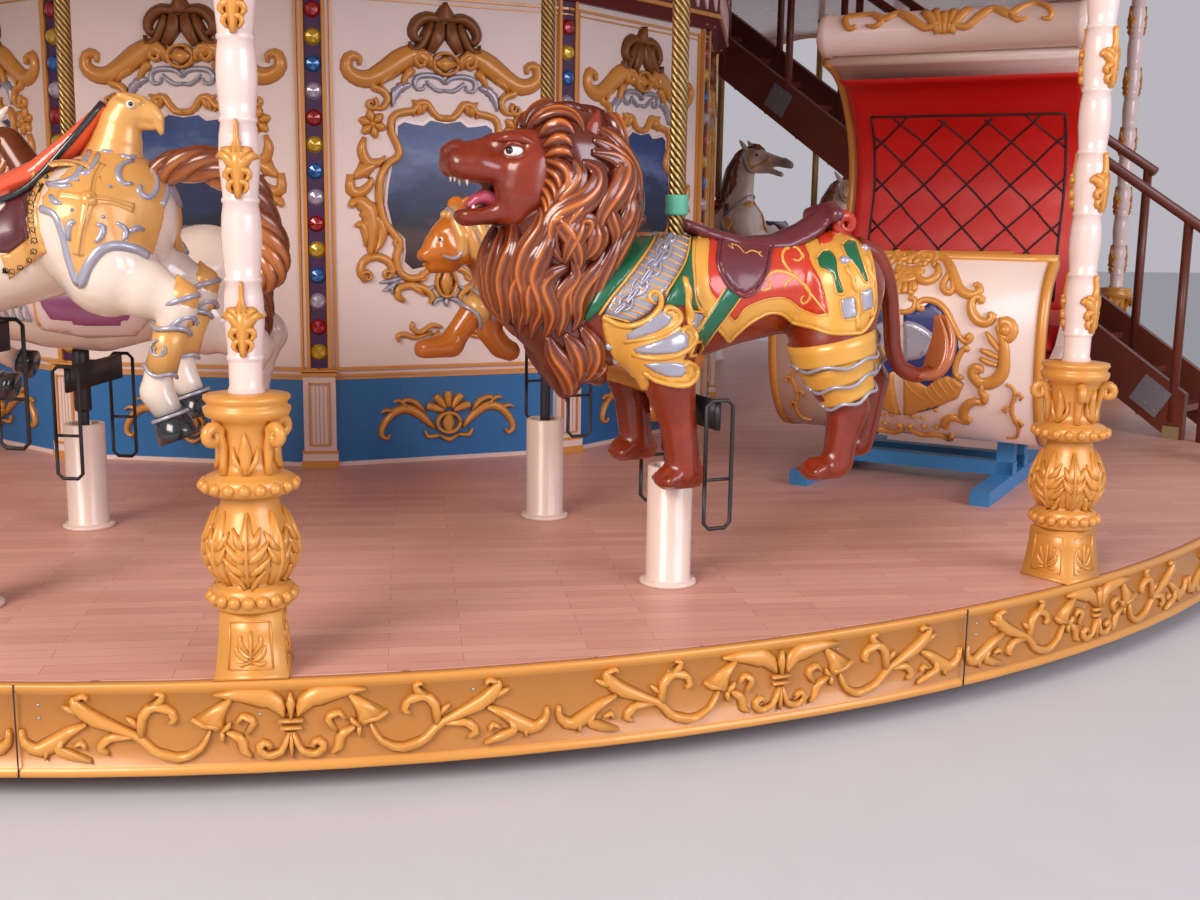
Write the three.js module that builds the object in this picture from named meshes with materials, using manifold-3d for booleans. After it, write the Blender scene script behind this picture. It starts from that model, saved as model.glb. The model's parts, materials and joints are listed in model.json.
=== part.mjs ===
import * as THREE from 'three';
import { ConvexGeometry } from 'three/addons/geometries/ConvexGeometry.js';
import { mergeVertices } from 'three/addons/utils/BufferGeometryUtils.js';
import Module from 'manifold-3d';

// Double-deck merry-go-round, millimetres, +Z up, origin on the ground at the centre of the turning axis.
// Bearings are measured at the axis from -Y towards +X, and the platform turns clockwise seen from above.

const wasm = await Module();
wasm.setup();

// Driving dimensions of the platform
const bays = 12;
const bayAngle = (2 * Math.PI) / bays;
const deckTop = 360;
const deckThick = 60;
const gap = 0.3;
const rimRadius = 5790;
const rimBottom = 84;
const rimThick = 30;
const columnRadius = 5681;
const pedestalHeight = 800;
const ceilingBottom = deckTop + 3030;
const ceilingThick = 60;
const upperFloorTop = deckTop + 3460;
const upperFloorThick = 60;
const upperRadius = 5860;
const roofEave = upperFloorTop + 2550;
const roofRise = 1500;
const roofRadius = 5900;

// Driving dimensions of the centre
const drumRadius = 2634;
const dadoHeight = 460;
const corniceBottom = deckTop + 2380;
const upperDrumRadius = 1500;
const baseRadius = 4900;
const baseHeight = 150;
const hubRadius = 1200;

// Driving dimensions of the jumpers and their guides
const outerRing = 5071;
const innerRing = 3933;
const sleeveRadius = 80;
const sleeveHeight = 430;
const rodRadius = 22;
const rodClearance = 0.8;
const poleRadius = 31;
const poleHoleRadius = 42;
const poleTop = ceilingBottom + 210;
const rodDepth = 300;
const flangeRadius = 102;
const flangeThick = 15;
const animalBore = 0.4;

// Driving dimensions of the stair, a straight flight along a chord beside the drum
const stairBearing = 125.9;
const stairInner = 2875;
const stairWidth = 565;
const stairFoot = -4630;
const stairSlope = 0.6336;
const riserCount = 18;
const stringerDepth = 250;
const stringerThick = 45;
const handrailHeight = 900;

// Driving dimensions of the chariot
const chariotBearing = 46;
const chariotTurn = 53;
const chariotRadius = 4270;
const chariotWidth = 1320;

const rad = (degrees) => (degrees * Math.PI) / 180;
const steps = (count, make) => Array.from({ length: count }, (_, index) => make(index));

// Finishes
const finish = (color, roughness, metalness = 0) =>
  new THREE.MeshStandardMaterial({ color, roughness, metalness });
const goldPaint = finish('#d9952b', 0.35, 0.4);
const whitePaint = finish('#efe3d6', 0.3);
const bluePaint = finish('#1f5f9e', 0.45);
const deckBoard = finish('#a8705f', 0.5);
const stairPaint = finish('#5a2a1c', 0.45);
const darkSteel = finish('#2b2a2c', 0.6, 0.5);
const brassTube = finish('#a8813f', 0.3, 0.8);
const redLining = finish('#c8160c', 0.45);
const roofPaint = finish('#c9453a', 0.5);
const lionPaint = finish('#a3381a', 0.3);
const tigerPaint = finish('#d98a2a', 0.3);
const horsePaint = finish('#efe6da', 0.3);

// A closed geometry becomes a solid, and a solid becomes a geometry again
function solid(geometry) {
  const plain = geometry.clone();
  plain.deleteAttribute('normal');
  plain.deleteAttribute('uv');
  const merged = mergeVertices(plain, 1e-3);
  const vertProperties = new Float32Array(merged.attributes.position.array);
  const triVerts = new Uint32Array(merged.index.array);
  return new wasm.Manifold(new wasm.Mesh({ numProp: 3, vertProperties, triVerts }));
}

function toGeometry(manifold) {
  const mesh = manifold.getMesh();
  const geometry = new THREE.BufferGeometry();
  geometry.setAttribute('position', new THREE.BufferAttribute(new Float32Array(mesh.vertProperties), 3));
  geometry.setIndex(new THREE.BufferAttribute(new Uint32Array(mesh.triVerts), 1));
  geometry.computeVertexNormals();
  return geometry;
}

const joined = (solids) => solids.reduce((sum, next) => sum.add(next));
const cutBy = (body, tools) => tools.reduce((left, tool) => left.subtract(tool), body);

// Point at a bearing in degrees and a radius
const polar = (radius, bearing, z = 0) =>
  new THREE.Vector3(radius * Math.sin(rad(bearing)), -radius * Math.cos(rad(bearing)), z);

// Solid of revolution about Z with flats turned so that corners sit on the given bearing
function turned(profile, sides, bearing = 0) {
  const geometry = new THREE.LatheGeometry(profile.map(([r, z]) => new THREE.Vector2(r, z)), sides);
  geometry.rotateX(Math.PI / 2);
  geometry.rotateZ(-Math.PI / 2 + rad(bearing));
  return geometry;
}

// Round or many-sided plate, and ring, between two heights
const plate = (radius, low, high, sides, bearing = 0) =>
  turned([[0, low], [radius, low], [radius, high], [0, high]], sides, bearing);
const ring = (inner, outer, low, high, sides, bearing = 0) =>
  turned([[inner, low], [outer, low], [outer, high], [inner, high], [inner, low]], sides, bearing);

function box(x, y, z, at = [0, 0, 0], turn = 0) {
  const geometry = new THREE.BoxGeometry(x, y, z);
  geometry.rotateZ(turn);
  geometry.translate(at[0], at[1], at[2]);
  return geometry;
}

// Straight round bar between two points, thicker at either end if asked
function bar(from, to, startRadius, endRadius = startRadius, sides = 8) {
  const start = new THREE.Vector3(...from);
  const end = new THREE.Vector3(...to);
  const along = end.clone().sub(start);
  const geometry = new THREE.CylinderGeometry(endRadius, startRadius, along.length(), sides);
  geometry.applyQuaternion(new THREE.Quaternion().setFromUnitVectors(
    new THREE.Vector3(0, 1, 0), along.clone().normalize()));
  const middle = start.add(end).multiplyScalar(0.5);
  geometry.translate(middle.x, middle.y, middle.z);
  return geometry;
}

// Chain of tapered capsules for the limbs of the animals; each joint is [x, y, z, radius] in metres
function limb(joints, slender = false) {
  const balls = joints.map(([x, y, z, radius]) => {
    const ball = slender
      ? new THREE.OctahedronGeometry(radius * 1200, 0) : new THREE.IcosahedronGeometry(radius * 1060, 0);
    ball.translate(x * 1000, y * 1000, z * 1000);
    const corners = ball.attributes.position;
    return steps(corners.count, (index) => new THREE.Vector3().fromBufferAttribute(corners, index));
  });
  const capsules = balls.slice(1).map((ball, index) => solid(new ConvexGeometry([...balls[index], ...ball])));
  return joined(capsules);
}

// Every piece is added to the group by name
const carousel = new THREE.Group();

function piece(name, manifold, material, place = null) {
  const geometry = manifold.isBufferGeometry ? manifold : toGeometry(manifold);
  const mesh = new THREE.Mesh(geometry, material);
  mesh.name = name;
  if (place) {
    mesh.position.set(...place.at);
    mesh.rotation.z = place.turn;
  }
  carousel.add(mesh);
}

// Jumpers: ring, bearing and kind of each, by bay, and how far it stands lifted at rest
const highLift = 235;
const tigerLift = 140;
const jumpers = [
  { name: 'lion_1', kind: 'lion', radius: outerRing, bearing: 15.57 },
  { name: 'tiger_1', kind: 'tiger', radius: innerRing, bearing: 15.1, lift: tigerLift },
  { name: 'horse_1', kind: 'warhorse', radius: outerRing, bearing: -11.2, lift: highLift },
  { name: 'horse_2', kind: 'horse', radius: innerRing, bearing: -12.68 },
  { name: 'horse_3', kind: 'horse', radius: outerRing, bearing: -44.5 },
  { name: 'horse_4', kind: 'warhorse', radius: innerRing, bearing: -47.5, lift: highLift },
  { name: 'lion_2', kind: 'lion', radius: outerRing, bearing: 195.57 },
  { name: 'tiger_2', kind: 'tiger', radius: innerRing, bearing: 195.1, lift: tigerLift },
  { name: 'horse_5', kind: 'warhorse', radius: outerRing, bearing: 168.8, lift: highLift },
  { name: 'horse_6', kind: 'horse', radius: innerRing, bearing: 167.32 },
  { name: 'horse_7', kind: 'horse', radius: outerRing, bearing: 124.25 },
  { name: 'horse_8', kind: 'warhorse', radius: innerRing, bearing: 126.5, lift: highLift },
];
const halfTurns = [0, 180];

// Fixed base frame that the platform turns on
const hubTop = deckTop - deckThick - gap;
piece('base_frame', solid(plate(baseRadius, 0, baseHeight, 24)).add(
  solid(plate(hubRadius, baseHeight - 50, hubTop, 24))), darkSteel);

// Deck with a guide sleeve for every jumper
function sleeve(jumper) {
  const at = polar(jumper.radius, jumper.bearing);
  const outside = turned([[0, deckTop - deckThick], [flangeRadius, deckTop - deckThick],
    [flangeRadius, deckTop + flangeThick], [sleeveRadius, deckTop + flangeThick],
    [sleeveRadius, deckTop + sleeveHeight], [0, deckTop + sleeveHeight]], 8);
  outside.translate(at.x, at.y, 0);
  return solid(outside);
}

function roundHole(jumper, radius, low, high) {
  const hole = plate(radius, low, high, 8, jumper.bearing);
  const at = polar(jumper.radius, jumper.bearing);
  hole.translate(at.x, at.y, 0);
  return solid(hole);
}

const deckPlate = solid(plate(rimRadius - rimThick - gap, deckTop - deckThick, deckTop, 72));
const rodBores = jumpers.map((jumper) =>
  roundHole(jumper, rodRadius + rodClearance, deckTop - deckThick + 10, deckTop + sleeveHeight + 10));
piece('deck', cutBy(joined([deckPlate, ...jumpers.map(sleeve)]), rodBores), deckBoard);
piece('rim_fascia', solid(turned([
  [rimRadius - rimThick, rimBottom], [rimRadius, rimBottom], [rimRadius, deckTop - 2],
  [rimRadius - rimThick, deckTop - 2], [rimRadius - rimThick, rimBottom],
], 72)), goldPaint);

// Centre drum: painted housing, blue dado with its plinths, and cornice
const drumCore = drumRadius - 60;
piece('drum', solid(plate(drumCore, deckTop + gap, ceilingBottom - gap, bays)), whitePaint);
const dadoBand = solid(ring(drumCore + 1, drumRadius - 20, deckTop + gap, deckTop + dadoHeight, bays));
const plinthHeight = dadoHeight + 40;
const plinths = steps(bays, (bay) => {
  const at = polar(drumRadius - 26, bay * 30, deckTop + gap + plinthHeight / 2);
  return solid(box(185, 66, plinthHeight, [at.x, at.y, at.z], bay * bayAngle)).subtract(
    solid(plate(drumCore + 1, deckTop - 10, deckTop + plinthHeight + 20, bays)));
});
piece('drum_dado', joined([dadoBand, ...plinths]), bluePaint);
piece('drum_cornice', solid(turned([
  [drumCore + 1, corniceBottom], [drumRadius - 30, corniceBottom], [drumRadius + 20, corniceBottom + 60],
  [drumRadius + 20, corniceBottom + 320], [drumRadius + 60, corniceBottom + 400],
  [drumRadius + 60, ceilingBottom - 1], [drumCore + 1, ceilingBottom - 1], [drumCore + 1, corniceBottom],
], bays)), whitePaint);

// Columns: square flared foot, turned pedestal and shaft
function column() {
  const foot = turned([[0, 0], [144, 0], [116, 190], [0, 190]], 4, 45);
  const post = turned([
    [0, 180], [118, 190], [135, 215], [72, 275], [125, 400], [78, 540], [140, 575],
    [76, 700], [118, pedestalHeight], [50, pedestalHeight + 20],
    [55, ceilingBottom - deckTop - 60], [70, ceilingBottom - deckTop - 2 * gap],
    [0, ceilingBottom - deckTop - 2 * gap],
  ], 8);
  return toGeometry(solid(foot).add(solid(post)));
}

steps(bays, (bay) => {
  const at = polar(columnRadius, bay * 30, deckTop + gap);
  const name = `column_${String(bay + 1).padStart(2, '0')}`;
  piece(name, column(), goldPaint, { at: [at.x, at.y, at.z], turn: bay * bayAngle });
});

// Turns what is drawn with x along the flight, -y outwards and z up into its place
const onStair = (geometry, turn) => geometry.rotateZ(rad(stairBearing + turn));

// Outline drawn in x and z, extruded along y
function sideOutline(points, low, high) {
  const shape = new THREE.Shape(points.map(([x, z]) => new THREE.Vector2(x, z)));
  const geometry = new THREE.ExtrudeGeometry(shape, { depth: high - low, bevelEnabled: false });
  geometry.rotateX(Math.PI / 2);
  geometry.translate(0, high, 0);
  return geometry;
}

const flightRise = upperFloorTop - deckTop;
const riser = flightRise / riserCount;
const going = riser / stairSlope;
const flightRun = going * (riserCount - 1);
const stairHead = stairFoot + flightRun + 60;

// Headroom cut through both floors above a flight
const headroom = 2050;
const wellMargin = 45;
function wellBox(turn) {
  const start = stairFoot + (ceilingBottom - deckTop - headroom) / stairSlope;
  const end = stairHead + 60;
  const well = box(end - start, stairWidth + 2 * wellMargin, 1200,
    [(start + end) / 2, -stairInner - stairWidth / 2, upperFloorTop - 300]);
  return solid(onStair(well, turn));
}

// Ceiling and upper floor, both open over the flights
const wells = halfTurns.map(wellBox);
const poleHoles = jumpers.map((jumper) =>
  roundHole(jumper, poleHoleRadius, ceilingBottom - 10, ceilingBottom + ceilingThick + 10));
piece('ceiling', cutBy(solid(plate(upperRadius - 60, ceilingBottom, ceilingBottom + ceilingThick, 48)),
  [...wells, ...poleHoles]), whitePaint);
const joistBottom = ceilingBottom + ceilingThick + gap;
const upperPlate = solid(plate(upperRadius - 60, upperFloorTop - upperFloorThick, upperFloorTop, 48));
const driveHousing = solid(plate(drumRadius - 100, joistBottom, upperFloorTop - 10, bays));
piece('upper_floor', cutBy(joined([upperPlate, driveHousing]), wells), deckBoard);
piece('rounding_board', solid(turned([
  [upperRadius - 60 + gap, ceilingBottom - 90], [upperRadius, ceilingBottom - 90],
  [upperRadius + 40, upperFloorTop + 60], [upperRadius - 60 + gap, upperFloorTop + 60],
  [upperRadius - 60 + gap, ceilingBottom - 90],
], 48)), goldPaint);

// Flight of treads between two stringers
const stringerRise = 90;
const treadThick = 60;
const treadHousing = 5;
function flight(turn) {
  const lift = stringerDepth * Math.sqrt(1 + stairSlope * stairSlope);
  const foot = deckTop + gap;
  const headX = stairHead - gap;
  const topEdge = (x) => foot + stringerRise + (x - stairFoot) * stairSlope;
  const outline = [
    [stairFoot, foot], [stairFoot, topEdge(stairFoot)], [headX, topEdge(headX)],
    [headX, topEdge(headX) - lift], [stairFoot + (lift - stringerRise) / stairSlope, foot],
  ];
  const inner = stairInner + stringerThick;
  const outer = stairInner + stairWidth - stringerThick;
  const stringers = [[stairInner, inner], [outer, outer + stringerThick]].map(([near, far]) =>
    solid(sideOutline(outline, -far, -near)));
  const firstTread = stairFoot + 60;
  const tops = steps(riserCount - 1, (index) => {
    const start = firstTread + index * going;
    const height = foot + (index + 1) * riser;
    return [[start, height - treadThick / 2], [start, height], [start + going - 2, height]];
  }).flat();
  const end = tops[tops.length - 1];
  const low = foot + riser - treadThick;
  const under = [[end[0], end[1] - treadThick], [firstTread + going, low], [firstTread, low]];
  const treads = solid(sideOutline([...tops, ...under], -outer - treadHousing, -inner + treadHousing));
  const landing = solid(box(3000, stairWidth + 400, 2000,
    [headX, -stairInner - stairWidth / 2, upperFloorTop + 1000 - 2]));
  const whole = joined([...stringers, treads, rails()]).subtract(landing);
  return solid(onStair(toGeometry(whole), turn));
}

// Handrails with posts, standing on the stringers
const railPosts = 5;
const postWidth = 40;
function rails() {
  const lines = [
    { y: -stairInner - stringerThick / 2, start: stairFoot + 60 },
    { y: -stairInner - stairWidth + stringerThick / 2, start: stairFoot + 360 },
  ];
  const end = stairFoot + (ceilingBottom - deckTop - 90) / stairSlope;
  const edge = (x) => deckTop + gap + 60 + (x - stairFoot) * stairSlope;
  return joined(lines.map(({ y, start }) => {
    const pitch = (end - start) / railPosts;
    const posts = steps(railPosts, (index) => {
      const x = start + index * pitch;
      return solid(box(postWidth, postWidth, handrailHeight, [x, y, edge(x + 20) + handrailHeight / 2]));
    });
    const last = start + (railPosts - 1) * pitch + postWidth;
    const rail = solid(bar([start - 40, y, edge(start - 40) + handrailHeight],
      [last, y, edge(last) + handrailHeight], 26, 26, 4));
    const middle = solid(bar([start, y, edge(start) + handrailHeight / 2],
      [last, y, edge(last) + handrailHeight / 2], 16, 16, 4));
    return joined([...posts, rail, middle]);
  }));
}

halfTurns.forEach((turn, index) => {
  piece(`stair_${index + 1}`, flight(turn), stairPaint);
});

// Upper storey: railing with the roof posts, centre drum, and roof with its finial
const railTop = upperFloorTop + 1000;
const postCircle = upperRadius - 160;
const roofPosts = steps(bays, (bay) => {
  const at = polar(postCircle, bay * 30);
  const post = turned([[0, upperFloorTop + gap], [60, upperFloorTop + gap], [50, roofEave - gap],
    [0, roofEave - gap]], 6);
  post.translate(at.x, at.y, 0);
  return solid(post);
});
const topRail = solid(ring(postCircle - 25, postCircle + 25, railTop - 50, railTop, 24));
const lowRail = solid(ring(postCircle - 20, postCircle + 20, upperFloorTop + 90, upperFloorTop + 130, 24));
piece('upper_railing', joined([topRail, lowRail, ...roofPosts]), goldPaint);
piece('upper_drum', solid(plate(upperDrumRadius, upperFloorTop + gap, roofEave - gap, bays)), whitePaint);
piece('roof', solid(turned([
  [0, roofEave], [roofRadius - 60, roofEave], [roofRadius - 60, roofEave - 200], [roofRadius, roofEave - 200],
  [roofRadius, roofEave + 330], [roofRadius - 60, roofEave + 330], [roofRadius - 60, roofEave + 60],
  [700, roofEave + roofRise], [0, roofEave + roofRise],
], bays)), roofPaint);
piece('roof_finial', solid(turned([
  [0, roofEave + roofRise + gap], [700, roofEave + roofRise + gap], [620, roofEave + roofRise + 220],
  [250, roofEave + roofRise + 420], [120, roofEave + roofRise + 620], [60, roofEave + roofRise + 900],
  [0, roofEave + roofRise + 1150],
], bays)), goldPaint);

// Chariot: scroll-shaped tub with a curved back and a roll on top, red lining and seat, steel cradle
const tubLow = 230;
const crossSpread = 130;
const shellThick = 45;
const liningThick = 30;
const rollRadius = 110;
const skidSpread = 440;
function ribbon(points, thick) {
  const outside = points;
  const inside = points.map((point, index) => {
    const before = points[Math.max(0, index - 1)];
    const after = points[Math.min(points.length - 1, index + 1)];
    const dx = after[0] - before[0];
    const dz = after[1] - before[1];
    const length = Math.hypot(dx, dz);
    return [point[0] - (dz / length) * thick, point[1] + (dx / length) * thick];
  });
  return [...outside, ...inside.reverse()];
}

const shellLine = [
  [-60, 2110], [-250, 2060], [-420, 1930], [-560, 1700], [-600, 1450], [-540, 1150], [-520, 800], [-500, 500],
  [-380, 300], [-180, 230], [180, 230], [370, 290], [500, 450], [550, 640], [545, 850], [480, 1020],
  [340, 1130],
];
const insideBack = [
  [-175, 2000], [-300, 1960], [-400, 1850], [-500, 1690], [-540, 1450], [-480, 1150], [-460, 800],
];

function tub() {
  const half = chariotWidth / 2;
  const shell = solid(sideOutline(ribbon(shellLine, shellThick), -half, half));
  const roll = new THREE.CylinderGeometry(rollRadius, rollRadius, chariotWidth, 12);
  roll.translate(-40, 0, 2205);
  const wallOutline = [
    [-520, 800], [-500, 500], [-380, 300], [-180, 230], [180, 230], [370, 290], [500, 450], [520, 560],
    [250, 620], [60, 700], [-100, 860], [-300, 900], [-440, 1180], [-540, 1200],
  ];
  const walls = [[-half, -half + shellThick], [half - shellThick, half]].map(([low, high]) =>
    solid(sideOutline(wallOutline, low, high)));
  return joined([shell, solid(roll), ...walls]);
}

function lining() {
  const half = chariotWidth / 2 - shellThick - gap;
  const back = solid(sideOutline(ribbon(insideBack, liningThick), -half, half));
  const bench = [
    [-447, 870], [-440, 700], [-425, 560], [-322, 348], [-160, 300], [60, 300], [60, 740], [-400, 790],
  ];
  return back.add(solid(sideOutline(bench, -half, half)));
}

function cradle() {
  const skids = [-skidSpread, skidSpread].map((side) => solid(box(1300, 90, 70, [0, side, 35])));
  const crosses = [-crossSpread, crossSpread].map((x) => solid(box(80, 970, 70, [x, 0, 95])));
  const feet = [-crossSpread, crossSpread].flatMap((x) => [-skidSpread, skidSpread].map((side) =>
    solid(box(80, 80, 190, [x, side, 145]))));
  return joined([...skids, ...crosses, ...feet]);
}

halfTurns.forEach((turn, index) => {
  const at = polar(chariotRadius, chariotBearing + turn, deckTop + gap);
  const place = { at: [at.x, at.y, at.z], turn: rad(chariotTurn + turn) + Math.PI };
  const lower = solid(box(1500, 1500, 400, [0, 0, tubLow + 2 - 200]));
  piece(`chariot_${index + 1}_tub`, tub().subtract(lower), whitePaint, place);
  piece(`chariot_${index + 1}_seat`, lining(), redLining, place);
  const cradleTop = solid(box(1500, 1500, 400, [0, 0, tubLow + 2 - gap + 200]));
  piece(`chariot_${index + 1}_cradle`, cradle().subtract(cradleTop), bluePaint, place);
});

// Animals, drawn with x forwards, y outwards and z up from the deck, the pole at the origin
function lion() {
  const fore = (side, shift, lift) => limb([
    [0.16, side * 0.13, 0.92, 0.13], [0.03 + shift, side * 0.17, 0.56 + lift, 0.062],
    [0.01 + shift, side * 0.18, 0.4 + lift, 0.062],
  ], true);
  const hind = (side, reach, lift) => limb([
    [-0.58, side * 0.12, 1.0, 0.17], [-0.64 - reach, side * 0.14, 0.66, 0.08],
    [-0.56 - reach, side * 0.14, 0.39 + lift, 0.065],
  ], true);
  return joined([
    limb([[0.22, 0, 1.02, 0.21], [-0.58, 0, 1.06, 0.2]]),
    limb([[0.34, 0, 1.12, 0.2], [0.42, 0, 1.4, 0.27]]),
    limb([[0.42, 0, 1.05, 0.16], [0.39, 0, 0.74, 0.05]]),
    limb([[0.56, 0, 1.47, 0.13], [0.75, 0, 1.45, 0.08]]),
    limb([[0.56, 0, 1.36, 0.09], [0.71, 0, 1.27, 0.045]]),
    fore(1, 0, 0), fore(-1, 0.06, 0.04), hind(1, 0, 0), hind(-1, 0.28, 0.04),
    limb([[-0.76, 0, 1.16, 0.05], [-0.95, 0, 0.76, 0.045], [-1.14, 0, 0.8, 0.07]], true),
  ]);
}

function tiger() {
  const hind = (side, reach) => limb([
    [-0.5, side * 0.11, 0.88, 0.16], [-0.56 - reach, side * 0.13, 0.54, 0.075],
    [-0.5 - reach, side * 0.13, 0.32, 0.06],
  ], true);
  return joined([
    limb([[0.14, 0, 0.9, 0.18], [-0.5, 0, 0.9, 0.17]]),
    limb([[0.16, 0, 0.97, 0.16], [0.38, 0, 1.05, 0.12], [0.5, 0, 0.99, 0.07]]),
    limb([
      [0.16, 0.12, 0.88, 0.11], [0.36, 0.13, 0.77, 0.06], [0.46, 0.13, 0.63, 0.052], [0.56, 0.13, 0.615, 0.045],
    ], true),
    limb([[0.18, -0.12, 0.86, 0.11], [0.22, -0.13, 0.69, 0.06], [0.13, -0.13, 0.57, 0.045]], true),
    hind(1, 0), hind(-1, 0.2),
    limb([[-0.62, 0, 0.98, 0.045], [-0.98, 0, 0.9, 0.04]], true),
  ]);
}

// Horse: legs drawn up at the gallop, with a saddle roll and hanging tail or an eagle's head and flying tail
const rollCantle = [[-0.44, 0.1, 1.17, 0.06], [-0.44, -0.1, 1.17, 0.06]];
const eagleCantle = [[-0.5, 0, 1.25, 0.08], [-0.6, 0, 1.34, 0.065], [-0.69, 0, 1.31, 0.03]];
const hangingTail = [[-0.68, 0, 1.12, 0.045], [-0.76, 0, 1.0, 0.06], [-0.76, 0, 0.78, 0.045]];
const flyingTail = [[-0.68, 0, 1.17, 0.05], [-0.9, 0, 1.19, 0.055], [-1, 0, 1.03, 0.1], [-1.04, 0, 0.87, 0.06]];
function horse(cantle, tail) {
  const fore = (side, shift) => limb([
    [0.32, side * 0.12, 0.9, 0.11], [0.47 + shift, side * 0.14, 0.73 + shift, 0.062],
    [0.27 + shift, side * 0.14, 0.6 + shift, 0.05],
  ], true);
  const hind = (side, shift) => limb([
    [-0.5, side * 0.1, 0.98, 0.17], [-0.64 + shift, side * 0.13, 0.86 + shift, 0.11],
    [-0.79 + shift, side * 0.14, 0.79 + shift, 0.06], [-0.705 + shift, side * 0.14, 0.55 + shift, 0.05],
    [-0.76 + shift, side * 0.14, 0.41 + shift, 0.06],
  ], true);
  return joined([
    limb([[0.28, 0, 0.93, 0.19], [-0.1, 0, 0.9, 0.18], [-0.5, 0, 1.03, 0.19]]),
    limb([[0.24, 0, 1.05, 0.17], [0.26, 0, 1.4, 0.15]]),
    limb([[0.3, 0, 1.53, 0.115], [0.44, 0, 1.5, 0.12], [0.75, 0, 1.45, 0.06]]),
    fore(1, 0), fore(-1, 0.06), hind(1, 0), hind(-1, 0.03),
    limb(tail, true),
    limb(cantle, true),
  ]);
}

const animalForms = {
  lion: lion(),
  tiger: tiger(),
  horse: horse(rollCantle, hangingTail),
  warhorse: horse(eagleCantle, flyingTail),
};
const animalPaints = { lion: lionPaint, tiger: tigerPaint, horse: horsePaint, warhorse: horsePaint };

// Pole: rod in the sleeve, core through the animal, twisted tube above, and bent-bar footrests
const seatLine = 1200;
const footrestReach = 250;
const footrestBar = 16;
const footrestLow = 250;
const footrestHigh = 690;
const footrestFront = -5;
const footrestBack = -105;
const crossPlate = { thick: 30, height: 105 };
function pole(lift) {
  const rodEnd = deckTop + sleeveHeight - rodDepth;
  const seat = deckTop + seatLine + lift;
  const shaft = solid(turned([
    [0, rodEnd], [rodRadius, rodEnd], [rodRadius, seat], [poleRadius, seat + 10],
    [poleRadius, poleTop], [0, poleTop],
  ], 8));
  const middle = (footrestFront + footrestBack) / 2;
  const length = footrestFront - footrestBack + footrestBar;
  const grip = (side) => {
    const y = side * footrestReach;
    const upright = (x) => box(footrestBar, footrestBar, footrestHigh - footrestLow,
      [x, y, (footrestHigh + footrestLow) / 2]);
    return [
      upright(footrestFront), upright(footrestBack),
      box(length, footrestBar, footrestBar, [middle, y, footrestLow]),
      box(length, footrestBar, footrestBar, [middle, y, footrestHigh]),
    ];
  };
  const boss = box(rodRadius - middle, 2 * rodRadius, crossPlate.height,
    [middle / 2, 0, footrestHigh - crossPlate.height / 2]);
  const plateAcross = box(crossPlate.thick, 2 * footrestReach, crossPlate.height,
    [middle, 0, footrestHigh - crossPlate.height / 2]);
  const frames = [boss, plateAcross, ...grip(1), ...grip(-1)].map((part) => {
    part.translate(0, 0, deckTop + lift);
    return solid(part);
  });
  return joined([shaft, ...frames]);
}

const raised = (form) => form.translate([0, 0, deckTop]);
const boreTop = deckTop + 2600;
const poleBore = solid(turned([
  [0, deckTop], [rodRadius + animalBore, deckTop], [rodRadius + animalBore, deckTop + seatLine],
  [poleRadius + animalBore, deckTop + seatLine + 9], [poleRadius + animalBore, boreTop], [0, boreTop],
], 8));

const restingPole = pole(0);
const animalGeometries = Object.fromEntries(Object.entries(animalForms).map(([kind, form]) =>
  [kind, toGeometry(raised(form).subtract(poleBore).subtract(restingPole))]));

jumpers.forEach(({ name, kind, radius, bearing, lift = 0 }) => {
  const at = polar(radius, bearing);
  const turn = rad(bearing) + Math.PI;
  piece(name, animalGeometries[kind], animalPaints[kind], { at: [at.x, at.y, lift], turn });
  piece(`${name}_pole`, toGeometry(pole(lift)), brassTube, { at: [at.x, at.y, 0], turn });
});

export default carousel;
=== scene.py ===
import json
import math
import bmesh
import bpy
import numpy as np
from mathutils import Vector, Matrix
from mathutils.bvhtree import BVHTree
from mathutils.geometry import delaunay_2d_cdt

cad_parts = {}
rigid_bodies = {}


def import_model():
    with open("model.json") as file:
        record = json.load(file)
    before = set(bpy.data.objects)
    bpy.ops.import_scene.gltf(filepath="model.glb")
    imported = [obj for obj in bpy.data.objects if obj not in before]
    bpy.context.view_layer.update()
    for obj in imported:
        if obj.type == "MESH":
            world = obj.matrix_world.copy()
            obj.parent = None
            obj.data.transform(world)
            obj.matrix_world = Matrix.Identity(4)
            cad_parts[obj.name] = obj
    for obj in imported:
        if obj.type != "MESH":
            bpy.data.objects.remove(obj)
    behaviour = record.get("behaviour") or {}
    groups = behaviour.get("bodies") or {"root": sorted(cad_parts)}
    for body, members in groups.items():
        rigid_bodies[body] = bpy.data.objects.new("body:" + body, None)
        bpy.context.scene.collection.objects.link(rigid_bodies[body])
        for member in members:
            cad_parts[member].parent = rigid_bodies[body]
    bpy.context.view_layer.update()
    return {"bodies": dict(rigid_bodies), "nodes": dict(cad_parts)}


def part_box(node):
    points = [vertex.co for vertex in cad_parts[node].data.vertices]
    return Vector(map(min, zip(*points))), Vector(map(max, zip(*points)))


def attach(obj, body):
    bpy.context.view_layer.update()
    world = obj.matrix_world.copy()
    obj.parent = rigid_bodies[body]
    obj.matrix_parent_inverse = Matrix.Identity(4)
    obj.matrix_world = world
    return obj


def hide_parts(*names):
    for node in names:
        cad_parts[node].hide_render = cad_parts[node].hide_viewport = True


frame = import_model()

# The axes are those of the frame: bearings turn from -Y towards +X, z is up from the ground
deckTop = 0.36
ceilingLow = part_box("ceiling")[0][2]
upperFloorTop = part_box("upper_floor")[1][2]
rimRadius = 5.79
columnRing = 5.681
drumFace = 2.574
tau = 2 * math.pi


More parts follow.
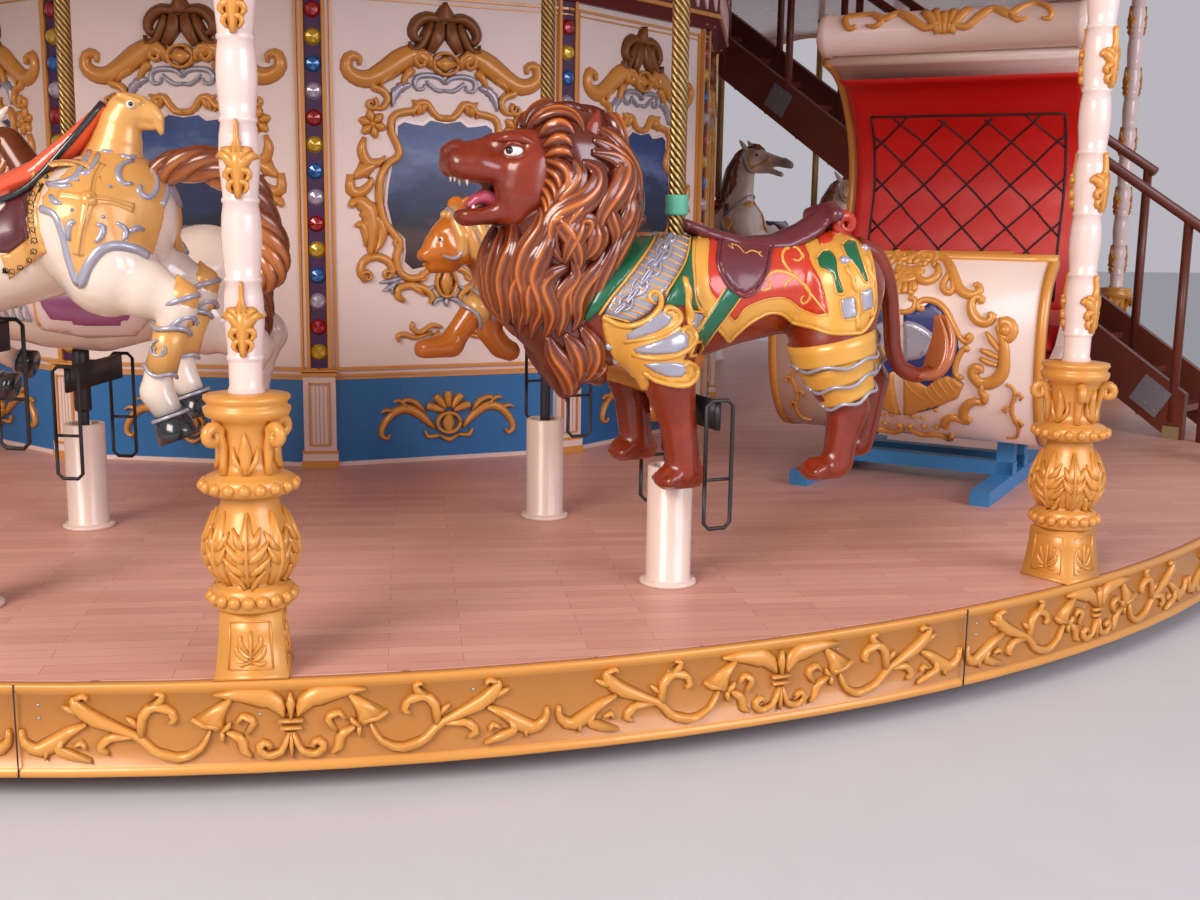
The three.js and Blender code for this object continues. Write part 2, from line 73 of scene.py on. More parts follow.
# Camera, stood where the photograph was taken from
camera = {
    "place": (0.44655, -9.5, deckTop + 1.3168),
    "pitch": 0.176512, "yaw": -0.142459, "roll": 0.0150021,
    "lens": 40.489, "sensor": 36.0,
    "middle": (600, 450), "focalPixels": 1349.64,
}


def makeCamera(values):
    pitch, yaw, roll = values["pitch"], values["yaw"], values["roll"]
    ahead = Vector((-math.sin(yaw) * math.cos(pitch), math.cos(yaw) * math.cos(pitch), -math.sin(pitch)))
    level = Vector((math.cos(yaw), math.sin(yaw), 0))
    above = level.cross(ahead)
    right = math.cos(roll) * level + math.sin(roll) * above
    up = -math.sin(roll) * level + math.cos(roll) * above
    turn = Matrix((right, up, -ahead)).transposed().to_4x4()
    lens = bpy.data.cameras.new("camera")
    lens.lens = values["lens"]
    lens.sensor_width = values["sensor"]
    lens.sensor_fit = "HORIZONTAL"
    lens.clip_end = 200
    made = bpy.data.objects.new("camera", lens)
    made.matrix_world = Matrix.Translation(values["place"]) @ turn
    bpy.context.scene.collection.objects.link(made)
    bpy.context.scene.camera = made


makeCamera(camera)


# Materials
def toLinear(code, alpha=1.0):
    parts = [int(code[i:i + 2], 16) / 255 for i in (1, 3, 5)]
    return [p / 12.92 if p <= 0.04045 else ((p + 0.055) / 1.055) ** 2.4 for p in parts] + [alpha]


def addNode(tree, kind, settings=None, **inputs):
    node = tree.nodes.new(kind)
    for key, value in (settings or {}).items():
        setattr(node, key, value)
    for key, value in inputs.items():
        numbered = key[0] == "i" and key[1:].isdigit()
        socket = node.inputs[int(key[1:]) if numbered else key.replace("_", " ")]
        if isinstance(value, bpy.types.NodeSocket):
            tree.links.new(value, socket)
        else:
            socket.default_value = value
    return node


def startMaterial(name):
    material = bpy.data.materials.new(name)
    material.use_nodes = True
    tree = material.node_tree
    tree.nodes.clear()
    out = tree.nodes.new("ShaderNodeOutputMaterial")
    shader = tree.nodes.new("ShaderNodeBsdfPrincipled")
    tree.links.new(shader.outputs[0], out.inputs[0])
    return material, tree, shader


def mixColours(tree, factor, first, second, blend="MIX"):
    node = addNode(tree, "ShaderNodeMix", {"data_type": "RGBA", "blend_type": blend})
    for index, value in ((0, factor), (6, first), (7, second)):
        if isinstance(value, bpy.types.NodeSocket):
            tree.links.new(value, node.inputs[index])
        else:
            node.inputs[index].default_value = value
    return node.outputs[2]


def noiseAt(tree, scale, detail=3.0, rough=0.55, stretch=(1, 1, 1)):
    place = addNode(tree, "ShaderNodeTexCoord").outputs["Object"]
    mapped = addNode(tree, "ShaderNodeMapping", None, Vector=place, Scale=stretch)
    return addNode(tree, "ShaderNodeTexNoise", None, Vector=mapped.outputs[0], Scale=scale, Detail=detail,
                   Roughness=rough)


def bumpFrom(tree, shader, height, strength, distance):
    bump = addNode(tree, "ShaderNodeBump", None, Height=height, Strength=strength, Distance=distance)
    tree.links.new(bump.outputs[0], shader.inputs["Normal"])


# Enamel or satin paint: brushed-on coat with faint clouding, painted shade darkening the hollows and a fine
# orange-peel skin
def paintFinish(name, base, shade, rough=0.3, metal=0.0, coat=0.0, peel=0.25, cloud=2.2,
                hollowShade=None, paint=None):
    material, tree, shader = startMaterial(name)
    clouds = noiseAt(tree, cloud, 4)
    if paint:
        own = addNode(tree, "ShaderNodeAttribute", {"attribute_name": paint}).outputs["Color"]
        darker = mixColours(tree, 1.0, own, toLinear(shade), "MULTIPLY")
        colour = mixColours(tree, clouds.outputs[0], own, darker)
    else:
        colour = mixColours(tree, clouds.outputs[0], toLinear(base), toLinear(shade))
    # Hollows, found by the pointiness of the mesh, are coloured darker as painted shade
    if hollowShade:
        shape = addNode(tree, "ShaderNodeNewGeometry").outputs["Pointiness"]
        edge = addNode(tree, "ShaderNodeMapRange", None, Value=shape, From_Min=0.41, From_Max=0.495)
        colour = mixColours(tree, edge.outputs[0], toLinear(hollowShade), colour)
    tree.links.new(colour, shader.inputs["Base Color"])
    skin = noiseAt(tree, 260, 2)
    bumpFrom(tree, shader, skin.outputs[0], peel, 0.0006)
    shine = addNode(tree, "ShaderNodeMapRange", None, Value=noiseAt(tree, 9, 5).outputs[0],
                    To_Min=rough * 0.75, To_Max=rough * 1.35)
    tree.links.new(shine.outputs[0], shader.inputs["Roughness"])
    shader.inputs["Metallic"].default_value = metal
    shader.inputs["Coat Weight"].default_value = coat
    shader.inputs["Coat Roughness"].default_value = 0.12
    return material


# Laminate flooring: strips 70 mm wide and 600 mm long along X, each its own tone, with fine long grain
def laminateFinish(name, light, dark, seam):
    material, tree, shader = startMaterial(name)
    place = addNode(tree, "ShaderNodeTexCoord").outputs["Object"]
    boards = addNode(tree, "ShaderNodeTexBrick", {"offset": 0.37, "offset_frequency": 2}, Vector=place,
                     Color1=toLinear(light), Color2=toLinear(dark), Mortar=toLinear(seam), Scale=1.0)
    boards.inputs["Mortar Size"].default_value = 0.0011
    boards.inputs["Brick Width"].default_value = 0.6
    boards.inputs["Row Height"].default_value = 0.07
    grain = noiseAt(tree, 7, 8, 0.65, (1.2, 26, 1))
    broad = noiseAt(tree, 0.8, 3)
    grained = mixColours(tree, 0.42, boards.outputs[0], grain.outputs[0], "SOFT_LIGHT")
    worn = mixColours(tree, broad.outputs[0], grained, toLinear("#dfae9c"))
    colour = mixColours(tree, 0.35, grained, worn)
    tree.links.new(colour, shader.inputs["Base Color"])
    bumpFrom(tree, shader, boards.outputs["Fac"], -0.25, 0.001)
    shader.inputs["Roughness"].default_value = 0.42
    return material


# The hollow colour of the gold is painted shade in the hollows of its carvings
goldPaint = paintFinish("gold_paint_satin", "#dc9c48", "#c78535", 0.34, 0.1, 0.25, hollowShade="#87491a")
whitePaint = paintFinish("white_gloss_paint", "#ead5cc", "#dec4b9", 0.24, coat=0.4)
creamPaint = paintFinish("cream_enamel", "#ead4c6", "#ddc3b3", 0.3, coat=0.3)
cradleBlue = paintFinish("cradle_blue_paint", "#3d8fca", "#2f77ad", 0.45)
fieldBlue = paintFinish("chariot_field_blue", "#1c2f78", "#16245f", 0.35, coat=0.3)
panelPaint = paintFinish("panel_eggshell_paint", "#efe2da", "#e4d3cb", 0.45)
bluePaint = paintFinish("blue_gloss_paint", "#1b74b4", "#155f98", 0.35, coat=0.2)
purplePaint = paintFinish("purple_gloss_paint", "#4a2350", "#3a1a42", 0.4)
silverPaint = paintFinish("silver_paint", "#b9bac4", "#9a9ba8", 0.32, 0.45)
stairPaint = paintFinish("brown_stair_paint", "#7a3a26", "#5a2416", 0.4, coat=0.2)
blackSteel = paintFinish("black_steel_paint", "#1d1b1c", "#2a2728", 0.4)
platePaint = paintFinish("splice_plate_grey_paint", "#9a9aa2", "#7d7d86", 0.45, 0.4)
roofPaint = paintFinish("roof_red_paint", "#b8392e", "#9c2c22", 0.5)
rubberDark = paintFinish("dark_base_paint", "#29262a", "#1c1a1e", 0.7)
laminate = laminateFinish("deck_laminate", "#dba692", "#cc9280", "#98695a")
redCloth = paintFinish("red_leathercloth", "#d11208", "#b40c06", 0.42, peel=0.5)
# Dark cords of the quilting: the stitching, and the painted shade in its creases
threadAndCreaseShade = paintFinish("quilting_thread_and_crease_shade", "#3a0806", "#220504", 0.6)


# Brass drawn into a fine rope twist: strands wind round the pole by its own turn and height, with painted
# shade in the grooves
def twistFinish(name, light, dark, groove, strands=8, climb=250.0):
    material, tree, shader = startMaterial(name)
    spot = addNode(tree, "ShaderNodeUVMap").outputs[0]
    axes = addNode(tree, "ShaderNodeSeparateXYZ", None, Vector=spot)
    turn = addNode(tree, "ShaderNodeMath", {"operation": "MULTIPLY"}, i0=axes.outputs[0], i1=tau * strands)
    phase = addNode(tree, "ShaderNodeMath", {"operation": "MULTIPLY_ADD"}, i0=axes.outputs[1], i1=climb,
                    i2=turn.outputs[0])
    wave = addNode(tree, "ShaderNodeMath", {"operation": "SINE"}, i0=phase.outputs[0])
    # The grooves of the twist are only a bump, so they are coloured dark towards the groove colour as painted
    # shade
    depth = addNode(tree, "ShaderNodeMapRange", None, Value=wave.outputs[0], From_Min=-1.0, From_Max=0.1)
    worn = mixColours(tree, noiseAt(tree, 6, 4).outputs[0], toLinear(light), toLinear(dark))
    tree.links.new(mixColours(tree, depth.outputs[0], toLinear(groove), worn), shader.inputs["Base Color"])
    bumpFrom(tree, shader, wave.outputs[0], 0.9, 0.003)
    shader.inputs["Roughness"].default_value = 0.32
    shader.inputs["Metallic"].default_value = 0.75
    return material


# The third colour is the painted shade in the grooves
twistedBrass = twistFinish("brass_rope_twist", "#d8b877", "#a98447", "#4f3315")
print("materials made")


# Mesh building
def polar(radius, bearing, z=0.0):
    angle = math.radians(bearing)
    return np.array([radius * math.sin(angle), -radius * math.cos(angle), z])


def fixNormals(shape):
    mesh = bpy.data.meshes.new("shape")
    mesh.from_pydata([tuple(p) for p in shape[0]], [], [list(map(int, f)) for f in shape[1]])
    work = bmesh.new()
    work.from_mesh(mesh)
    bmesh.ops.recalc_face_normals(work, faces=work.faces)
    points = np.array([tuple(v.co) for v in work.verts])
    faces = [[v.index for v in f.verts] for f in work.faces]
    work.free()
    bpy.data.meshes.remove(mesh)
    return points, faces


def newPiece(name, verts, faces, material, body=None, slot=None, smooth=True, replaced=()):
    verts, faces = fixNormals((verts, faces))
    mesh = bpy.data.meshes.new(name)
    mesh.from_pydata([tuple(v) for v in verts], [], [tuple(int(i) for i in f) for f in faces])
    mesh.validate()
    mesh.materials.append(material)
    if smooth:
        mesh.shade_smooth()
    made = bpy.data.objects.new(name, mesh)
    bpy.context.scene.collection.objects.link(made)
    finishPiece(made, body, replaced)
    return made


def finishPiece(made, body, replaced=()):
    if body:
        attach(made, body)
    if replaced:
        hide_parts(*replaced)


# A shape is a pair of arrays, its corners and its faces
def joinShapes(shapes):
    verts, faces, start = [], [], 0
    for points, polygons in shapes:
        verts.append(np.asarray(points, float))
        faces += [[i + start for i in polygon] for polygon in polygons]
        start += len(points)
    return np.concatenate(verts), faces


def mirrorShape(shape, axis=0):
    points, polygons = shape
    flip = np.ones(3)
    flip[axis] = -1
    return points * flip, [polygon[::-1] for polygon in polygons]


def moveShape(shape, *offset):
    return shape[0] + np.array(offset), shape[1]


# Faces of a row of rings, the ends closed
def gridFaces(count, ring):
    faces = [[k * ring + j, k * ring + (j + 1) % ring, (k + 1) * ring + (j + 1) % ring, (k + 1) * ring + j]
             for k in range(count - 1) for j in range(ring)]
    return faces + [list(range(ring))[::-1], [(count - 1) * ring + j for j in range(ring)]]


# Faces of an open sheet of rows
def sheetFaces(rows, ring):
    return [[k * ring + j, k * ring + j + 1, (k + 1) * ring + j + 1, (k + 1) * ring + j]
            for k in range(rows - 1) for j in range(ring - 1)]


# Faces of sections that run round and meet again
def loopFaces(sides, count):
    return [[j * count + k, (j + 1) % sides * count + k, (j + 1) % sides * count + (k + 1) % count,
             j * count + (k + 1) % count] for j in range(sides) for k in range(count)]


def headings(line, least=1e-9):
    ahead = np.gradient(line, axis=0)
    return ahead / (np.linalg.norm(ahead, axis=1)[:, None] + least)


def smoothPath(points, count):
    points = np.asarray(points, float)
    if len(points) == 2:
        along = np.linspace(0, 1, count)[:, None]
        return points[0] * (1 - along) + points[1] * along
    padded = np.vstack([2 * points[0] - points[1], points, 2 * points[-1] - points[-2]])
    out = []
    for value in np.linspace(0, len(points) - 1 - 1e-9, count):
        k, t = int(value), value - int(value)
        a, b, c, d = padded[k:k + 4]
        out.append(0.5 * (2 * b + (c - a) * t + (2 * a - 5 * b + 4 * c - d) * t ** 2
                          + (3 * b - a - 3 * c + d) * t ** 3))
    return np.array(out)


def profileOf(values, count):
    values = np.atleast_1d(np.asarray(values, float))
    return np.interp(np.linspace(0, 1, count), np.linspace(0, 1, len(values)), values)


# Raised stroke along a path drawn in u and v, standing up in w: a scroll, stem or leaf
def stroke(path, width, height, count=10, across=4, ribs=0, lobes=0, sink=0.002):
    line = smoothPath(path, count)
    half = profileOf(width, count) / 2
    rise = profileOf(height, count)
    if lobes:
        half = half * (0.78 + 0.3 * np.abs(np.sin(np.linspace(0, lobes * math.pi, count))))
    ahead = headings(line)
    left = np.stack([-ahead[:, 1], ahead[:, 0]], 1)
    side = np.linspace(-1, 1, across + 1)
    bulge = np.sqrt(np.clip(1 - side ** 2, 0, 1))
    if ribs:
        bulge = bulge * (0.8 + 0.2 * np.cos(side * math.pi * ribs))
    u = line[:, 0:1] + left[:, 0:1] * half[:, None] * side
    v = line[:, 1:2] + left[:, 1:2] * half[:, None] * side
    w = rise[:, None] * bulge - sink * (bulge < 1e-6)
    points = np.stack([u, v, w], 2).reshape(-1, 3)
    ring = across + 1
    faces = [[i * ring + j, (i + 1) * ring + j, (i + 1) * ring + (j + 1) % ring, i * ring + (j + 1) % ring]
             for i in range(count - 1) for j in range(ring)]
    faces.append(list(range(ring)))
    faces.append([(count - 1) * ring + j for j in range(ring)][::-1])
    return points, faces


def spiral(centre, start, end, turns, angle, count=12):
    steps = np.linspace(0, 1, count)
    radius = start + (end - start) * steps
    turn = math.radians(angle) + steps * turns * tau
    return np.stack([centre[0] + radius * np.cos(turn), centre[1] + radius * np.sin(turn)], 1)


# Half-round stud
def stud(centre, radius, rise, sides=8, rings=3, sink=0.002):
    points = [[centre[0], centre[1], rise]]
    for k in range(1, rings + 1):
        tilt = k / rings * math.pi / 2
        for j in range(sides):
            turn = tau * j / sides
            points.append([centre[0] + radius * math.sin(tilt) * math.cos(turn),
                           centre[1] + radius * math.sin(tilt) * math.sin(turn),
                           rise * math.cos(tilt) - (sink if k == rings else 0)])
    faces = [[0, 1 + j, 1 + (j + 1) % sides] for j in range(sides)]
    for k in range(rings - 1):
        for j in range(sides):
            a, b = 1 + k * sides + j, 1 + k * sides + (j + 1) % sides
            faces.append([a, a + sides, b + sides, b])
    faces.append([1 + (rings - 1) * sides + j for j in range(sides)][::-1])
    return np.array(points), faces


def bothSides(shapes):
    return list(shapes) + [mirrorShape(shape) for shape in shapes]


# Flat frame of a relief at a bearing: u runs to the right seen from outside, v up and w outwards
def onPlane(shape, radius, bearing, z):
    points, faces = shape
    angle = math.radians(bearing)
    right = np.array([math.cos(angle), math.sin(angle), 0])
    out = np.array([math.sin(angle), -math.cos(angle), 0])
    base = out * radius + np.array([0, 0, z])
    return base + points[:, 0:1] * right + points[:, 1:2] * np.array([0, 0, 1]) + points[:, 2:3] * out, faces


def onDrum(shape, radius, bearing, z):
    points, faces = shape
    angle = math.radians(bearing) + points[:, 0] / radius
    reach = radius + points[:, 2]
    return np.stack([reach * np.sin(angle), -reach * np.cos(angle), z + points[:, 1]], 1), faces


# Relief wrapped on a turned form whose radius is given by its profile
def onTurned(shape, profile, bearing, scale=None):
    points, faces = shape
    heights = np.array([p[1] for p in profile])
    radii = np.array([p[0] for p in profile])
    radius = np.interp(points[:, 1], heights, radii)
    reference = scale or radii.max()
    angle = math.radians(bearing) + points[:, 0] / reference
    reach = radius + points[:, 2]
    return np.stack([reach * np.sin(angle), -reach * np.cos(angle), points[:, 1]], 1), faces


# Turned form from a profile of radius and height, closed at both ends
def turnedShape(profile, sides=24):
    points = []
    for radius, z in profile:
        for j in range(sides):
            angle = tau * (j + 0.5) / sides
            points.append([radius * math.sin(angle), -radius * math.cos(angle), z])
    return np.array(points), gridFaces(len(profile), sides)


# Band between an inner and outer radius, its section drawn as radius and height, closed round the axis
def bandShape(section, sides):
    points = []
    for j in range(sides):
        angle = tau * j / sides
        points += [[r * math.sin(angle), -r * math.cos(angle), z] for r, z in section]
    return np.array(points), loopFaces(sides, len(section))


def boxShape(low, high):
    (a, b, c), (d, e, f) = low, high
    points = np.array([[a, b, c], [d, b, c], [d, e, c], [a, e, c], [a, b, f], [d, b, f],
                       [d, e, f], [a, e, f]])
    return points, [[3, 2, 1, 0], [4, 5, 6, 7], [0, 1, 5, 4], [1, 2, 6, 5], [2, 3, 7, 6], [3, 0, 4, 7]]


# Round tube along points in space
def tubeShape(path, radius, sides=8, count=None, flat=1.0):
    line = smoothPath(path, count or len(path))
    size = profileOf(radius, len(line))
    ahead = headings(line, 1e-12)
    up = np.array([0, 0, 1.0]) if abs(ahead[0][2]) < 0.9 else np.array([1.0, 0, 0])
    points = []
    for k, spot in enumerate(line):
        up = up - ahead[k] * np.dot(up, ahead[k])
        up /= np.linalg.norm(up) + 1e-12
        across = np.cross(ahead[k], up)
        for j in range(sides):
            turn = tau * j / sides
            points.append(spot + size[k] * (math.cos(turn) * across + math.sin(turn) * flat * up))
    return np.array(points), gridFaces(len(line), sides)


# What stands at equal bearings round the axis is repeated by a node tree
def repeatAround(made, count, step=None, start=0.0):
    tree = bpy.data.node_groups.new("aroundTheAxis", "GeometryNodeTree")
    tree.interface.new_socket("Geometry", in_out="INPUT", socket_type="NodeSocketGeometry")
    copies = tree.interface.new_socket("Copies", in_out="INPUT", socket_type="NodeSocketInt")
    angle = tree.interface.new_socket("Angle between", in_out="INPUT", socket_type="NodeSocketFloat")
    first = tree.interface.new_socket("First angle", in_out="INPUT", socket_type="NodeSocketFloat")
    tree.interface.new_socket("Geometry", in_out="OUTPUT", socket_type="NodeSocketGeometry")
    given = addNode(tree, "NodeGroupInput")
    spots = addNode(tree, "GeometryNodePoints", None, Count=given.outputs["Copies"])
    index = addNode(tree, "GeometryNodeInputIndex")
    turn = addNode(tree, "ShaderNodeMath", {"operation": "MULTIPLY_ADD"}, i0=index.outputs[0],
                   i1=given.outputs["Angle between"], i2=given.outputs["First angle"])
    spin = addNode(tree, "ShaderNodeCombineXYZ", None, Z=turn.outputs[0])
    placed = addNode(tree, "GeometryNodeInstanceOnPoints", None, Points=spots.outputs[0],
                     Instance=given.outputs["Geometry"], Rotation=spin.outputs[0])
    real = addNode(tree, "GeometryNodeRealizeInstances", None, Geometry=placed.outputs[0])
    dressed = addNode(tree, "GeometryNodeSetMaterial", None, Geometry=real.outputs[0],
                      Material=made.data.materials[0])
    out = addNode(tree, "NodeGroupOutput")
    tree.links.new(dressed.outputs[0], out.inputs[0])
    modifier = made.modifiers.new("around", "NODES")
    modifier.node_group = tree
    modifier[copies.identifier] = count
    modifier[angle.identifier] = step or tau / count
    modifier[first.identifier] = math.radians(start)
    return settle(made)


def settle(made):
    graph = bpy.context.evaluated_depsgraph_get()
    result = bpy.data.meshes.new_from_object(made.evaluated_get(graph))
    made.modifiers.clear()
    made.data = result
    return made


def thinOut(made, share):
    fewer = made.modifiers.new("fewer", "DECIMATE")
    fewer.ratio = share
    return settle(made)


def aroundPiece(name, shape, material, count, start=0.0, replaced=(), smooth=True, step=None, thin=1.0):
    made = newPiece(name, shape[0], shape[1], material, smooth=smooth)
    if thin < 1:
        thinOut(made, thin)
    repeatAround(made, count, step, start)
    finishPiece(made, "platform", replaced)
    return made


# Deck boards and guide sleeves
deck = {"edge": 5.758, "thick": 0.06, "sleeve": 0.08, "sleeveHeight": 0.43, "flange": 0.102,
        "boltRing": 0.091, "bore": 0.024, "mouth": 0.058, "mouthDepth": 0.1}
riders = {}
for body in frame["bodies"]:
    if body.endswith("_jumper"):
        points = [v.co for v in frame["nodes"][body[:-7] + "_pole"].data.vertices]
        top = max(p.z for p in points)
        spots = [p for p in points if p.z > top - 0.001]
        x, y = sum(p.x for p in spots) / len(spots), sum(p.y for p in spots) / len(spots)
        low = min(p.z for p in points if math.hypot(p.x - x, p.y - y) > 0.2)
        riders[body[:-7]] = {"x": x, "y": y, "bearing": math.degrees(math.atan2(x, -y)), "top": top,
                             "lift": low - deckTop - 0.242}

deckDisc = bandShape([(0.001, deckTop - deck["thick"]), (deck["edge"], deckTop - deck["thick"]),
                      (deck["edge"], deckTop), (0.001, deckTop)], 120)
newPiece("deck_boards", *deckDisc, laminate, "platform", "deck_laminate", smooth=False, replaced=["deck"])


def sleeveShape():
    inner, outer, flange = deck["bore"], deck["sleeve"], deck["flange"]
    top, low, mouth = deckTop + deck["sleeveHeight"], deckTop, deck["mouth"]
    shelf = top - deck["mouthDepth"]
    section = [(inner, low + 0.001), (flange, low + 0.001), (flange, low + 0.012),
               (flange - 0.003, low + 0.015), (outer + 0.004, low + 0.017), (outer, low + 0.022),
               (outer, top - 0.004), (outer - 0.004, top), (mouth, top), (mouth - 0.002, top - 0.004),
               (mouth - 0.002, shelf), (inner, shelf)]
    bolts = [moveShape(stud((0, 0), 0.006, 0.005, 6, 2), *polar(deck["boltRing"], 60 * k + 20, low + 0.015))
             for k in range(6)]
    return joinShapes([bandShape(section, 28)] + bolts)


sleeves = [moveShape(sleeveShape(), rider["x"], rider["y"], 0) for rider in riders.values()]
newPiece("guide_sleeves", *joinShapes(sleeves), creamPaint, "platform", "white_paint")
print("deck made")

# Rim fascia: moulded band with lips and a scrolling leaf relief, twenty-four panels round
rim = {"low": 0.084, "high": 0.358, "inner": 5.76, "panels": 24, "rise": 0.016, "centre": 1.05, "seam": 23.6}

# Half of the relief, right of the palmette: path, widths, lift, steps along and across, ribs, lobes
rimLines = [
    # wing of the palmette and the bell flower that hangs from it
    ([(0.02, 0.03), (0.05, 0.075), (0.12, 0.092), (0.21, 0.1)], [0.024, 0.07, 0.062, 0.014],
     1.25, 9, 5, 2, 3),
    ([(0.165, 0.085), (0.2, 0.045), (0.226, 0.006)], [0.022, 0.05, 0.104], 1.2, 6, 5, 2, 0),
    ([(0.2, 0.002), (0.245, 0.012), (0.272, 0.03)], [0.026, 0.03, 0.014], 1.1, 5, 3, 0, 0),
    ([(0.19, -0.01), (0.172, 0.004), (0.168, 0.018)], [0.02, 0.02, 0.01], 1.1, 5, 3, 0, 0),
    ([(0.19, -0.01), (0.19, -0.044)], [0.02, 0.022, 0.004], 1.0, 5, 3, 0, 0),
    # S-scroll out to the panel's end
    ([(0.222, -0.004), (0.25, -0.058), (0.308, -0.086), (0.375, -0.066), (0.42, -0.02), (0.475, 0.004),
      (0.545, 0.035), (0.588, 0.075), (0.59, 0.1)],
     [0.014, 0.024, 0.036, 0.036, 0.028, 0.034, 0.056, 0.044, 0.02], 1.1, 16, 4, 0, 0),
    ([(0.592, 0.092), (0.565, 0.102), (0.555, 0.09)], [0.02, 0.024, 0.014], 1.1, 5, 3, 0, 0),
    ([(0.413, -0.02), (0.408, 0.036), (0.378, 0.066), (0.334, 0.058), (0.318, 0.03), (0.334, 0.02)],
     [0.026, 0.036, 0.034, 0.03, 0.026, 0.016], 1.1, 10, 4, 0, 0),
    ([(0.385, 0.062), (0.356, 0.086), (0.352, 0.104), (0.372, 0.106)],
     [0.034, 0.03, 0.022, 0.014], 1.0, 6, 3, 0, 0),
    ([(0.42, 0.01), (0.45, 0.04)], [0.016, 0.026, 0.006], 0.9, 5, 3, 0, 0),
    ([(0.436, -0.02), (0.495, -0.022), (0.526, -0.05), (0.505, -0.068)],
     [0.02, 0.034, 0.03, 0.018], 1.0, 8, 4, 0, 0),
    ([(0.583, 0.05), (0.625, 0.074)], [0.018, 0.028, 0.008], 0.9, 5, 3, 0, 0),
    ([(0.56, 0.02), (0.61, -0.005), (0.655, -0.04), (0.7, -0.058), (0.735, -0.032), (0.738, 0.006)],
     [0.02, 0.04, 0.06, 0.05, 0.03, 0.018], 1.1, 10, 4, 1, 0),
    ([(0.628, -0.024), (0.642, -0.056), (0.604, -0.074), (0.552, -0.09)],
     [0.02, 0.034, 0.042, 0.016], 1.0, 8, 4, 0, 0),
    ([(0.6, -0.046), (0.575, -0.036), (0.566, -0.054)], [0.016, 0.024, 0.014], 1.0, 5, 3, 0, 0),
    ([(0.672, -0.05), (0.676, -0.086)], [0.02, 0.022, 0.004], 0.9, 4, 3, 0, 0),
    # curls under the palmette
    ([(0.006, -0.02), (0.026, -0.074), (0.066, -0.088), (0.091, -0.066), (0.074, -0.046), (0.056, -0.062)],
     [0.016, 0.028, 0.03, 0.026, 0.018], 1.1, 10, 4, 0, 0),
    ([(0.122, -0.02), (0.103, 0.016), (0.132, 0.032), (0.15, 0.014)],
     [0.02, 0.03, 0.026, 0.016], 1.0, 8, 3, 0, 0),
    ([(0.178, -0.012), (0.14, -0.036), (0.132, -0.07), (0.112, -0.086)],
     [0.024, 0.038, 0.034, 0.018], 1.0, 8, 4, 1, 0),
]


def rimRelief():
    rise = rim["rise"]
    halves = [stroke(path, widths, rise * lift, count, across, ribs, lobes)
              for path, widths, lift, count, across, ribs, lobes in rimLines]
    shape = joinShapes(bothSides(halves) + [
        stroke([(0, 0.1), (0, 0.062), (0, 0.02)], [0.008, 0.034, 0.012], rise * 1.3, 7, 4, 1, 0),
        stroke([(-0.034, 0.016), (0.034, 0.016)], [0.014, 0.016, 0.014], rise * 1.3, 5, 3),
        stroke([(-0.03, -0.006), (0.03, -0.006)], [0.014, 0.016, 0.014], rise * 1.2, 5, 3),
        stroke([(0, -0.02), (0, -0.06), (0, -0.096)], [0.012, 0.022, 0.006], rise, 6, 3)])
    return onDrum(shape, rimRadius - 0.012, rim["centre"], (rim["low"] + rim["high"]) / 2)


low, high, outer = rim["low"], rim["high"], rimRadius
rimSection = [(rim["inner"], low), (outer - 0.004, low), (outer, low + 0.005), (outer, low + 0.016),
              (outer - 0.004, low + 0.022), (outer - 0.006, low + 0.026), (outer - 0.013, low + 0.031),
              (outer - 0.013, high - 0.034), (outer - 0.006, high - 0.027), (outer - 0.004, high - 0.022),
              (outer, high - 0.016), (outer, high - 0.005), (outer - 0.004, high), (rim["inner"], high)]
newPiece("rim_band", *bandShape(rimSection, 144), goldPaint, "platform", "gold_paint",
         replaced=["rim_fascia"])
aroundPiece("rim_scrolls", rimRelief(), goldPaint, rim["panels"], thin=0.55)
screws = joinShapes([onDrum(stud((0, v), 0.0055, 0.003, 6, 2), rimRadius - 0.0125, rim["seam"] + 0.6, 0.221)
                     for v in (0.075, 0.036)])
aroundPiece("rim_screws", screws, silverPaint, 60)
seam = boxShape((-0.0015, 0, low), (0.0015, 0.004, high))
seamPoints = np.stack([seam[0][:, 0], seam[0][:, 2] - low, seam[0][:, 1]], 1)
aroundPiece("rim_seams", onDrum((seamPoints, [f[::-1] for f in seam[1]]), rimRadius - 0.002, 0, low),
            rubberDark, 12, start=rim["seam"])
print("rim made")

# Columns: square flared foot, beaded turned pedestal with leaves and volutes,
# turned white shaft with leaf mounts
column = {"pedestal": 0.8, "neck": 0.099, "segment": 0.213, "segments": 10,
          "height": ceilingLow - deckTop - 0.001}


def shaftProfile():
    base = column["pedestal"]
    profile = [(0.05, base), (0.052, base + 0.004), (0.046, base + 0.02),
               (0.047, base + column["neck"] - 0.012)]
    z = base + column["neck"]
    for _ in range(column["segments"]):
        profile += [(0.0475, z - 0.008), (0.0515, z - 0.004), (0.0515, z + 0.004), (0.0475, z + 0.009)]
        step = column["segment"]
        profile += [(0.0505, z + step * 0.22), (0.0545, z + step * 0.42), (0.055, z + step * 0.58),
                    (0.0525, z + step * 0.8)]
        z += step
    top = column["height"]
    profile = [p for p in profile if p[1] < top - 0.03]
    return profile + [(0.05, top - 0.028), (0.062, top - 0.02), (0.07, top - 0.001)]


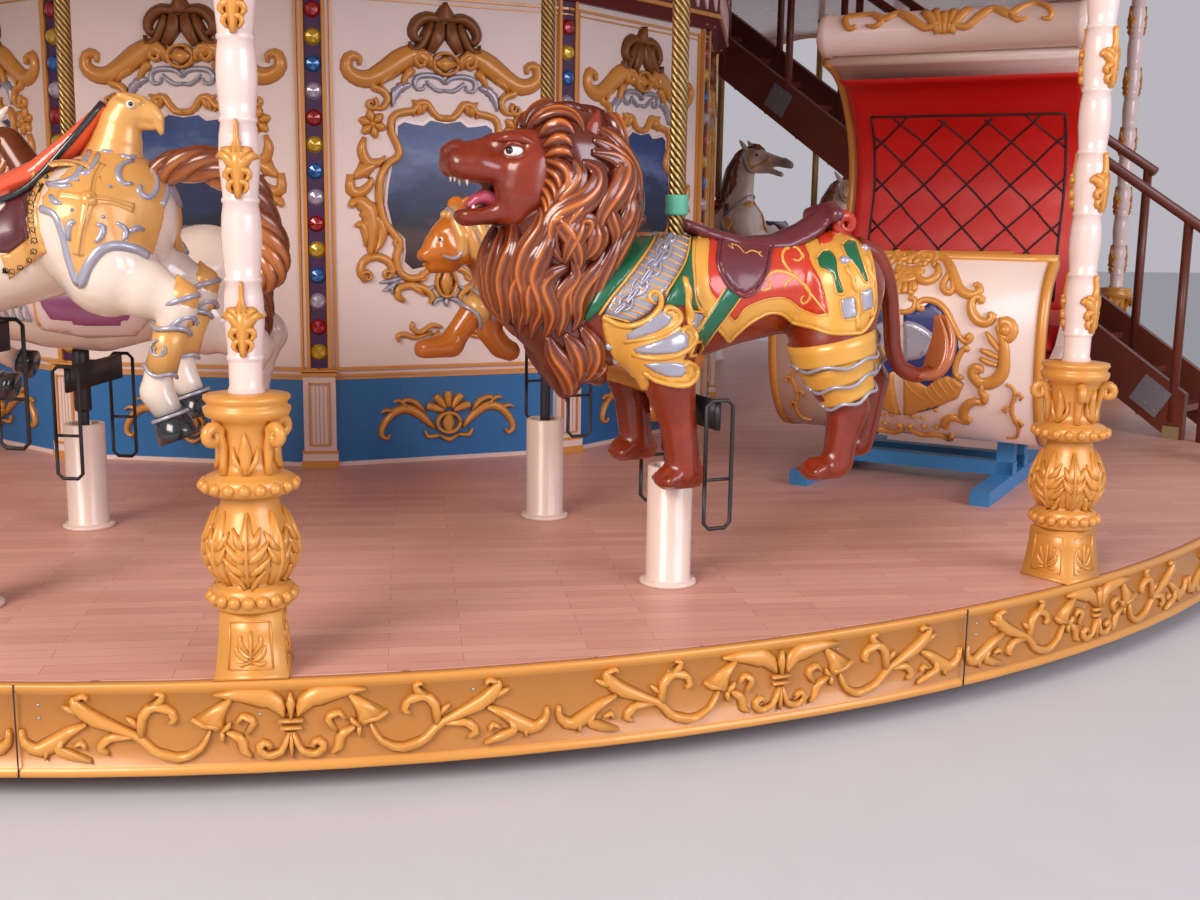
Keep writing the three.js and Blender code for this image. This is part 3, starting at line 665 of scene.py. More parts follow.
def leafMount():
    rise = 0.015
    halves = [
        stroke([(0.0, -0.03), (0.02, 0.0), (0.042, 0.014), (0.054, 0.004)],
               [0.03, 0.044, 0.036, 0.012], rise, 7, 3),
        stroke([(0.0, -0.01), (0.014, 0.018), (0.036, 0.03)], [0.03, 0.04, 0.014], rise, 5, 3),
        stroke([(0.004, -0.026), (0.024, -0.028), (0.031, -0.044), (0.02, -0.054)],
               [0.024, 0.03, 0.026, 0.012], rise, 7, 3),
        stroke([(0.004, -0.056), (0.02, -0.06), (0.025, -0.076), (0.013, -0.086)],
               [0.02, 0.026, 0.022, 0.01], rise, 6, 3),
    ]
    stems = [stroke([(0, -0.1), (0, -0.05), (0, 0.03)], [0.024, 0.044, 0.06], rise * 1.15, 6, 5, 1),
             stroke([(0, 0.02), (0, 0.06), (0, 0.106)], [0.056, 0.026, 0.016, 0.02, 0.008], rise * 1.1, 7, 4)]
    return joinShapes(bothSides(halves) + stems)


def pedestalProfile():
    return [(0.084, 0.188), (0.105, 0.192), (0.112, 0.2), (0.112, 0.25), (0.104, 0.258), (0.082, 0.264),
            (0.088, 0.275), (0.104, 0.295), (0.118, 0.322), (0.124, 0.35), (0.121, 0.385), (0.108, 0.425),
            (0.09, 0.465), (0.08, 0.5), (0.082, 0.515), (0.118, 0.522), (0.126, 0.532), (0.126, 0.56),
            (0.116, 0.57), (0.084, 0.58), (0.078, 0.61), (0.076, 0.66), (0.08, 0.7), (0.094, 0.728),
            (0.116, 0.74), (0.12, 0.752), (0.12, 0.762), (0.11, 0.768), (0.112, 0.778), (0.12, 0.786),
            (0.118, 0.796), (0.06, 0.801)]


def footShape():
    points = []
    levels = [(0.102, 0.0), (0.102, 0.006), (0.098, 0.012), (0.094, 0.05), (0.0885, 0.1), (0.085, 0.15),
              (0.084, 0.186), (0.08, 0.19)]
    for half, z in levels:
        points += [[-half, -half, z], [half, -half, z], [half, half, z], [-half, half, z]]
    return np.array(points), gridFaces(len(levels), 4)


def footRelief():
    rise = 0.008
    placed = [stroke([(-0.062, 0.03), (-0.058, 0.1), (-0.056, 0.165)], 0.008, 0.005, 4, 3),
              stroke([(-0.062, 0.03), (0.062, 0.03)], 0.008, 0.005, 3, 3),
              stroke([(-0.056, 0.165), (0.056, 0.165)], 0.008, 0.005, 3, 3)]
    halves = [
        stroke([(0.004, 0.055), (0.022, 0.06), (0.038, 0.078), (0.04, 0.098)],
               [0.014, 0.022, 0.018, 0.005], rise, 6, 3),
        stroke([(0.004, 0.07), (0.018, 0.086), (0.03, 0.108), (0.026, 0.126)],
               [0.014, 0.02, 0.018, 0.005], rise, 6, 3),
        stroke([(0.006, 0.048), (0.028, 0.042), (0.042, 0.05)], [0.012, 0.018, 0.005], rise, 5, 3),
    ]
    middle = [stroke([(0, 0.045), (0, 0.1), (0, 0.14)], [0.012, 0.017, 0.005], rise * 1.2, 8, 4, 0, 3),
              stud((0, 0.05), 0.01, rise, 6, 2)]
    return joinShapes(bothSides(halves + placed[:1]) + middle + placed[1:])


# The face of the foot leans in, so its relief leans with it
def onFoot(shape, bearing):
    points, faces = shape
    lean = np.interp(points[:, 1], [0.012, 0.05, 0.1, 0.15, 0.186], [0.098, 0.094, 0.0885, 0.085, 0.084])
    angle = math.radians(bearing)
    reach = lean + points[:, 2] - 0.001
    x = reach * math.sin(angle) + points[:, 0] * math.cos(angle)
    y = -reach * math.cos(angle) + points[:, 0] * math.sin(angle)
    return np.stack([x, y, points[:, 1]], 1), faces


def bulbLeaf(tall=True):
    rise = 0.012
    low = 0.268
    lobes = []
    tallSpread = ((0.046, 0.03), (0.06, 0.07), (0.058, 0.112), (0.042, 0.15))
    spread = tallSpread if tall else ((0.036, 0.1), (0.038, 0.14))
    for reach, lift in spread:
        lobes.append(stroke([(0.006, low + lift - 0.034), (reach * 0.55, low + lift - 0.016),
                             (reach, low + lift + 0.02)],
                            [0.026, 0.032, 0.008], rise, 5, 3))
    body = stroke([(0, low), (0, low + 0.1), (0, low + 0.21)], [0.05, 0.075, 0.012], rise * 0.9, 7, 6, 2)
    rib = stroke([(0, low), (0, low + 0.1), (0, low + 0.2)], [0.016, 0.014, 0.006], rise * 1.5, 6, 3)
    return joinShapes(bothSides(lobes) + [body, rib])


def neckRelief():
    rise = 0.014
    leaf = [stroke([(0, 0.585), (0, 0.64), (0, 0.7)], [0.03, 0.05, 0.01], rise, 8, 6, 2, 3)]
    side = [stroke([(0.006, 0.59), (0.03, 0.62), (0.036, 0.66)], [0.016, 0.024, 0.006], rise, 5, 3)]
    return joinShapes(bothSides(side) + leaf)


# Volute on each corner of the neck: a band that rolls forward at its top
def voluteShape(bearing):
    roll = spiral((0.118, 0.69), 0.032, 0.008, -1.3, 200, 16)
    stem = np.array([(0.086, 0.58), (0.083, 0.62), (0.087, 0.66), (0.098, 0.69)])
    line = np.vstack([stem, roll[2:]])
    angle = math.radians(bearing)
    path = [(r * math.sin(angle), -r * math.cos(angle), z) for r, z in line]
    return tubeShape(path, [0.012, 0.017, 0.016, 0.013, 0.008], 8)


def beadRing(radius, z, count, size):
    return [onPlane(stud((0, 0), size, size * 1.1, 8, 3), radius, 360 * k / count, z) for k in range(count)]


profile = pedestalProfile()
goldShapes = [footShape(), turnedShape(profile, 32)]
goldShapes += [onFoot(footRelief(), 90 * k) for k in range(4)]
goldShapes += [onTurned(bulbLeaf(), profile, 90 * k, 0.115) for k in range(4)]
goldShapes += [onTurned(bulbLeaf(False), profile, 90 * k + 45, 0.115) for k in range(4)]
goldShapes += [onTurned(neckRelief(), profile, 90 * k, 0.085) for k in range(4)]
goldShapes += [voluteShape(90 * k + 45) for k in range(4)]
goldShapes += beadRing(0.108, 0.225, 18, 0.021) + beadRing(0.122, 0.545, 18, 0.019)
shaft = shaftProfile()
for k in range(0, column["segments"], 2):
    middle = column["pedestal"] + column["neck"] + column["segment"] * (k + 0.5)
    goldShapes += [onTurned(moveShape(leafMount(), 0, middle, 0), shaft, turn, 0.055) for turn in (0, 180)]
columnPlace = (0, -columnRing, deckTop + 0.0005)
columnNodes = ["column_%02d" % (k + 1) for k in range(12)]
for name, first, count, share in (("near", 0, 2, 0.7), ("middle", 11, 1, 0.7), ("far", 2, 9, 0.14)):
    stoodFor = [columnNodes[(first + k) % 12] for k in range(count)]
    aroundPiece("column_gold_" + name, moveShape(joinShapes(goldShapes), *columnPlace), goldPaint, count,
                start=30 * first, step=tau / 12, thin=share, replaced=stoodFor)
aroundPiece("column_shafts", moveShape(turnedShape(shaft, 14), *columnPlace), whitePaint, 12)
print("columns made")


# Blended forms: tapered chains of joints [x, y, z, radius], melted together on a grid and skinned
def chainDistance(points, joints, flat):
    scaled = points.copy()
    best = None
    joints = np.asarray(joints, np.float32)
    if len(joints) == 1:
        joints = np.vstack([joints, joints + np.array([0.0001, 0, 0, 0])])
    for a, b in zip(joints[:-1], joints[1:]):
        offset = scaled - a[:3]
        offset[..., 1] /= flat
        run = b[:3] - a[:3]
        run = run * np.array([1, 1 / flat, 1])
        t = np.clip((offset @ run) / max(float(run @ run), 1e-9), 0, 1)
        gap = offset - t[..., None] * run
        distance = np.sqrt((gap ** 2).sum(-1)) - (a[3] + (b[3] - a[3]) * t)
        best = distance if best is None else np.minimum(best, distance)
    return best


def limb(joints, blend=0.03, flat=1.0):
    return {"joints": joints, "blend": blend, "flat": flat}


def blobShape(parts, cell, carve=()):
    everything = np.vstack([np.asarray(p["joints"], float) for p in parts])
    reach = everything[:, 3:4] * max(1.0, max(p["flat"] for p in parts))
    low = (everything[:, :3] - reach).min(0) - 3 * cell - 0.01
    high = (everything[:, :3] + reach).max(0) + 3 * cell + 0.01
    counts = np.ceil((high - low) / cell).astype(int) + 1
    field = np.full(counts, 1.0, np.float32)
    jobs = [(p, 1) for p in parts] + [(p, -1) for p in carve]
    for part, sign in jobs:
        joints = np.asarray(part["joints"], float)
        blend, flat = part["blend"], part["flat"]
        margin = joints[:, 3:4] * max(1.0, flat) + blend + 2 * cell
        start = np.maximum(((joints[:, :3] - margin).min(0) - low) // cell, 0).astype(int)
        stop = np.minimum(((joints[:, :3] + margin).max(0) - low) // cell + 2, counts).astype(int)
        axes = [low[i] + cell * np.arange(start[i], stop[i], dtype=np.float32) for i in range(3)]
        points = np.stack(np.meshgrid(*axes, indexing="ij"), -1).astype(np.float32)
        near = chainDistance(points, joints, flat)
        cut = tuple(slice(a, b) for a, b in zip(start, stop))
        before = field[cut]
        if sign > 0:
            mix = np.clip(0.5 + 0.5 * (before - near) / blend, 0, 1)
            field[cut] = before * (1 - mix) + near * mix - blend * mix * (1 - mix)
        else:
            mix = np.clip(0.5 - 0.5 * (before + near) / blend, 0, 1)
            field[cut] = before * (1 - mix) - near * mix + blend * mix * (1 - mix)
    return skinField(field, low, cell)


def skinField(field, low, cell):
    cells = np.array(field.shape) - 1
    total = np.zeros(tuple(cells) + (3,), np.float32)
    crossings = np.zeros(tuple(cells), np.int16)
    for axis in range(3):
        unit = np.eye(3, dtype=int)[axis]
        others = [i for i in range(3) if i != axis]
        for first in (0, 1):
            for second in (0, 1):
                offset = np.zeros(3, int)
                offset[others[0]], offset[others[1]] = first, second
                a = field[tuple(slice(o, o + n) for o, n in zip(offset, cells))]
                b = field[tuple(slice(o, o + n) for o, n in zip(offset + unit, cells))]
                crossed = (a < 0) != (b < 0)
                step = np.where(crossed, a / np.where(a == b, 1, a - b), 0)
                for i in range(3):
                    total[..., i] += crossed * (offset[i] + step * unit[i])
                crossings += crossed
    active = crossings > 0
    index = np.full(active.shape, -1, np.int64)
    index[active] = np.arange(active.sum())
    spots = np.argwhere(active)
    points = low + cell * (spots + total[active] / crossings[active][:, None])
    inside = field < 0
    faces = []
    for axis in range(3):
        j, k = (axis + 1) % 3, (axis + 2) % 3
        a = np.moveaxis(inside, (axis, j, k), (0, 1, 2))
        at = np.moveaxis(index, (axis, j, k), (0, 1, 2))
        edge = a[:-1, 1:-1, 1:-1] != a[1:, 1:-1, 1:-1]
        i0, j0, k0 = np.nonzero(edge)
        j0, k0 = j0 + 1, k0 + 1
        quads = np.stack([at[i0, j0 - 1, k0 - 1], at[i0, j0, k0 - 1], at[i0, j0, k0], at[i0, j0 - 1, k0]], 1)
        backward = ~a[i0, j0, k0]
        quads[backward] = quads[backward][:, ::-1]
        faces += quads.tolist()
    return points, faces


def mirrorParts(parts):
    return parts + [dict(p, joints=[[x, -y, z, r] for x, y, z, r in p["joints"]]) for p in parts]


def treeOf(shape):
    return BVHTree.FromPolygons([Vector(p) for p in shape[0]], [list(map(int, f)) for f in shape[1]])


# A lock is a ribbed ribbon laid along a line, its cross-section given by the bulge
def layLock(line, normals, size, bulge, width, rise, sink):
    aside = np.cross(normals, headings(line))
    side = np.linspace(-1, 1, len(bulge))
    points = (line[:, None] + aside[:, None] * (side[None, :, None] * width / 2 * size[:, None, None])
              + normals[:, None] * (bulge[None, :, None] * rise * size[:, None, None]
                                    - sink * (bulge[None, :, None] < 0.3)))
    return points.reshape(-1, 3), [f[::-1] for f in gridFaces(len(line), len(bulge))]


# Lock of hair traced over a skin along a flow that waves from side to side
def lockShape(skin, seed, flow, steps, step, width, rise, wave, phase, ribs=2, across=6, sink=0.012):
    spot, normal, _, _ = skin.find_nearest(Vector(seed))
    line, normals = [], []
    for k in range(steps):
        line.append(np.array(spot))
        normals.append(np.array(normal))
        ahead = Vector(flow(np.array(spot)))
        ahead = (ahead - normal * ahead.dot(normal)).normalized()
        aside = normal.cross(ahead)
        swing = wave * math.sin(phase + k / steps * tau * 1.1)
        ahead = (ahead + aside * swing).normalized()
        found = skin.find_nearest(spot + ahead * step)
        spot, normal = found[0], (normal * 0.5 + found[1] * 0.5).normalized()
    line, normals = np.array(line), np.array(normals)
    size = np.sin(np.linspace(0.12, 1, steps) ** 0.75 * math.pi) * 0.9 + 0.1
    size[-1] = 0.06
    side = np.linspace(-1, 1, across + 1)
    bulge = np.sqrt(np.clip(1 - side ** 2, 0, 1)) * (0.86 + 0.14 * np.cos(side * math.pi * ribs))
    # Shade of the lock: lighter on its crest as painted highlight, darker at its edges as painted shade, and
    # darker towards its root
    shade = np.repeat(bulge[None, :], steps, 0) * np.linspace(0.55, 1.0, steps)[:, None]
    return layLock(line, normals, size, bulge, width, rise, sink), shade.reshape(-1)


# Colours carried by the corners of a mesh
def tint(made, colours):
    layer = made.data.color_attributes.new("tint", "FLOAT_COLOR", "POINT")
    layer.data.foreach_set("color", np.asarray(colours, np.float32).ravel())


def between(first, second, amount):
    a, b = np.array(toLinear(first)), np.array(toLinear(second))
    amount = np.asarray(amount)[:, None]
    return a * (1 - amount) + b * amount


# What the photograph shows on a form's near side is set out in picture points
# and thrown from the camera on the form
def pictureRay(px, py):
    (middleX, middleY), focal = camera["middle"], camera["focalPixels"]
    u, v = (px - middleX) / focal, (middleY - py) / focal
    turn = bpy.context.scene.camera.matrix_world.to_3x3()
    return turn @ Vector((u, v, -1))


def fromPicture(points, grid):
    left, top, scale = grid
    return [(left + u / scale, top + v / scale) for u, v in points]


# Part frame of a rider: x forward, y away from the drum, z up from the deck when it stands lowest
def riderFrame(name, lifted=True):
    rider = riders.get(name) or carriages[name]
    height = deckTop + (rider["lift"] if lifted else 0.0)
    return (Matrix.Translation((rider["x"], rider["y"], height))
            @ Matrix.Rotation(math.radians(rider["bearing"]) + math.pi, 4, "Z"))


def castOn(skin, frameMatrix, px, py):
    inverse = frameMatrix.inverted()
    origin = inverse @ Vector(camera["place"])
    ahead = (inverse.to_3x3() @ pictureRay(px, py)).normalized()
    return skin.ray_cast(origin, ahead), origin, ahead


def outlineGrid(outline, pitch):
    outline = np.asarray(outline, float)
    edge = []
    for a, b in zip(outline, np.roll(outline, -1, 0)):
        parts = max(1, int(np.linalg.norm(b - a) / pitch))
        edge += [a + (b - a) * k / parts for k in range(parts)]
    edge = np.array(edge)
    low, high = edge.min(0), edge.max(0)
    xs, ys = np.arange(low[0], high[0], pitch), np.arange(low[1], high[1], pitch * 0.87)
    inner = []
    for j, y in enumerate(ys):
        for x in xs + (pitch / 2 if j % 2 else 0):
            d = np.linalg.norm(edge - (x, y), axis=1).min()
            if d > pitch * 0.6 and insideOf(outline, x, y):
                inner.append((x, y, d))
    points = [Vector(p) for p in edge] + [Vector(p[:2]) for p in inner]
    loop = list(range(len(edge)))
    result = delaunay_2d_cdt(points, [(i, (i + 1) % len(edge)) for i in loop], [], 1, 1e-6)
    flat = np.array([tuple(p) for p in result[0]])
    depth = np.array([np.linalg.norm(edge - p, axis=1).min() for p in flat])
    return flat, [list(f) for f in result[2]], depth


def insideOf(outline, x, y):
    hit = False
    for (x1, y1), (x2, y2) in zip(outline, np.roll(outline, -1, 0)):
        if (y1 > y) != (y2 > y) and x < (x2 - x1) * (y - y1) / (y2 - y1) + x1:
            hit = not hit
    return hit


# Moulded plate on a form: a closed skin of even thickness with a rounded edge
def plateShape(skin, frameMatrix, outline, rise, pitch=2.6, round=2.0, sink=0.008, base=0.001):
    flat, faces, depth = outlineGrid(outline, pitch)
    points, normals, kept = [], [], []
    for px, py in flat:
        (spot, normal, _, _), origin, ahead = castOn(skin, frameMatrix, px, py)
        kept.append(spot is not None)
        if spot is None:
            spot, normal, _, _ = skin.find_nearest(origin + ahead * (Vector((0, 0, 1)) - origin).dot(ahead))
        if normal.dot(ahead) > 0:
            normal = -normal
        points.append(tuple(spot))
        normals.append(tuple(normal))
    points, normals = np.array(points), np.array(normals)
    lift = base + (rise - base) * np.sqrt(np.clip(1 - (1 - np.clip(depth / round, 0, 1)) ** 2, 0, 1))
    top = points + normals * lift[:, None]
    under = points - normals * sink
    return closeShell(top, under, faces)


def closeShell(top, under, faces):
    count = len(top)
    edges = {}
    for face in faces:
        for a, b in zip(face, face[1:] + face[:1]):
            edges[(a, b)] = True
    rim = [(a, b) for a, b in edges if (b, a) not in edges]
    made = [f[::-1] for f in faces] + [[i + count for i in f] for f in faces]
    made += [[a, b, b + count, a + count] for a, b in rim]
    return np.vstack([top, under]), made


# Raised line or rope on a form, drawn in picture points
def lineOn(skin, frameMatrix, path, width, rise, count=None, sides=6, closed=False, twist=None):
    path = list(path) + ([path[0]] if closed else [])
    length = sum(math.dist(a, b) for a, b in zip(path, path[1:]))
    count = count or max(4, int(length / 3.4))
    line = smoothPath(path, count)
    size = profileOf(width, count) / 2
    high = profileOf(rise, count)
    spots, normals = [], []
    for px, py in line:
        (spot, normal, _, _), _, ahead = castOn(skin, frameMatrix, px, py)
        if spot is None:
            continue
        if normal.dot(ahead) > 0:
            normal = -normal
        spots.append(np.array(spot))
        normals.append(np.array(normal))
    if len(spots) < 3:
        return None
    spots, normals = np.array(spots), np.array(normals)
    size, high = size[:len(spots)], high[:len(spots)]
    aside = np.cross(normals, headings(spots))
    points = []
    for k in range(len(spots)):
        for j in range(sides):
            turn = tau * j / sides
            swell = 1.0 if twist is None else 1 + 0.25 * math.cos(turn * 2 + k * twist)
            points.append(spots[k] + aside[k] * size[k] * swell * math.cos(turn)
                          + normals[k] * high[k] * swell * (math.sin(turn) * 0.8 + 0.1))
    return np.array(points), [f[::-1] for f in gridFaces(len(spots), sides)]


def studOn(skin, frameMatrix, px, py, radius, rise, sides=12):
    (spot, normal, _, _), _, ahead = castOn(skin, frameMatrix, px, py)
    if spot is None:
        return None
    if normal.dot(ahead) > 0:
        normal = -normal
    points, faces = stud((0, 0), radius, rise, sides, 3, 0.006)
    turn = normal.to_track_quat("Z", "Y").to_matrix()
    return np.array([tuple(spot + turn @ Vector(p)) for p in points]), faces


# A piece is made in the frame of its first owner and set again, thinned, on the others like it
def riderPiece(name, shape, material, owners, slot, colours=None, both=True, thin=1.0, replaced="", pad=None,
               smooth=True):
    shapes = [fixNormals(s) for s in shape if s is not None]
    if both:
        shapes += [mirrorShape(s, 1) for s in shapes]
    first = newPiece("%s_%s" % (owners[0], name), *joinShapes(shapes), material, smooth=smooth)
    if colours is not None:
        tint(first, np.vstack([colours, colours]) if both else colours)
    pieces = [first]
    for owner in owners[1:]:
        made = bpy.data.objects.new("%s_%s" % (owner, name), first.data.copy())
        bpy.context.scene.collection.objects.link(made)
        if thin < 1:
            thinOut(made, thin)
        pieces.append(made)
    for owner, made in zip(owners, pieces):
        made.data.transform(riderFrame(owner))
        finishPiece(made, owner + "_jumper" if owner in riders else "platform", [owner + replaced])


# Enamels of the riding animals
# The hollow colours of the lion red, tack gold, tack silver and plum saddle are painted shade in their
# hollows
lionEnamel = paintFinish("lion_red_enamel", "#963210", "#5c1a07", 0.26, coat=0.35, hollowShade="#3a1003", cloud=9)
maneEnamel = paintFinish("mane_enamel", "#b4561a", "#d8b08a", 0.22, coat=0.6, paint="tint", cloud=6)
tackGold = paintFinish("tack_gold_enamel", "#e6ae4e", "#d29534", 0.3, 0.1, coat=0.4, hollowShade="#a5661f")
tackSilver = paintFinish("tack_silver_enamel", "#b4b3be", "#9b9aa8", 0.25, 0.3, coat=0.4, hollowShade="#6b6a80")
tackGreen = paintFinish("tack_green_enamel", "#0d6a45", "#0a5638", 0.25, coat=0.5)
tackRed = paintFinish("tack_red_enamel", "#c93714", "#b52a0c", 0.25, coat=0.5)
saddlePlum = paintFinish("saddle_plum_enamel", "#6b2b33", "#5a2029", 0.3, coat=0.4, hollowShade="#32101a")
eyeWhite = paintFinish("eye_white_enamel", "#f6f1ea", "#ebe4da", 0.15, coat=0.8)
eyeDark = paintFinish("eye_dark_enamel", "#15100e", "#231612", 0.12, coat=0.8)
tonguePink = paintFinish("tongue_pink_enamel", "#c25468", "#a8415a", 0.3, coat=0.4)
mintCollar = paintFinish("pole_collar_green", "#5fb394", "#4f9f82", 0.45)

frontGrid = (430, 90, 3.824)
rearGrid = (560, 180, 3.92)

# Lion: joints in metres in its own frame
lion = {
    "cell": 0.015,
    "torso": [[0.22, 0, 1.0, 0.2], [0.08, 0, 1.02, 0.205], [-0.08, 0, 1.02, 0.205], [-0.25, 0, 1.035, 0.178],
              [-0.42, 0, 1.055, 0.168], [-0.6, 0, 1.06, 0.165]],
    "rump": [[-0.62, 0.05, 1.07, 0.165]],
    "shoulder": [[0.14, 0.09, 1.0, 0.16], [0.12, 0.13, 0.88, 0.12]],
    "chest": [[0.3, 0, 0.98, 0.17], [0.33, 0, 0.9, 0.12]],
    "foreNear": [[0.12, 0.14, 0.86, 0.12], [0.095, 0.16, 0.76, 0.092], [0.06, 0.165, 0.615, 0.064],
                 [0.042, 0.17, 0.5, 0.06], [0.035, 0.17, 0.45, 0.058]],
    "hindNear": [[-0.6, 0.1, 1.05, 0.165], [-0.56, 0.125, 0.86, 0.145], [-0.6, 0.13, 0.72, 0.1],
                 [-0.645, 0.14, 0.63, 0.076], [-0.62, 0.14, 0.53, 0.06], [-0.605, 0.14, 0.44, 0.055]],
    "hindFar": [[-0.62, -0.1, 1.05, 0.165], [-0.7, -0.13, 0.88, 0.13], [-0.87, -0.14, 0.75, 0.084],
                [-0.935, -0.14, 0.68, 0.068], [-0.915, -0.14, 0.55, 0.057], [-0.9, -0.14, 0.47, 0.053]],
    "thighs": [[[-0.562, 0.125, 0.88, 0.152], [-0.578, 0.13, 0.81, 0.135], [-0.604, 0.133, 0.745, 0.11],
                [-0.634, 0.138, 0.68, 0.088]],
               [[-0.7, -0.13, 0.9, 0.142], [-0.77, -0.134, 0.855, 0.122], [-0.84, -0.138, 0.8, 0.1],
                [-0.89, -0.14, 0.745, 0.08]]],
    "tail": [[-0.74, 0, 1.2], [-0.83, 0, 1.16], [-0.885, 0, 1.06], [-0.91, 0, 0.93], [-0.925, 0, 0.82],
             [-0.965, 0, 0.745], [-1.04, 0, 0.712], [-1.1, 0, 0.73]],
    "eye": [0.63, 0.083, 1.494],
}


def moved(joints, dx=0.0, dy=0.0, dz=0.0, side=1):
    return [[x + dx, (y + dy) * side, z + dz, r] for x, y, z, r in joints]


def pawParts(x, y, z, size=1.0):
    parts = [limb([[x - 0.035, y, z, 0.046 * size], [x + 0.06, y, z - 0.004, 0.044 * size]], 0.02)]
    for k in range(4):
        across = (k - 1.5) * 0.027 * size
        reach = 0.085 - abs(k - 1.5) * 0.008
        parts.append(limb([[x + reach - 0.03, y + across, z + 0.006, 0.022 * size],
                           [x + reach + 0.004, y + across * 1.15, z - 0.012, 0.021 * size]], 0.008))
    return parts


def lionBody():
    v = lion
    parts = [limb(v["torso"], 0.06, 0.88)]
    parts += mirrorParts([limb(v["rump"], 0.06), limb(v["shoulder"], 0.06)])
    parts += [limb(v["chest"], 0.06)]
    parts += [limb(v["foreNear"], 0.03),
              limb(moved(v["foreNear"], 0.02, 0, 0.045, -1), 0.03),
              limb(v["hindNear"], 0.03), limb(v["hindFar"], 0.03)]
    parts += pawParts(0.035, 0.17, 0.425) + pawParts(0.055, -0.17, 0.468)
    parts += pawParts(-0.565, 0.14, 0.412) + pawParts(-0.86, -0.14, 0.43)
    parts += [limb([[-0.62, 0.14, 0.44, 0.045]], 0.02)]
    # head: cheeks, brow, muzzle with its lip pads, and jaws
    parts += mirrorParts([
        limb([[0.54, 0.05, 1.45, 0.092], [0.56, 0.055, 1.36, 0.088]], 0.04),
        limb([[0.6, 0.058, 1.43, 0.07], [0.618, 0.06, 1.37, 0.062], [0.6, 0.056, 1.3, 0.055]], 0.03),
        limb([[0.53, 0.07, 1.528, 0.036], [0.6, 0.066, 1.53, 0.034], [0.66, 0.046, 1.527, 0.026]], 0.014),
        limb([[0.787, 0.034, 1.45, 0.047], [0.73, 0.048, 1.448, 0.054], [0.67, 0.06, 1.435, 0.044]], 0.016),
        limb([[0.6, 0.05, 1.33, 0.04], [0.65, 0.05, 1.305, 0.034], [0.71, 0.036, 1.292, 0.028],
              [0.762, 0.018, 1.291, 0.031]], 0.02),
        limb([[0.6, 0.07, 1.462, 0.032], [0.655, 0.066, 1.45, 0.024]], 0.02),
        limb([[0.64, 0.03, 1.53, 0.022], [0.73, 0.02, 1.515, 0.012]], 0.012),
        limb([[0.806, 0.022, 1.497, 0.02], [0.79, 0.034, 1.488, 0.016]], 0.008),
    ])
    parts += [limb([[0.44, 0, 1.48, 0.12]], 0.05),
              limb([[0.5, 0, 1.5, 0.075], [0.58, 0, 1.495, 0.07], [0.64, 0, 1.49, 0.055]], 0.03, 1.25),
              limb([[0.6, 0, 1.47, 0.07], [0.7, 0, 1.468, 0.062], [0.765, 0, 1.466, 0.055]], 0.02),
              limb([[0.785, 0, 1.497, 0.034], [0.806, 0, 1.48, 0.036]], 0.012, 1.6),
              limb([[0.62, 0, 1.295, 0.035], [0.75, 0, 1.288, 0.027]], 0.02)]
    carve = [limb([[0.705, 0, 1.352, 0.036], [0.76, 0, 1.357, 0.045], [0.86, 0, 1.36, 0.055]], 0.01, 2.2),
             limb([[0.62, 0, 1.35, 0.025], [0.7, 0, 1.352, 0.036]], 0.01, 0.95)]
    carve += mirrorParts([limb([[0.83, 0.026, 1.488, 0.011], [0.808, 0.042, 1.496, 0.009]], 0.006),
                          limb([[0.632, 0.094, 1.494, 0.021], [0.606, 0.1, 1.494, 0.016]], 0.01),
                          limb([[0.69, 0.1, 1.475, 0.006], [0.664, 0.112, 1.42, 0.006]], 0.012)])
    return blobShape(parts, v["cell"], carve)


def lionMane():
    parts = [limb([[0.5, 0, 1.545, 0.07], [0.44, 0, 1.51, 0.14], [0.36, 0, 1.48, 0.16],
                   [0.325, 0, 1.34, 0.185],
                   [0.366, 0, 1.21, 0.172], [0.44, 0, 1.08, 0.14], [0.47, 0, 0.98, 0.09]], flat=1.02),
             limb([[0.51, 0, 1.24, 0.13], [0.53, 0, 1.15, 0.14], [0.54, 0, 1.06, 0.125],
                   [0.52, 0, 0.96, 0.085]], flat=1.2),
             limb([[0.42, 0, 0.92, 0.1], [0.44, 0, 0.82, 0.07], [0.41, 0, 0.71, 0.03]], flat=1.2)]
    parts += mirrorParts([limb([[0.36, 0.05, 0.86, 0.07], [0.31, 0.06, 0.76, 0.035]]),
                          limb([[0.44, 0.1, 1.5, 0.075], [0.43, 0.11, 1.4, 0.08], [0.45, 0.11, 1.3, 0.08],
                                [0.5, 0.1, 1.2, 0.075]])])
    return blobShape([dict(p, blend=0.08) for p in parts], 0.02)


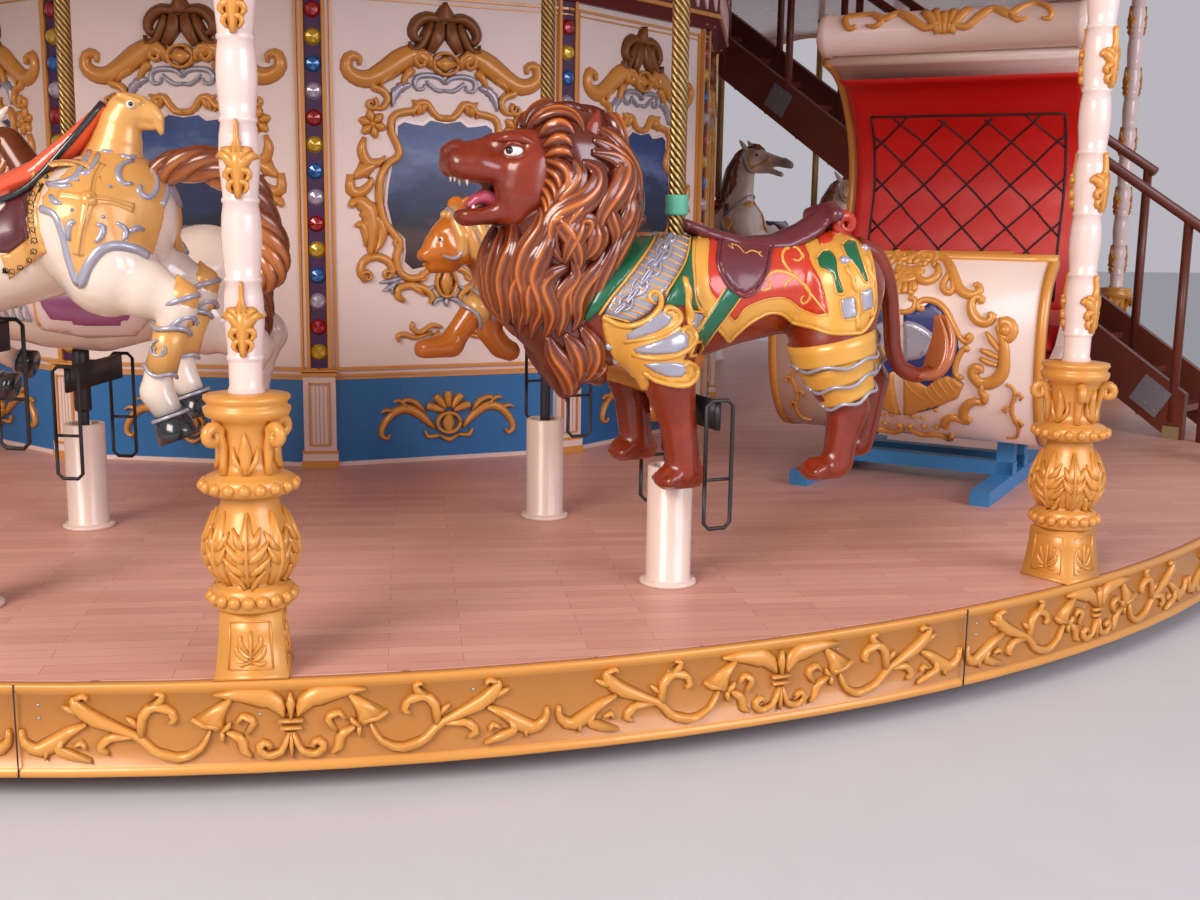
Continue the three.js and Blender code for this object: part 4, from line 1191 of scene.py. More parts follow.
# Broad grooved locks, laid on the mane along lines set out in picture points
maneGrid = (420, 90, 5)
chestGrid = (540, 180, 5.53)
maneLines = [
    ([(505, 188), (560, 105), (660, 62), (770, 70), (860, 110)], 0.075),
    ([(545, 205), (600, 145), (700, 115), (790, 150), (820, 210)], 0.07),
    ([(600, 238), (660, 190), (735, 180), (775, 230)], 0.065),
    ([(618, 285), (680, 245), (735, 240), (765, 290)], 0.06),
    ([(622, 335), (690, 300), (740, 300), (765, 345)], 0.055),
    ([(760, 72), (860, 88), (950, 155), (1005, 245), (1035, 340)], 0.08),
    ([(880, 190), (945, 235), (1000, 300), (1055, 385), (1092, 475), (1090, 570)], 0.08),
    ([(865, 250), (930, 280), (1000, 345), (1040, 420), (1040, 520), (1005, 610), (1010, 690)], 0.08),
    ([(860, 312), (955, 330), (1008, 400), (985, 500), (918, 590), (888, 680), (915, 800)], 0.105),
    ([(810, 360), (878, 395), (882, 475), (825, 550), (735, 600), (668, 655), (645, 735), (672, 810),
      (730, 875)], 0.105),
    ([(765, 345), (800, 405), (780, 475), (722, 535), (692, 590), (705, 640)], 0.08),
    ([(610, 345), (695, 358), (750, 410), (748, 490), (712, 550), (690, 620)], 0.06),
    ([(606, 388), (665, 398), (710, 445), (708, 520), (680, 585)], 0.045),
    ([(604, 432), (650, 446), (690, 495), (688, 560), (662, 620)], 0.042),
    ([(602, 480), (640, 496), (668, 545), (662, 610), (630, 670)], 0.042),
    ([(600, 530), (632, 548), (648, 598), (632, 660), (590, 720)], 0.042),
    ([(598, 590), (622, 620), (612, 690), (562, 760), (520, 830), (500, 920), (520, 1000),
      (532, 1080), (505, 1160), (500, 1235)], 0.09),
    ([(470, 660), (480, 770), (445, 860), (425, 960), (442, 1060), (435, 1150), (470, 1225)], 0.095),
    ([(418, 690), (398, 780), (378, 865), (372, 960), (388, 1060), (412, 1150), (445, 1212)], 0.085),
    ([(650, 660), (640, 760), (590, 850), (562, 930), (582, 1010), (602, 1090), (572, 1170), (560, 1245)],
     0.1),
    ([(735, 880), (655, 905), (605, 965), (625, 1040), (662, 1115), (640, 1200), (620, 1248)], 0.09),
    ([(750, 820), (790, 905), (742, 975), (690, 1035), (712, 1115), (700, 1190), (690, 1240)], 0.09),
    ([(925, 800), (900, 872), (832, 935), (782, 1005), (772, 1080), (792, 1140), (760, 1212)], 0.1),
    ([(1005, 700), (960, 805), (900, 905), (862, 985), (835, 1060), (825, 1130), (800, 1180)], 0.09),
    ([(1095, 565), (1065, 655), (1012, 765), (962, 855), (905, 955), (862, 1045), (842, 1120)], 0.07),
    ([(775, 690), (800, 650), (846, 645), (838, 705), (782, 765), (745, 825)], 0.07),
    ([(930, 560), (945, 640), (975, 720), (950, 800)], 0.07),
             ([(1050, 500), (1045, 600), (1000, 690), (960, 770)], 0.08),
    ([(850, 520), (800, 590), (760, 640), (720, 690), (730, 760)], 0.07),
    ([(860, 640), (870, 720), (850, 800), (800, 860)], 0.09),
    ([(905, 640), (918, 720), (890, 800), (850, 870)], 0.06),
    ([(560, 780), (520, 900), (470, 1000), (480, 1100), (465, 1180)], 0.07),
    ([(640, 850), (545, 985), (550, 1090), (530, 1180)], 0.07),
    ([(700, 940), (650, 1010), (690, 1080), (665, 1170), (650, 1225)], 0.06),
    ([(830, 870), (760, 950), (720, 1020), (750, 1100), (730, 1180)], 0.07),
    ([(625, 700), (700, 640), (760, 610)], 0.06),
    ([(668, 585), (706, 660), (764, 742), (792, 850), (772, 950)], 0.095),
    ([(810, 620), (790, 700), (740, 790), (716, 880)], 0.085),
    ([(640, 1230), (662, 1300), (722, 1370), (742, 1440), (745, 1520), (730, 1560)], 0.09),
    ([(720, 1220), (780, 1290), (800, 1370), (782, 1450), (762, 1530)], 0.09),
    ([(800, 1180), (852, 1260), (870, 1340), (850, 1420), (800, 1490)], 0.09),
    ([(860, 1140), (912, 1230), (930, 1320), (902, 1400), (862, 1450)], 0.08),
]


def lockOn(skin, frameMatrix, path, width, rise, ribs=4, across=10, sink=0.014):
    count = max(9, int(sum(math.dist(a, b) for a, b in zip(path, path[1:])) / 3.4))
    spots, normals = [], []
    for px, py in smoothPath(path, count):
        (spot, normal, _, _), origin, ahead = castOn(skin, frameMatrix, px, py)
        if spot is None:
            reach = -origin.y / ahead.y
            spot, normal, _, _ = skin.find_nearest(origin + ahead * reach)
        spots.append(np.array(spot))
        normals.append(np.array(-normal if normal.dot(ahead) > 0 else normal))
    spots, normals = np.array(spots), np.array(normals)
    for _ in range(8):
        spots[1:-1] = (spots[:-2] + 2 * spots[1:-1] + spots[2:]) / 4
        normals[1:-1] = (normals[:-2] + 2 * normals[1:-1] + normals[2:]) / 4
    normals /= np.linalg.norm(normals, axis=1)[:, None]
    size = profileOf([0.25, 0.7, 0.95, 1.0, 0.95, 0.75, 0.45, 0.08], count)
    side = np.linspace(-1, 1, across + 1)
    groove = 0.5 + 0.5 * np.cos(side * math.pi * ribs * (1 - 0.12 * side))
    bulge = np.sqrt(np.clip(1 - side ** 2, 0, 1)) * (0.8 + 0.2 * groove)
    # Shade of the lock: dark in its grooves and at its edges as painted shade, light on its ribs and crest as
    # painted highlight, lighter along its middle
    middle = np.sin(np.linspace(0.15, math.pi * 0.9, count))
    shade = np.clip((0.35 + 0.65 * middle[:, None]) * (bulge ** 2 * (0.45 + 0.55 * groove))[None, :] * 1.15,
                    0, 1)
    return layLock(spots, normals, size, bulge, width, rise, sink), shade.reshape(-1)


def maneLocks(base, place):
    skin = treeOf(base)
    shapes, shades = [], []
    for k, (path, width) in enumerate(maneLines):
        rise = 0.26 * width + 0.012 + 0.005 * (k % 3)
        shape, shade = lockOn(skin, place, fromPicture(path, maneGrid), width, rise,
                              ribs=3 if width > 0.065 else 2, across=10 if width > 0.065 else 7)
        shapes.append(shape)
        shades.append(shade)
    return shapes, np.concatenate(shades)


def coneShape(base, tip, radius):
    return tubeShape([base, (np.array(base) + np.array(tip)) / 2, tip],
                     [radius, radius * 0.75, radius * 0.12], 8)


# What is moulded on the lion, set out on the near side
lionTack = {
    "cloth": [(530, 200), (590, 212), (640, 222), (830, 246), (960, 222), (1040, 185),
              (1110, 192), (1165, 215), (1210, 290), (1232, 420), (1228, 520), (1190, 588), (1150, 600),
              (1060, 600), (990, 578), (920, 560), (870, 525), (815, 520), (745, 555), (690, 600), (660, 628),
              (640, 605), (575, 535), (530, 480), (522, 400), (520, 300)],
    "field": [(582, 232), (640, 248), (830, 268), (950, 245), (985, 320), (1000, 345),
              (1030, 400), (1055, 520), (1010, 530), (940, 500), (890, 468), (850, 460), (790, 470),
              (720, 500), (682, 548), (655, 528), (603, 465), (576, 420), (573, 330)],
    "rump": [(1005, 222), (1050, 196), (1090, 196), (1075, 225), (1068, 250), (1020, 262)],
    "keyholes": [[(1008, 312), (1032, 286), (1062, 284), (1085, 315), (1092, 370), (1112, 440), (1086, 444),
                  (1066, 372), (1022, 348)],
                 [(1104, 262), (1130, 242), (1156, 252), (1172, 300), (1192, 360), (1202, 398), (1186, 400),
                  (1160, 350), (1120, 305)]],
    "plates": [[(1096, 470), (1150, 456), (1160, 536), (1110, 546)],
               [(1172, 436), (1216, 424), (1220, 500), (1180, 514)]],
    "band": [(590, 130), (630, 160), (662, 190), (655, 250), (630, 330), (570, 430), (490, 530),
             (400, 630), (320, 730), (262, 782), (240, 770), (290, 660), (380, 520), (450, 380),
             (520, 250), (560, 160)],
    "collar": [(665, 190), (740, 210), (800, 235), (826, 280), (826, 350), (800, 450), (745, 550), (690, 630),
               (600, 740), (520, 785), (440, 780), (345, 745), (400, 645), (480, 555), (560, 455), (635, 340),
               (660, 260)],
    "green": [(832, 262), (860, 282), (852, 350), (852, 480), (862, 600), (905, 705), (860, 720), (780, 700),
              (680, 700), (740, 560), (800, 440), (828, 350)],
    "slate": [(832, 724), (915, 742), (852, 830), (832, 800)],
    "shell": [(345, 745), (400, 760), (450, 800), (540, 810), (620, 780), (670, 715), (735, 712), (770, 755),
              (772, 812), (830, 822), (850, 880), (832, 935), (790, 985), (842, 1015),
              (852, 1080), (812, 1130), (720, 1132), (640, 1095), (592, 1062), (603, 1130), (592, 1178),
              (555, 1166), (500, 1110), (440, 1040), (388, 960), (358, 880), (345, 820)],
    "lobes": [[(480, 842), (560, 795), (640, 735), (682, 716), (722, 760), (704, 800), (650, 840), (560, 872),
               (492, 882)],
              [(532, 930), (620, 902), (700, 872), (762, 832), (808, 862), (800, 920), (750, 950), (640, 960),
               (545, 952)],
              [(582, 1008), (640, 1000), (730, 1000), (788, 1012), (800, 1052), (770, 1088), (700, 1080),
               (640, 1052)]],
    "fingers": [[(350, 748), (430, 792), (520, 800), (600, 772), (660, 708), (664, 645),
                 (630, 618), (602, 646), (622, 676)],
                [(470, 884), (600, 880), (700, 842), (764, 778), (748, 722), (700, 704),
                 (682, 740), (706, 764)],
                [(524, 962), (650, 980), (760, 962), (838, 900), (836, 842), (796, 820),
                 (776, 852), (800, 880)],
                [(584, 1050), (660, 1108), (780, 1134), (842, 1100), (848, 1040), (806, 1008), (778, 1036),
                 (800, 1062)]],
    "dimples": [(520, 852), (600, 842), (672, 800), (672, 760), (590, 946), (660, 936), (730, 920),
                (780, 880), (664, 1026), (702, 1050), (750, 1070)],
    "chain": [(712, 196), (740, 236), (738, 290), (705, 356), (664, 436), (612, 518), (552, 598), (484, 672),
              (420, 722)],
    "girth": [(646, 424), (702, 454), (560, 640), (522, 612)],
    "flap": [(622, 238), (700, 252), (832, 246), (818, 300), (800, 372), (762, 430), (716, 456), (668, 436),
             (628, 382), (610, 318)],
}


def lionTrappings(skin, place):
    def plate(points, rise, grid=rearGrid, **more):
        return plateShape(skin, place, fromPicture(points, grid), rise, **more)

    def line(points, width, rise, grid=rearGrid, **more):
        return lineOn(skin, place, fromPicture(points, grid), width, rise, **more)

    v = lionTack
    chest = chestGrid
    gold = [plate(v["cloth"], 0.009), plate(v["shell"], 0.016, chest)]
    red = [plate(v["field"], 0.0125, base=0.0105), plate(v["rump"], 0.0125, base=0.0105)]
    green = [plate(hole, 0.013, base=0.011) for hole in v["keyholes"]]
    green += [plate(v["band"], 0.014, chest, base=0.01), plate(v["green"], 0.008, chest),
              plate(v["girth"], 0.017, base=0.014)]
    silver = [plate(p, 0.015, base=0.012) for p in v["plates"]] + [plate(v["collar"], 0.012, chest)]
    silver += [plate(p, 0.021, chest, base=0.017) for p in v["lobes"]] + [plate(v["slate"], 0.012, chest)]
    silver += [studOn(skin, place, *fromPicture([p], g)[0], r, 0.02) for p, r, g in
               (((1115, 318), 0.022, rearGrid), ((1190, 272), 0.018, rearGrid), ((380, 916), 0.016, chest),
                ((418, 992), 0.016, chest), ((458, 1052), 0.014, chest))]
    plum = [plate(v["flap"], 0.02, round=3)]
    # borders
    gold += [line(v["cloth"], 0.016, 0.013, closed=True), line(v["field"], 0.009, 0.015, closed=True)]
    gold += [line(hole, 0.009, 0.018, closed=True) for hole in v["keyholes"]]
    gold += [line(p, 0.007, 0.016, closed=True) for p in v["plates"]]
    gold += [line([(575, 122), (545, 235), (500, 320)], 0.01, 0.014, chest),
             line([(602, 128), (648, 162), (664, 200), (655, 260), (630, 340), (560, 450),
                   (480, 552), (400, 645), (330, 740)], 0.012, 0.017, chest),
             line([(740, 208), (800, 233), (826, 280), (826, 350), (800, 450), (745, 550), (690, 632)], 0.009,
                  0.017, chest),
             line([(832, 724), (915, 742), (856, 826)], 0.008, 0.017, chest),
             line([(643, 424), (522, 608)], 0.01, 0.018), line([(704, 456), (562, 642)], 0.01, 0.018),
             line([(522, 640), (556, 630), (548, 668), (506, 690), (522, 640)], 0.012, 0.016)]
    gold += [line(path, [0.02, 0.024, 0.022, 0.017], 0.026, chest) for path in v["fingers"]]
    # ribs of the collar
    inner = smoothPath([(672, 205), (660, 275), (628, 352), (562, 458), (482, 558), (402, 650), (356, 738)],
                       18)
    outer = smoothPath([(810, 250), (824, 340), (800, 436), (748, 540), (692, 626), (610, 722), (500, 780)],
                       18)
    gold += [line([a + (b - a) * 0.04, a + (b - a) * 0.97], 0.009, 0.018, chest, count=7)
             for a, b in zip(inner, outer)]
    # twisted rod, rope tassels and foliage
    gold += [line([(796, 548), (806, 640), (818, 740), (822, 812)], 0.026, 0.024, chest, sides=10, twist=1.1),
             line([(1122, 340), (1146, 400), (1162, 450), (1164, 520), (1160, 585)], 0.022, 0.02,
                  sides=8, twist=1.4),
             line([(1192, 300), (1212, 360), (1222, 440), (1214, 535)], 0.02, 0.018, sides=8, twist=1.4)]
    gold += [line(path, width, 0.02) for path, width in (
        ([(778, 430), (800, 432), (822, 420), (812, 395), (800, 400)], [0.012, 0.016, 0.012, 0.006]),
        ([(792, 390), (838, 362), (890, 370), (932, 396), (982, 440), (1020, 488), (1044, 522)],
         [0.01, 0.02, 0.02, 0.016, 0.012, 0.006]),
        ([(905, 372), (874, 335), (866, 300), (888, 272), (925, 276), (944, 304), (930, 322), (908, 318)],
         [0.014, 0.018, 0.018, 0.014, 0.008]),
        ([(888, 282), (900, 262)], [0.012, 0.006]), ([(934, 288), (950, 300), (952, 318)], [0.01, 0.005]),
        ([(872, 424), (884, 400), (912, 380), (936, 366)], [0.008, 0.016, 0.014, 0.006]),
        ([(932, 398), (968, 420), (988, 452), (974, 480), (948, 482), (938, 464), (952, 452)],
         [0.014, 0.016, 0.014, 0.007]))]
    gold += [line(path, width, 0.026, count=8) for path, width in (
        ([(650, 272), (668, 284), (664, 266)], 0.008), ([(662, 268), (690, 276), (712, 300)],
                                                        [0.01, 0.012, 0.006]),
        ([(784, 314), (770, 300), (782, 296)], 0.008), ([(776, 300), (742, 292), (716, 302)],
                                                        [0.01, 0.012, 0.006]))]
    plum += [line(v["flap"], 0.014, 0.026, closed=True)]
    # silver chain: every other link turned on edge
    links = smoothPath(v["chain"], 15)
    for k in range(14):
        middle = (links[k] + links[k + 1]) / 2
        half = (links[k + 1] - links[k]) * 0.86
        across = np.array([-half[1], half[0]]) * (0.8 if k % 2 == 0 else 0.16)
        ring = [middle + half * math.cos(t) + across * math.sin(t) for t in np.linspace(0, tau, 10)]
        silver.append(line(ring, 0.0115, 0.028 if k % 2 == 0 else 0.036, chest, count=12, sides=6))
    # small rings struck into the lobes
    for x, y in v["dimples"]:
        silver.append(line(spiral((x, y), 12, 12, 0.8, 40, 6), 0.004, 0.0235, chest, count=6, sides=4))
    return {"gold": (gold, tackGold), "red": (red, tackRed), "green": (green, tackGreen),
            "silver": (silver, tackSilver), "flap": (plum, saddlePlum)}


# Skirt of three gold tiers round each thigh, silver at the edges
def thighSkirt(joints):
    gold, silver = [], []
    for k in range(3):
        a, b = np.array(joints[k], float), np.array(joints[k + 1], float)
        steps = [a + (b - a) * t for t in (0, 0.5, 1.0, 1.12)]
        swell = [0.008, 0.012, 0.016, 0.018]
        line = [s[:3] for s in steps]
        gold.append(tubeShape(line, [s[3] + w for s, w in zip(steps, swell)], 24))
        rim, normal = steps[-1], (b - a)[:3] / np.linalg.norm((b - a)[:3])
        aside = np.cross(normal, [0, 1.0, 0])
        ring = []
        for t in np.linspace(0, tau, 37):
            wave = 0.008 * math.sin(6 * t)
            reach = rim[3] + 0.019
            ring.append(rim[:3] + reach * (math.cos(t) * aside + math.sin(t) * np.array([0, 1.0, 0]))
                        + wave * normal)
        silver.append(tubeShape(ring, 0.007, 6))
    return gold, silver


def makeLion(owners):
    def part(name, shapes, finish, **more):
        riderPiece(name, shapes, finish, owners, "lion_enamel", **more)

    place = riderFrame(owners[0])
    body = lionBody()
    skin = treeOf(body)
    part("body", [body], lionEnamel, both=False, thin=0.2)
    mane = lionMane()
    shapes, shade = maneLocks(mane, place)
    # The mane under the locks is painted dark brown: painted shade in the gaps between the locks
    part("mane", [mane], maneEnamel, both=False, thin=0.5,
         colours=between("#4a1707", "#7a3010", np.full(len(mane[0]), 0.4)))
    # Locks run from dark brown in their painted shade to orange in their painted highlights
    part("mane_locks", shapes, maneEnamel, thin=0.3, colours=between("#561404", "#dd8436", shade ** 2.1))
    for name, (shapes, finish) in lionTrappings(skin, place).items():
        part("tack_" + name, shapes, finish, thin=0.15)
    gold, silver = [], []
    for joints in lion["thighs"]:
        a, b = thighSkirt(joints)
        gold += a
        silver += b
    part("skirt_gold", gold, tackGold, both=False, thin=0.4)
    part("skirt_silver", silver, tackSilver, both=False, thin=0.3)
    saddle = blobShape([limb([[-0.03, 0, 1.27, 0.02], [-0.1, 0, 1.24, 0.026], [-0.25, 0, 1.195, 0.036],
                              [-0.4, 0, 1.2, 0.04], [-0.52, 0, 1.25, 0.036], [-0.6, 0, 1.315, 0.026]],
                             0.02, 2.6),
                        limb([[-0.59, -0.09, 1.31, 0.026], [-0.62, 0, 1.33, 0.03],
                              [-0.59, 0.09, 1.31, 0.026]], 0.02)], 0.011)
    part("saddle", [saddle], saddlePlum, both=False)
    roll = spiral((-0.655, 1.275), 0.045, 0.012, 1.4, 250, 16)
    curl = tubeShape([[x, 0, z] for x, z in roll], [0.02, 0.024, 0.018, 0.01], 8)
    wide = [moveShape(curl, 0, y, 0) for y in (-0.045, 0, 0.045)]
    part("cantle_scroll", wide, tackRed, both=False)
    tailShapes = [tubeShape(lion["tail"], [0.036, 0.034, 0.033, 0.032, 0.031, 0.03, 0.03, 0.02], 14, 40)]
    part("tail", tailShapes, lionEnamel, both=False)
    tuft = []
    for k in range(-4, 5):
        lean = k / 4
        outer = 1 - abs(lean) * 0.25
        path = [[-1.02, lean * 0.012, 0.712],
                [-1.09 - 0.015 * outer, lean * 0.03, 0.715 + 0.01 * (1 - outer)],
                [-1.145, lean * 0.045, 0.77], [-1.17, lean * 0.035, 0.85], [-1.15, lean * 0.012, 0.94]]
        tuft.append(tubeShape(path, [0.014, 0.024, 0.022, 0.016, 0.003], 8, 20))
        inner = [[x + 0.03 * min(1, max(0, (z - 0.7) * 8)), y, z] for x, y, z in path]
        tuft.append(tubeShape(inner, [0.012, 0.018, 0.016, 0.012, 0.003], 8, 16))
    shade = np.concatenate([np.linspace(0.35, 0.9, len(s[0])) for s in tuft])
    part("tail_tuft", tuft, maneEnamel, both=False, colours=between("#8a3413", "#d98a50", shade))
    # face: eye with lids, fangs, tongue and ear
    ball = blobShape([limb([[0.632, 0.078, 1.494, 0.023], [0.612, 0.084, 1.494, 0.02]])], 0.0035)
    iris = blobShape([limb([[0.641, 0.092, 1.496, 0.0125]])], 0.0025)
    part("eyes", [ball], eyeWhite)
    part("pupils", [iris], eyeDark)
    x, y, z = lion["eye"]
    lids = [tubeShape([[x + 0.036, y - 0.014, z - 0.006], [x + 0.016, y + 0.012, z + 0.021],
                       [x - 0.012, y + 0.018, z + 0.022], [x - 0.05, y + 0.012, z + 0.004]],
                      [0.004, 0.008, 0.008, 0.004], 8, 14),
            tubeShape([[x + 0.036, y - 0.014, z - 0.008], [x + 0.014, y + 0.012, z - 0.022],
                       [x - 0.014, y + 0.018, z - 0.02], [x - 0.05, y + 0.012, z + 0.002]],
                      [0.003, 0.006, 0.006, 0.004], 8, 14)]
    brow = tubeShape([[x + 0.05, y - 0.03, z + 0.03], [x + 0.02, y, z + 0.04],
                      [x - 0.03, y + 0.014, z + 0.038], [x - 0.08, y + 0.02, z + 0.016]],
                     [0.006, 0.015, 0.016, 0.006], 10, 16)
    lids.append(brow)
    part("lids", lids, lionEnamel)
    fangs = [coneShape((0.797, 0.022, 1.42), (0.8, 0.022, 1.395), 0.0065),
             coneShape((0.765, 0.04, 1.412), (0.763, 0.038, 1.383), 0.0075),
             coneShape((0.738, 0.018, 1.3), (0.735, 0.018, 1.332), 0.008)]
    part("fangs", fangs, eyeWhite)
    tongue = blobShape([limb([[0.65, 0, 1.33, 0.026], [0.69, 0, 1.352, 0.026], [0.72, 0, 1.345, 0.02],
                              [0.745, 0, 1.325, 0.014]], 0.01, 1.5)], 0.007)
    part("tongue", [tongue], tonguePink, both=False)
    ear = blobShape([limb([[0.4, 0.125, 1.47, 0.05], [0.39, 0.14, 1.53, 0.044], [0.372, 0.14, 1.58, 0.026],
                           [0.355, 0.135, 1.63, 0.006]], 0.02, 0.55)], 0.008,
                    [limb([[0.425, 0.165, 1.48, 0.03], [0.412, 0.175, 1.53, 0.026],
                           [0.385, 0.17, 1.585, 0.012]], 0.01, 0.8)])
    part("ears", [ear], lionEnamel)
    collar = [turnedShape([(0.0312, 1.3), (0.039, 1.302), (0.04, 1.31), (0.038, 1.335),
                           (0.04, 1.36), (0.039, 1.368), (0.0312, 1.37)], 24)]
    part("pole_collar", collar, mintCollar, both=False)


makeLion(["lion_1", "lion_2"])
print("lions made")


# Centre drum: twelve painted panels with carved frames, jewelled corner strips, dado and cornice
drum = {"apothem": drumFace * math.cos(math.pi / 12), "panelLow": 0.5, "lampLow": 0.585, "lampPitch": 0.128,
        "lampRadius": 0.042, "lampRise": 0.026, "stripHalf": 0.045, "stripEdge": 0.052, "edgeHalf": 0.009,
        "stripTop": 2.42, "halfWidth": drumFace * math.sin(math.pi / 12), "dadoOut": 0.028, "dadoTall": 0.45,
        "corniceLow": 2.38, "corniceOut": 0.08}
# The dark hollow colour of the carving is painted shade in its hollows
crestPaint = paintFinish("carving_brown_gold", "#8f5a2c", "#6f401d", 0.4, 0.2, hollowShade="#331a08")
cornicePaint = paintFinish("cornice_dark_red", "#6d1a1c", "#551014", 0.4)
dropPaint = paintFinish("cornice_drop_pink", "#e9c9c4", "#d8b2ae", 0.4)


# Sea and sky in soft bands, as on the painted pictures
def pictureFinish():
    material, tree, shader = startMaterial("picture_oil_paint")
    place = addNode(tree, "ShaderNodeTexCoord").outputs["Object"]
    parts = addNode(tree, "ShaderNodeSeparateXYZ", None, Vector=place)
    clouds = noiseAt(tree, 3.5, 9, 0.62, (1, 1, 2.2))
    height = addNode(tree, "ShaderNodeMath", {"operation": "MULTIPLY_ADD"}, i0=clouds.outputs[0], i1=0.5,
                     i2=parts.outputs[2])
    span = addNode(tree, "ShaderNodeMapRange", None, Value=height.outputs[0], From_Min=1.55, From_Max=2.4)
    ramp = addNode(tree, "ShaderNodeValToRGB", None, Fac=span.outputs[0])
    stops = ((0.0, "#1a1415"), (0.25, "#4d3a35"), (0.36, "#161a2c"), (0.55, "#1f2f58"), (0.72, "#5a6c92"),
             (0.85, "#27457c"), (1.0, "#14285a"))
    while len(ramp.color_ramp.elements) < len(stops):
        ramp.color_ramp.elements.new(0.5)
    for element, (at, code) in zip(ramp.color_ramp.elements, stops):
        element.position = at
        element.color = toLinear(code)
    tree.links.new(ramp.outputs[0], shader.inputs["Base Color"])
    shader.inputs["Roughness"].default_value = 0.3
    return material


picturePaint = pictureFinish()
lampPaints = [paintFinish("lamp_glass_" + name, code, shade, 0.08, 0.3, coat=1.0) for name, code, shade in (
    ("yellow", "#d9b520", "#a8830e"), ("red", "#b3151b", "#7d0b12"), ("silver", "#c3bccb", "#8f8aa0"),
    ("blue", "#1f6fb8", "#124a86"))]


def carved(points, scale=796, centre=(462, 1510)):
    return [((x - centre[0]) / scale, (centre[1] - y) / scale) for x, y in points]


def carving(points, width, rise=0.026, count=None, across=4, **more):
    return stroke(carved(points), np.atleast_1d(width) * 1.35 / 796, rise,
                  count or 3 + 2 * len(points), across, **more)


def curl(x, y, start, turns, angle, width=24, rise=0.026):
    path = spiral((x, y), start, start * 0.2, turns, angle, 11)
    return stroke(carved(path), np.array([width, width * 0.8, width * 0.45]) * 1.4 / 796, rise, 11, 3)


pictureOutline = [(462, 528), (400, 518), (370, 540), (330, 536), (290, 528), (264, 545),
                  (264, 595), (288, 650), (240, 700), (224, 780), (217, 850), (238, 940), (290, 990),
                  (292, 1040), (286, 1082), (320, 1112), (380, 1100), (420, 1110), (462, 1092)]


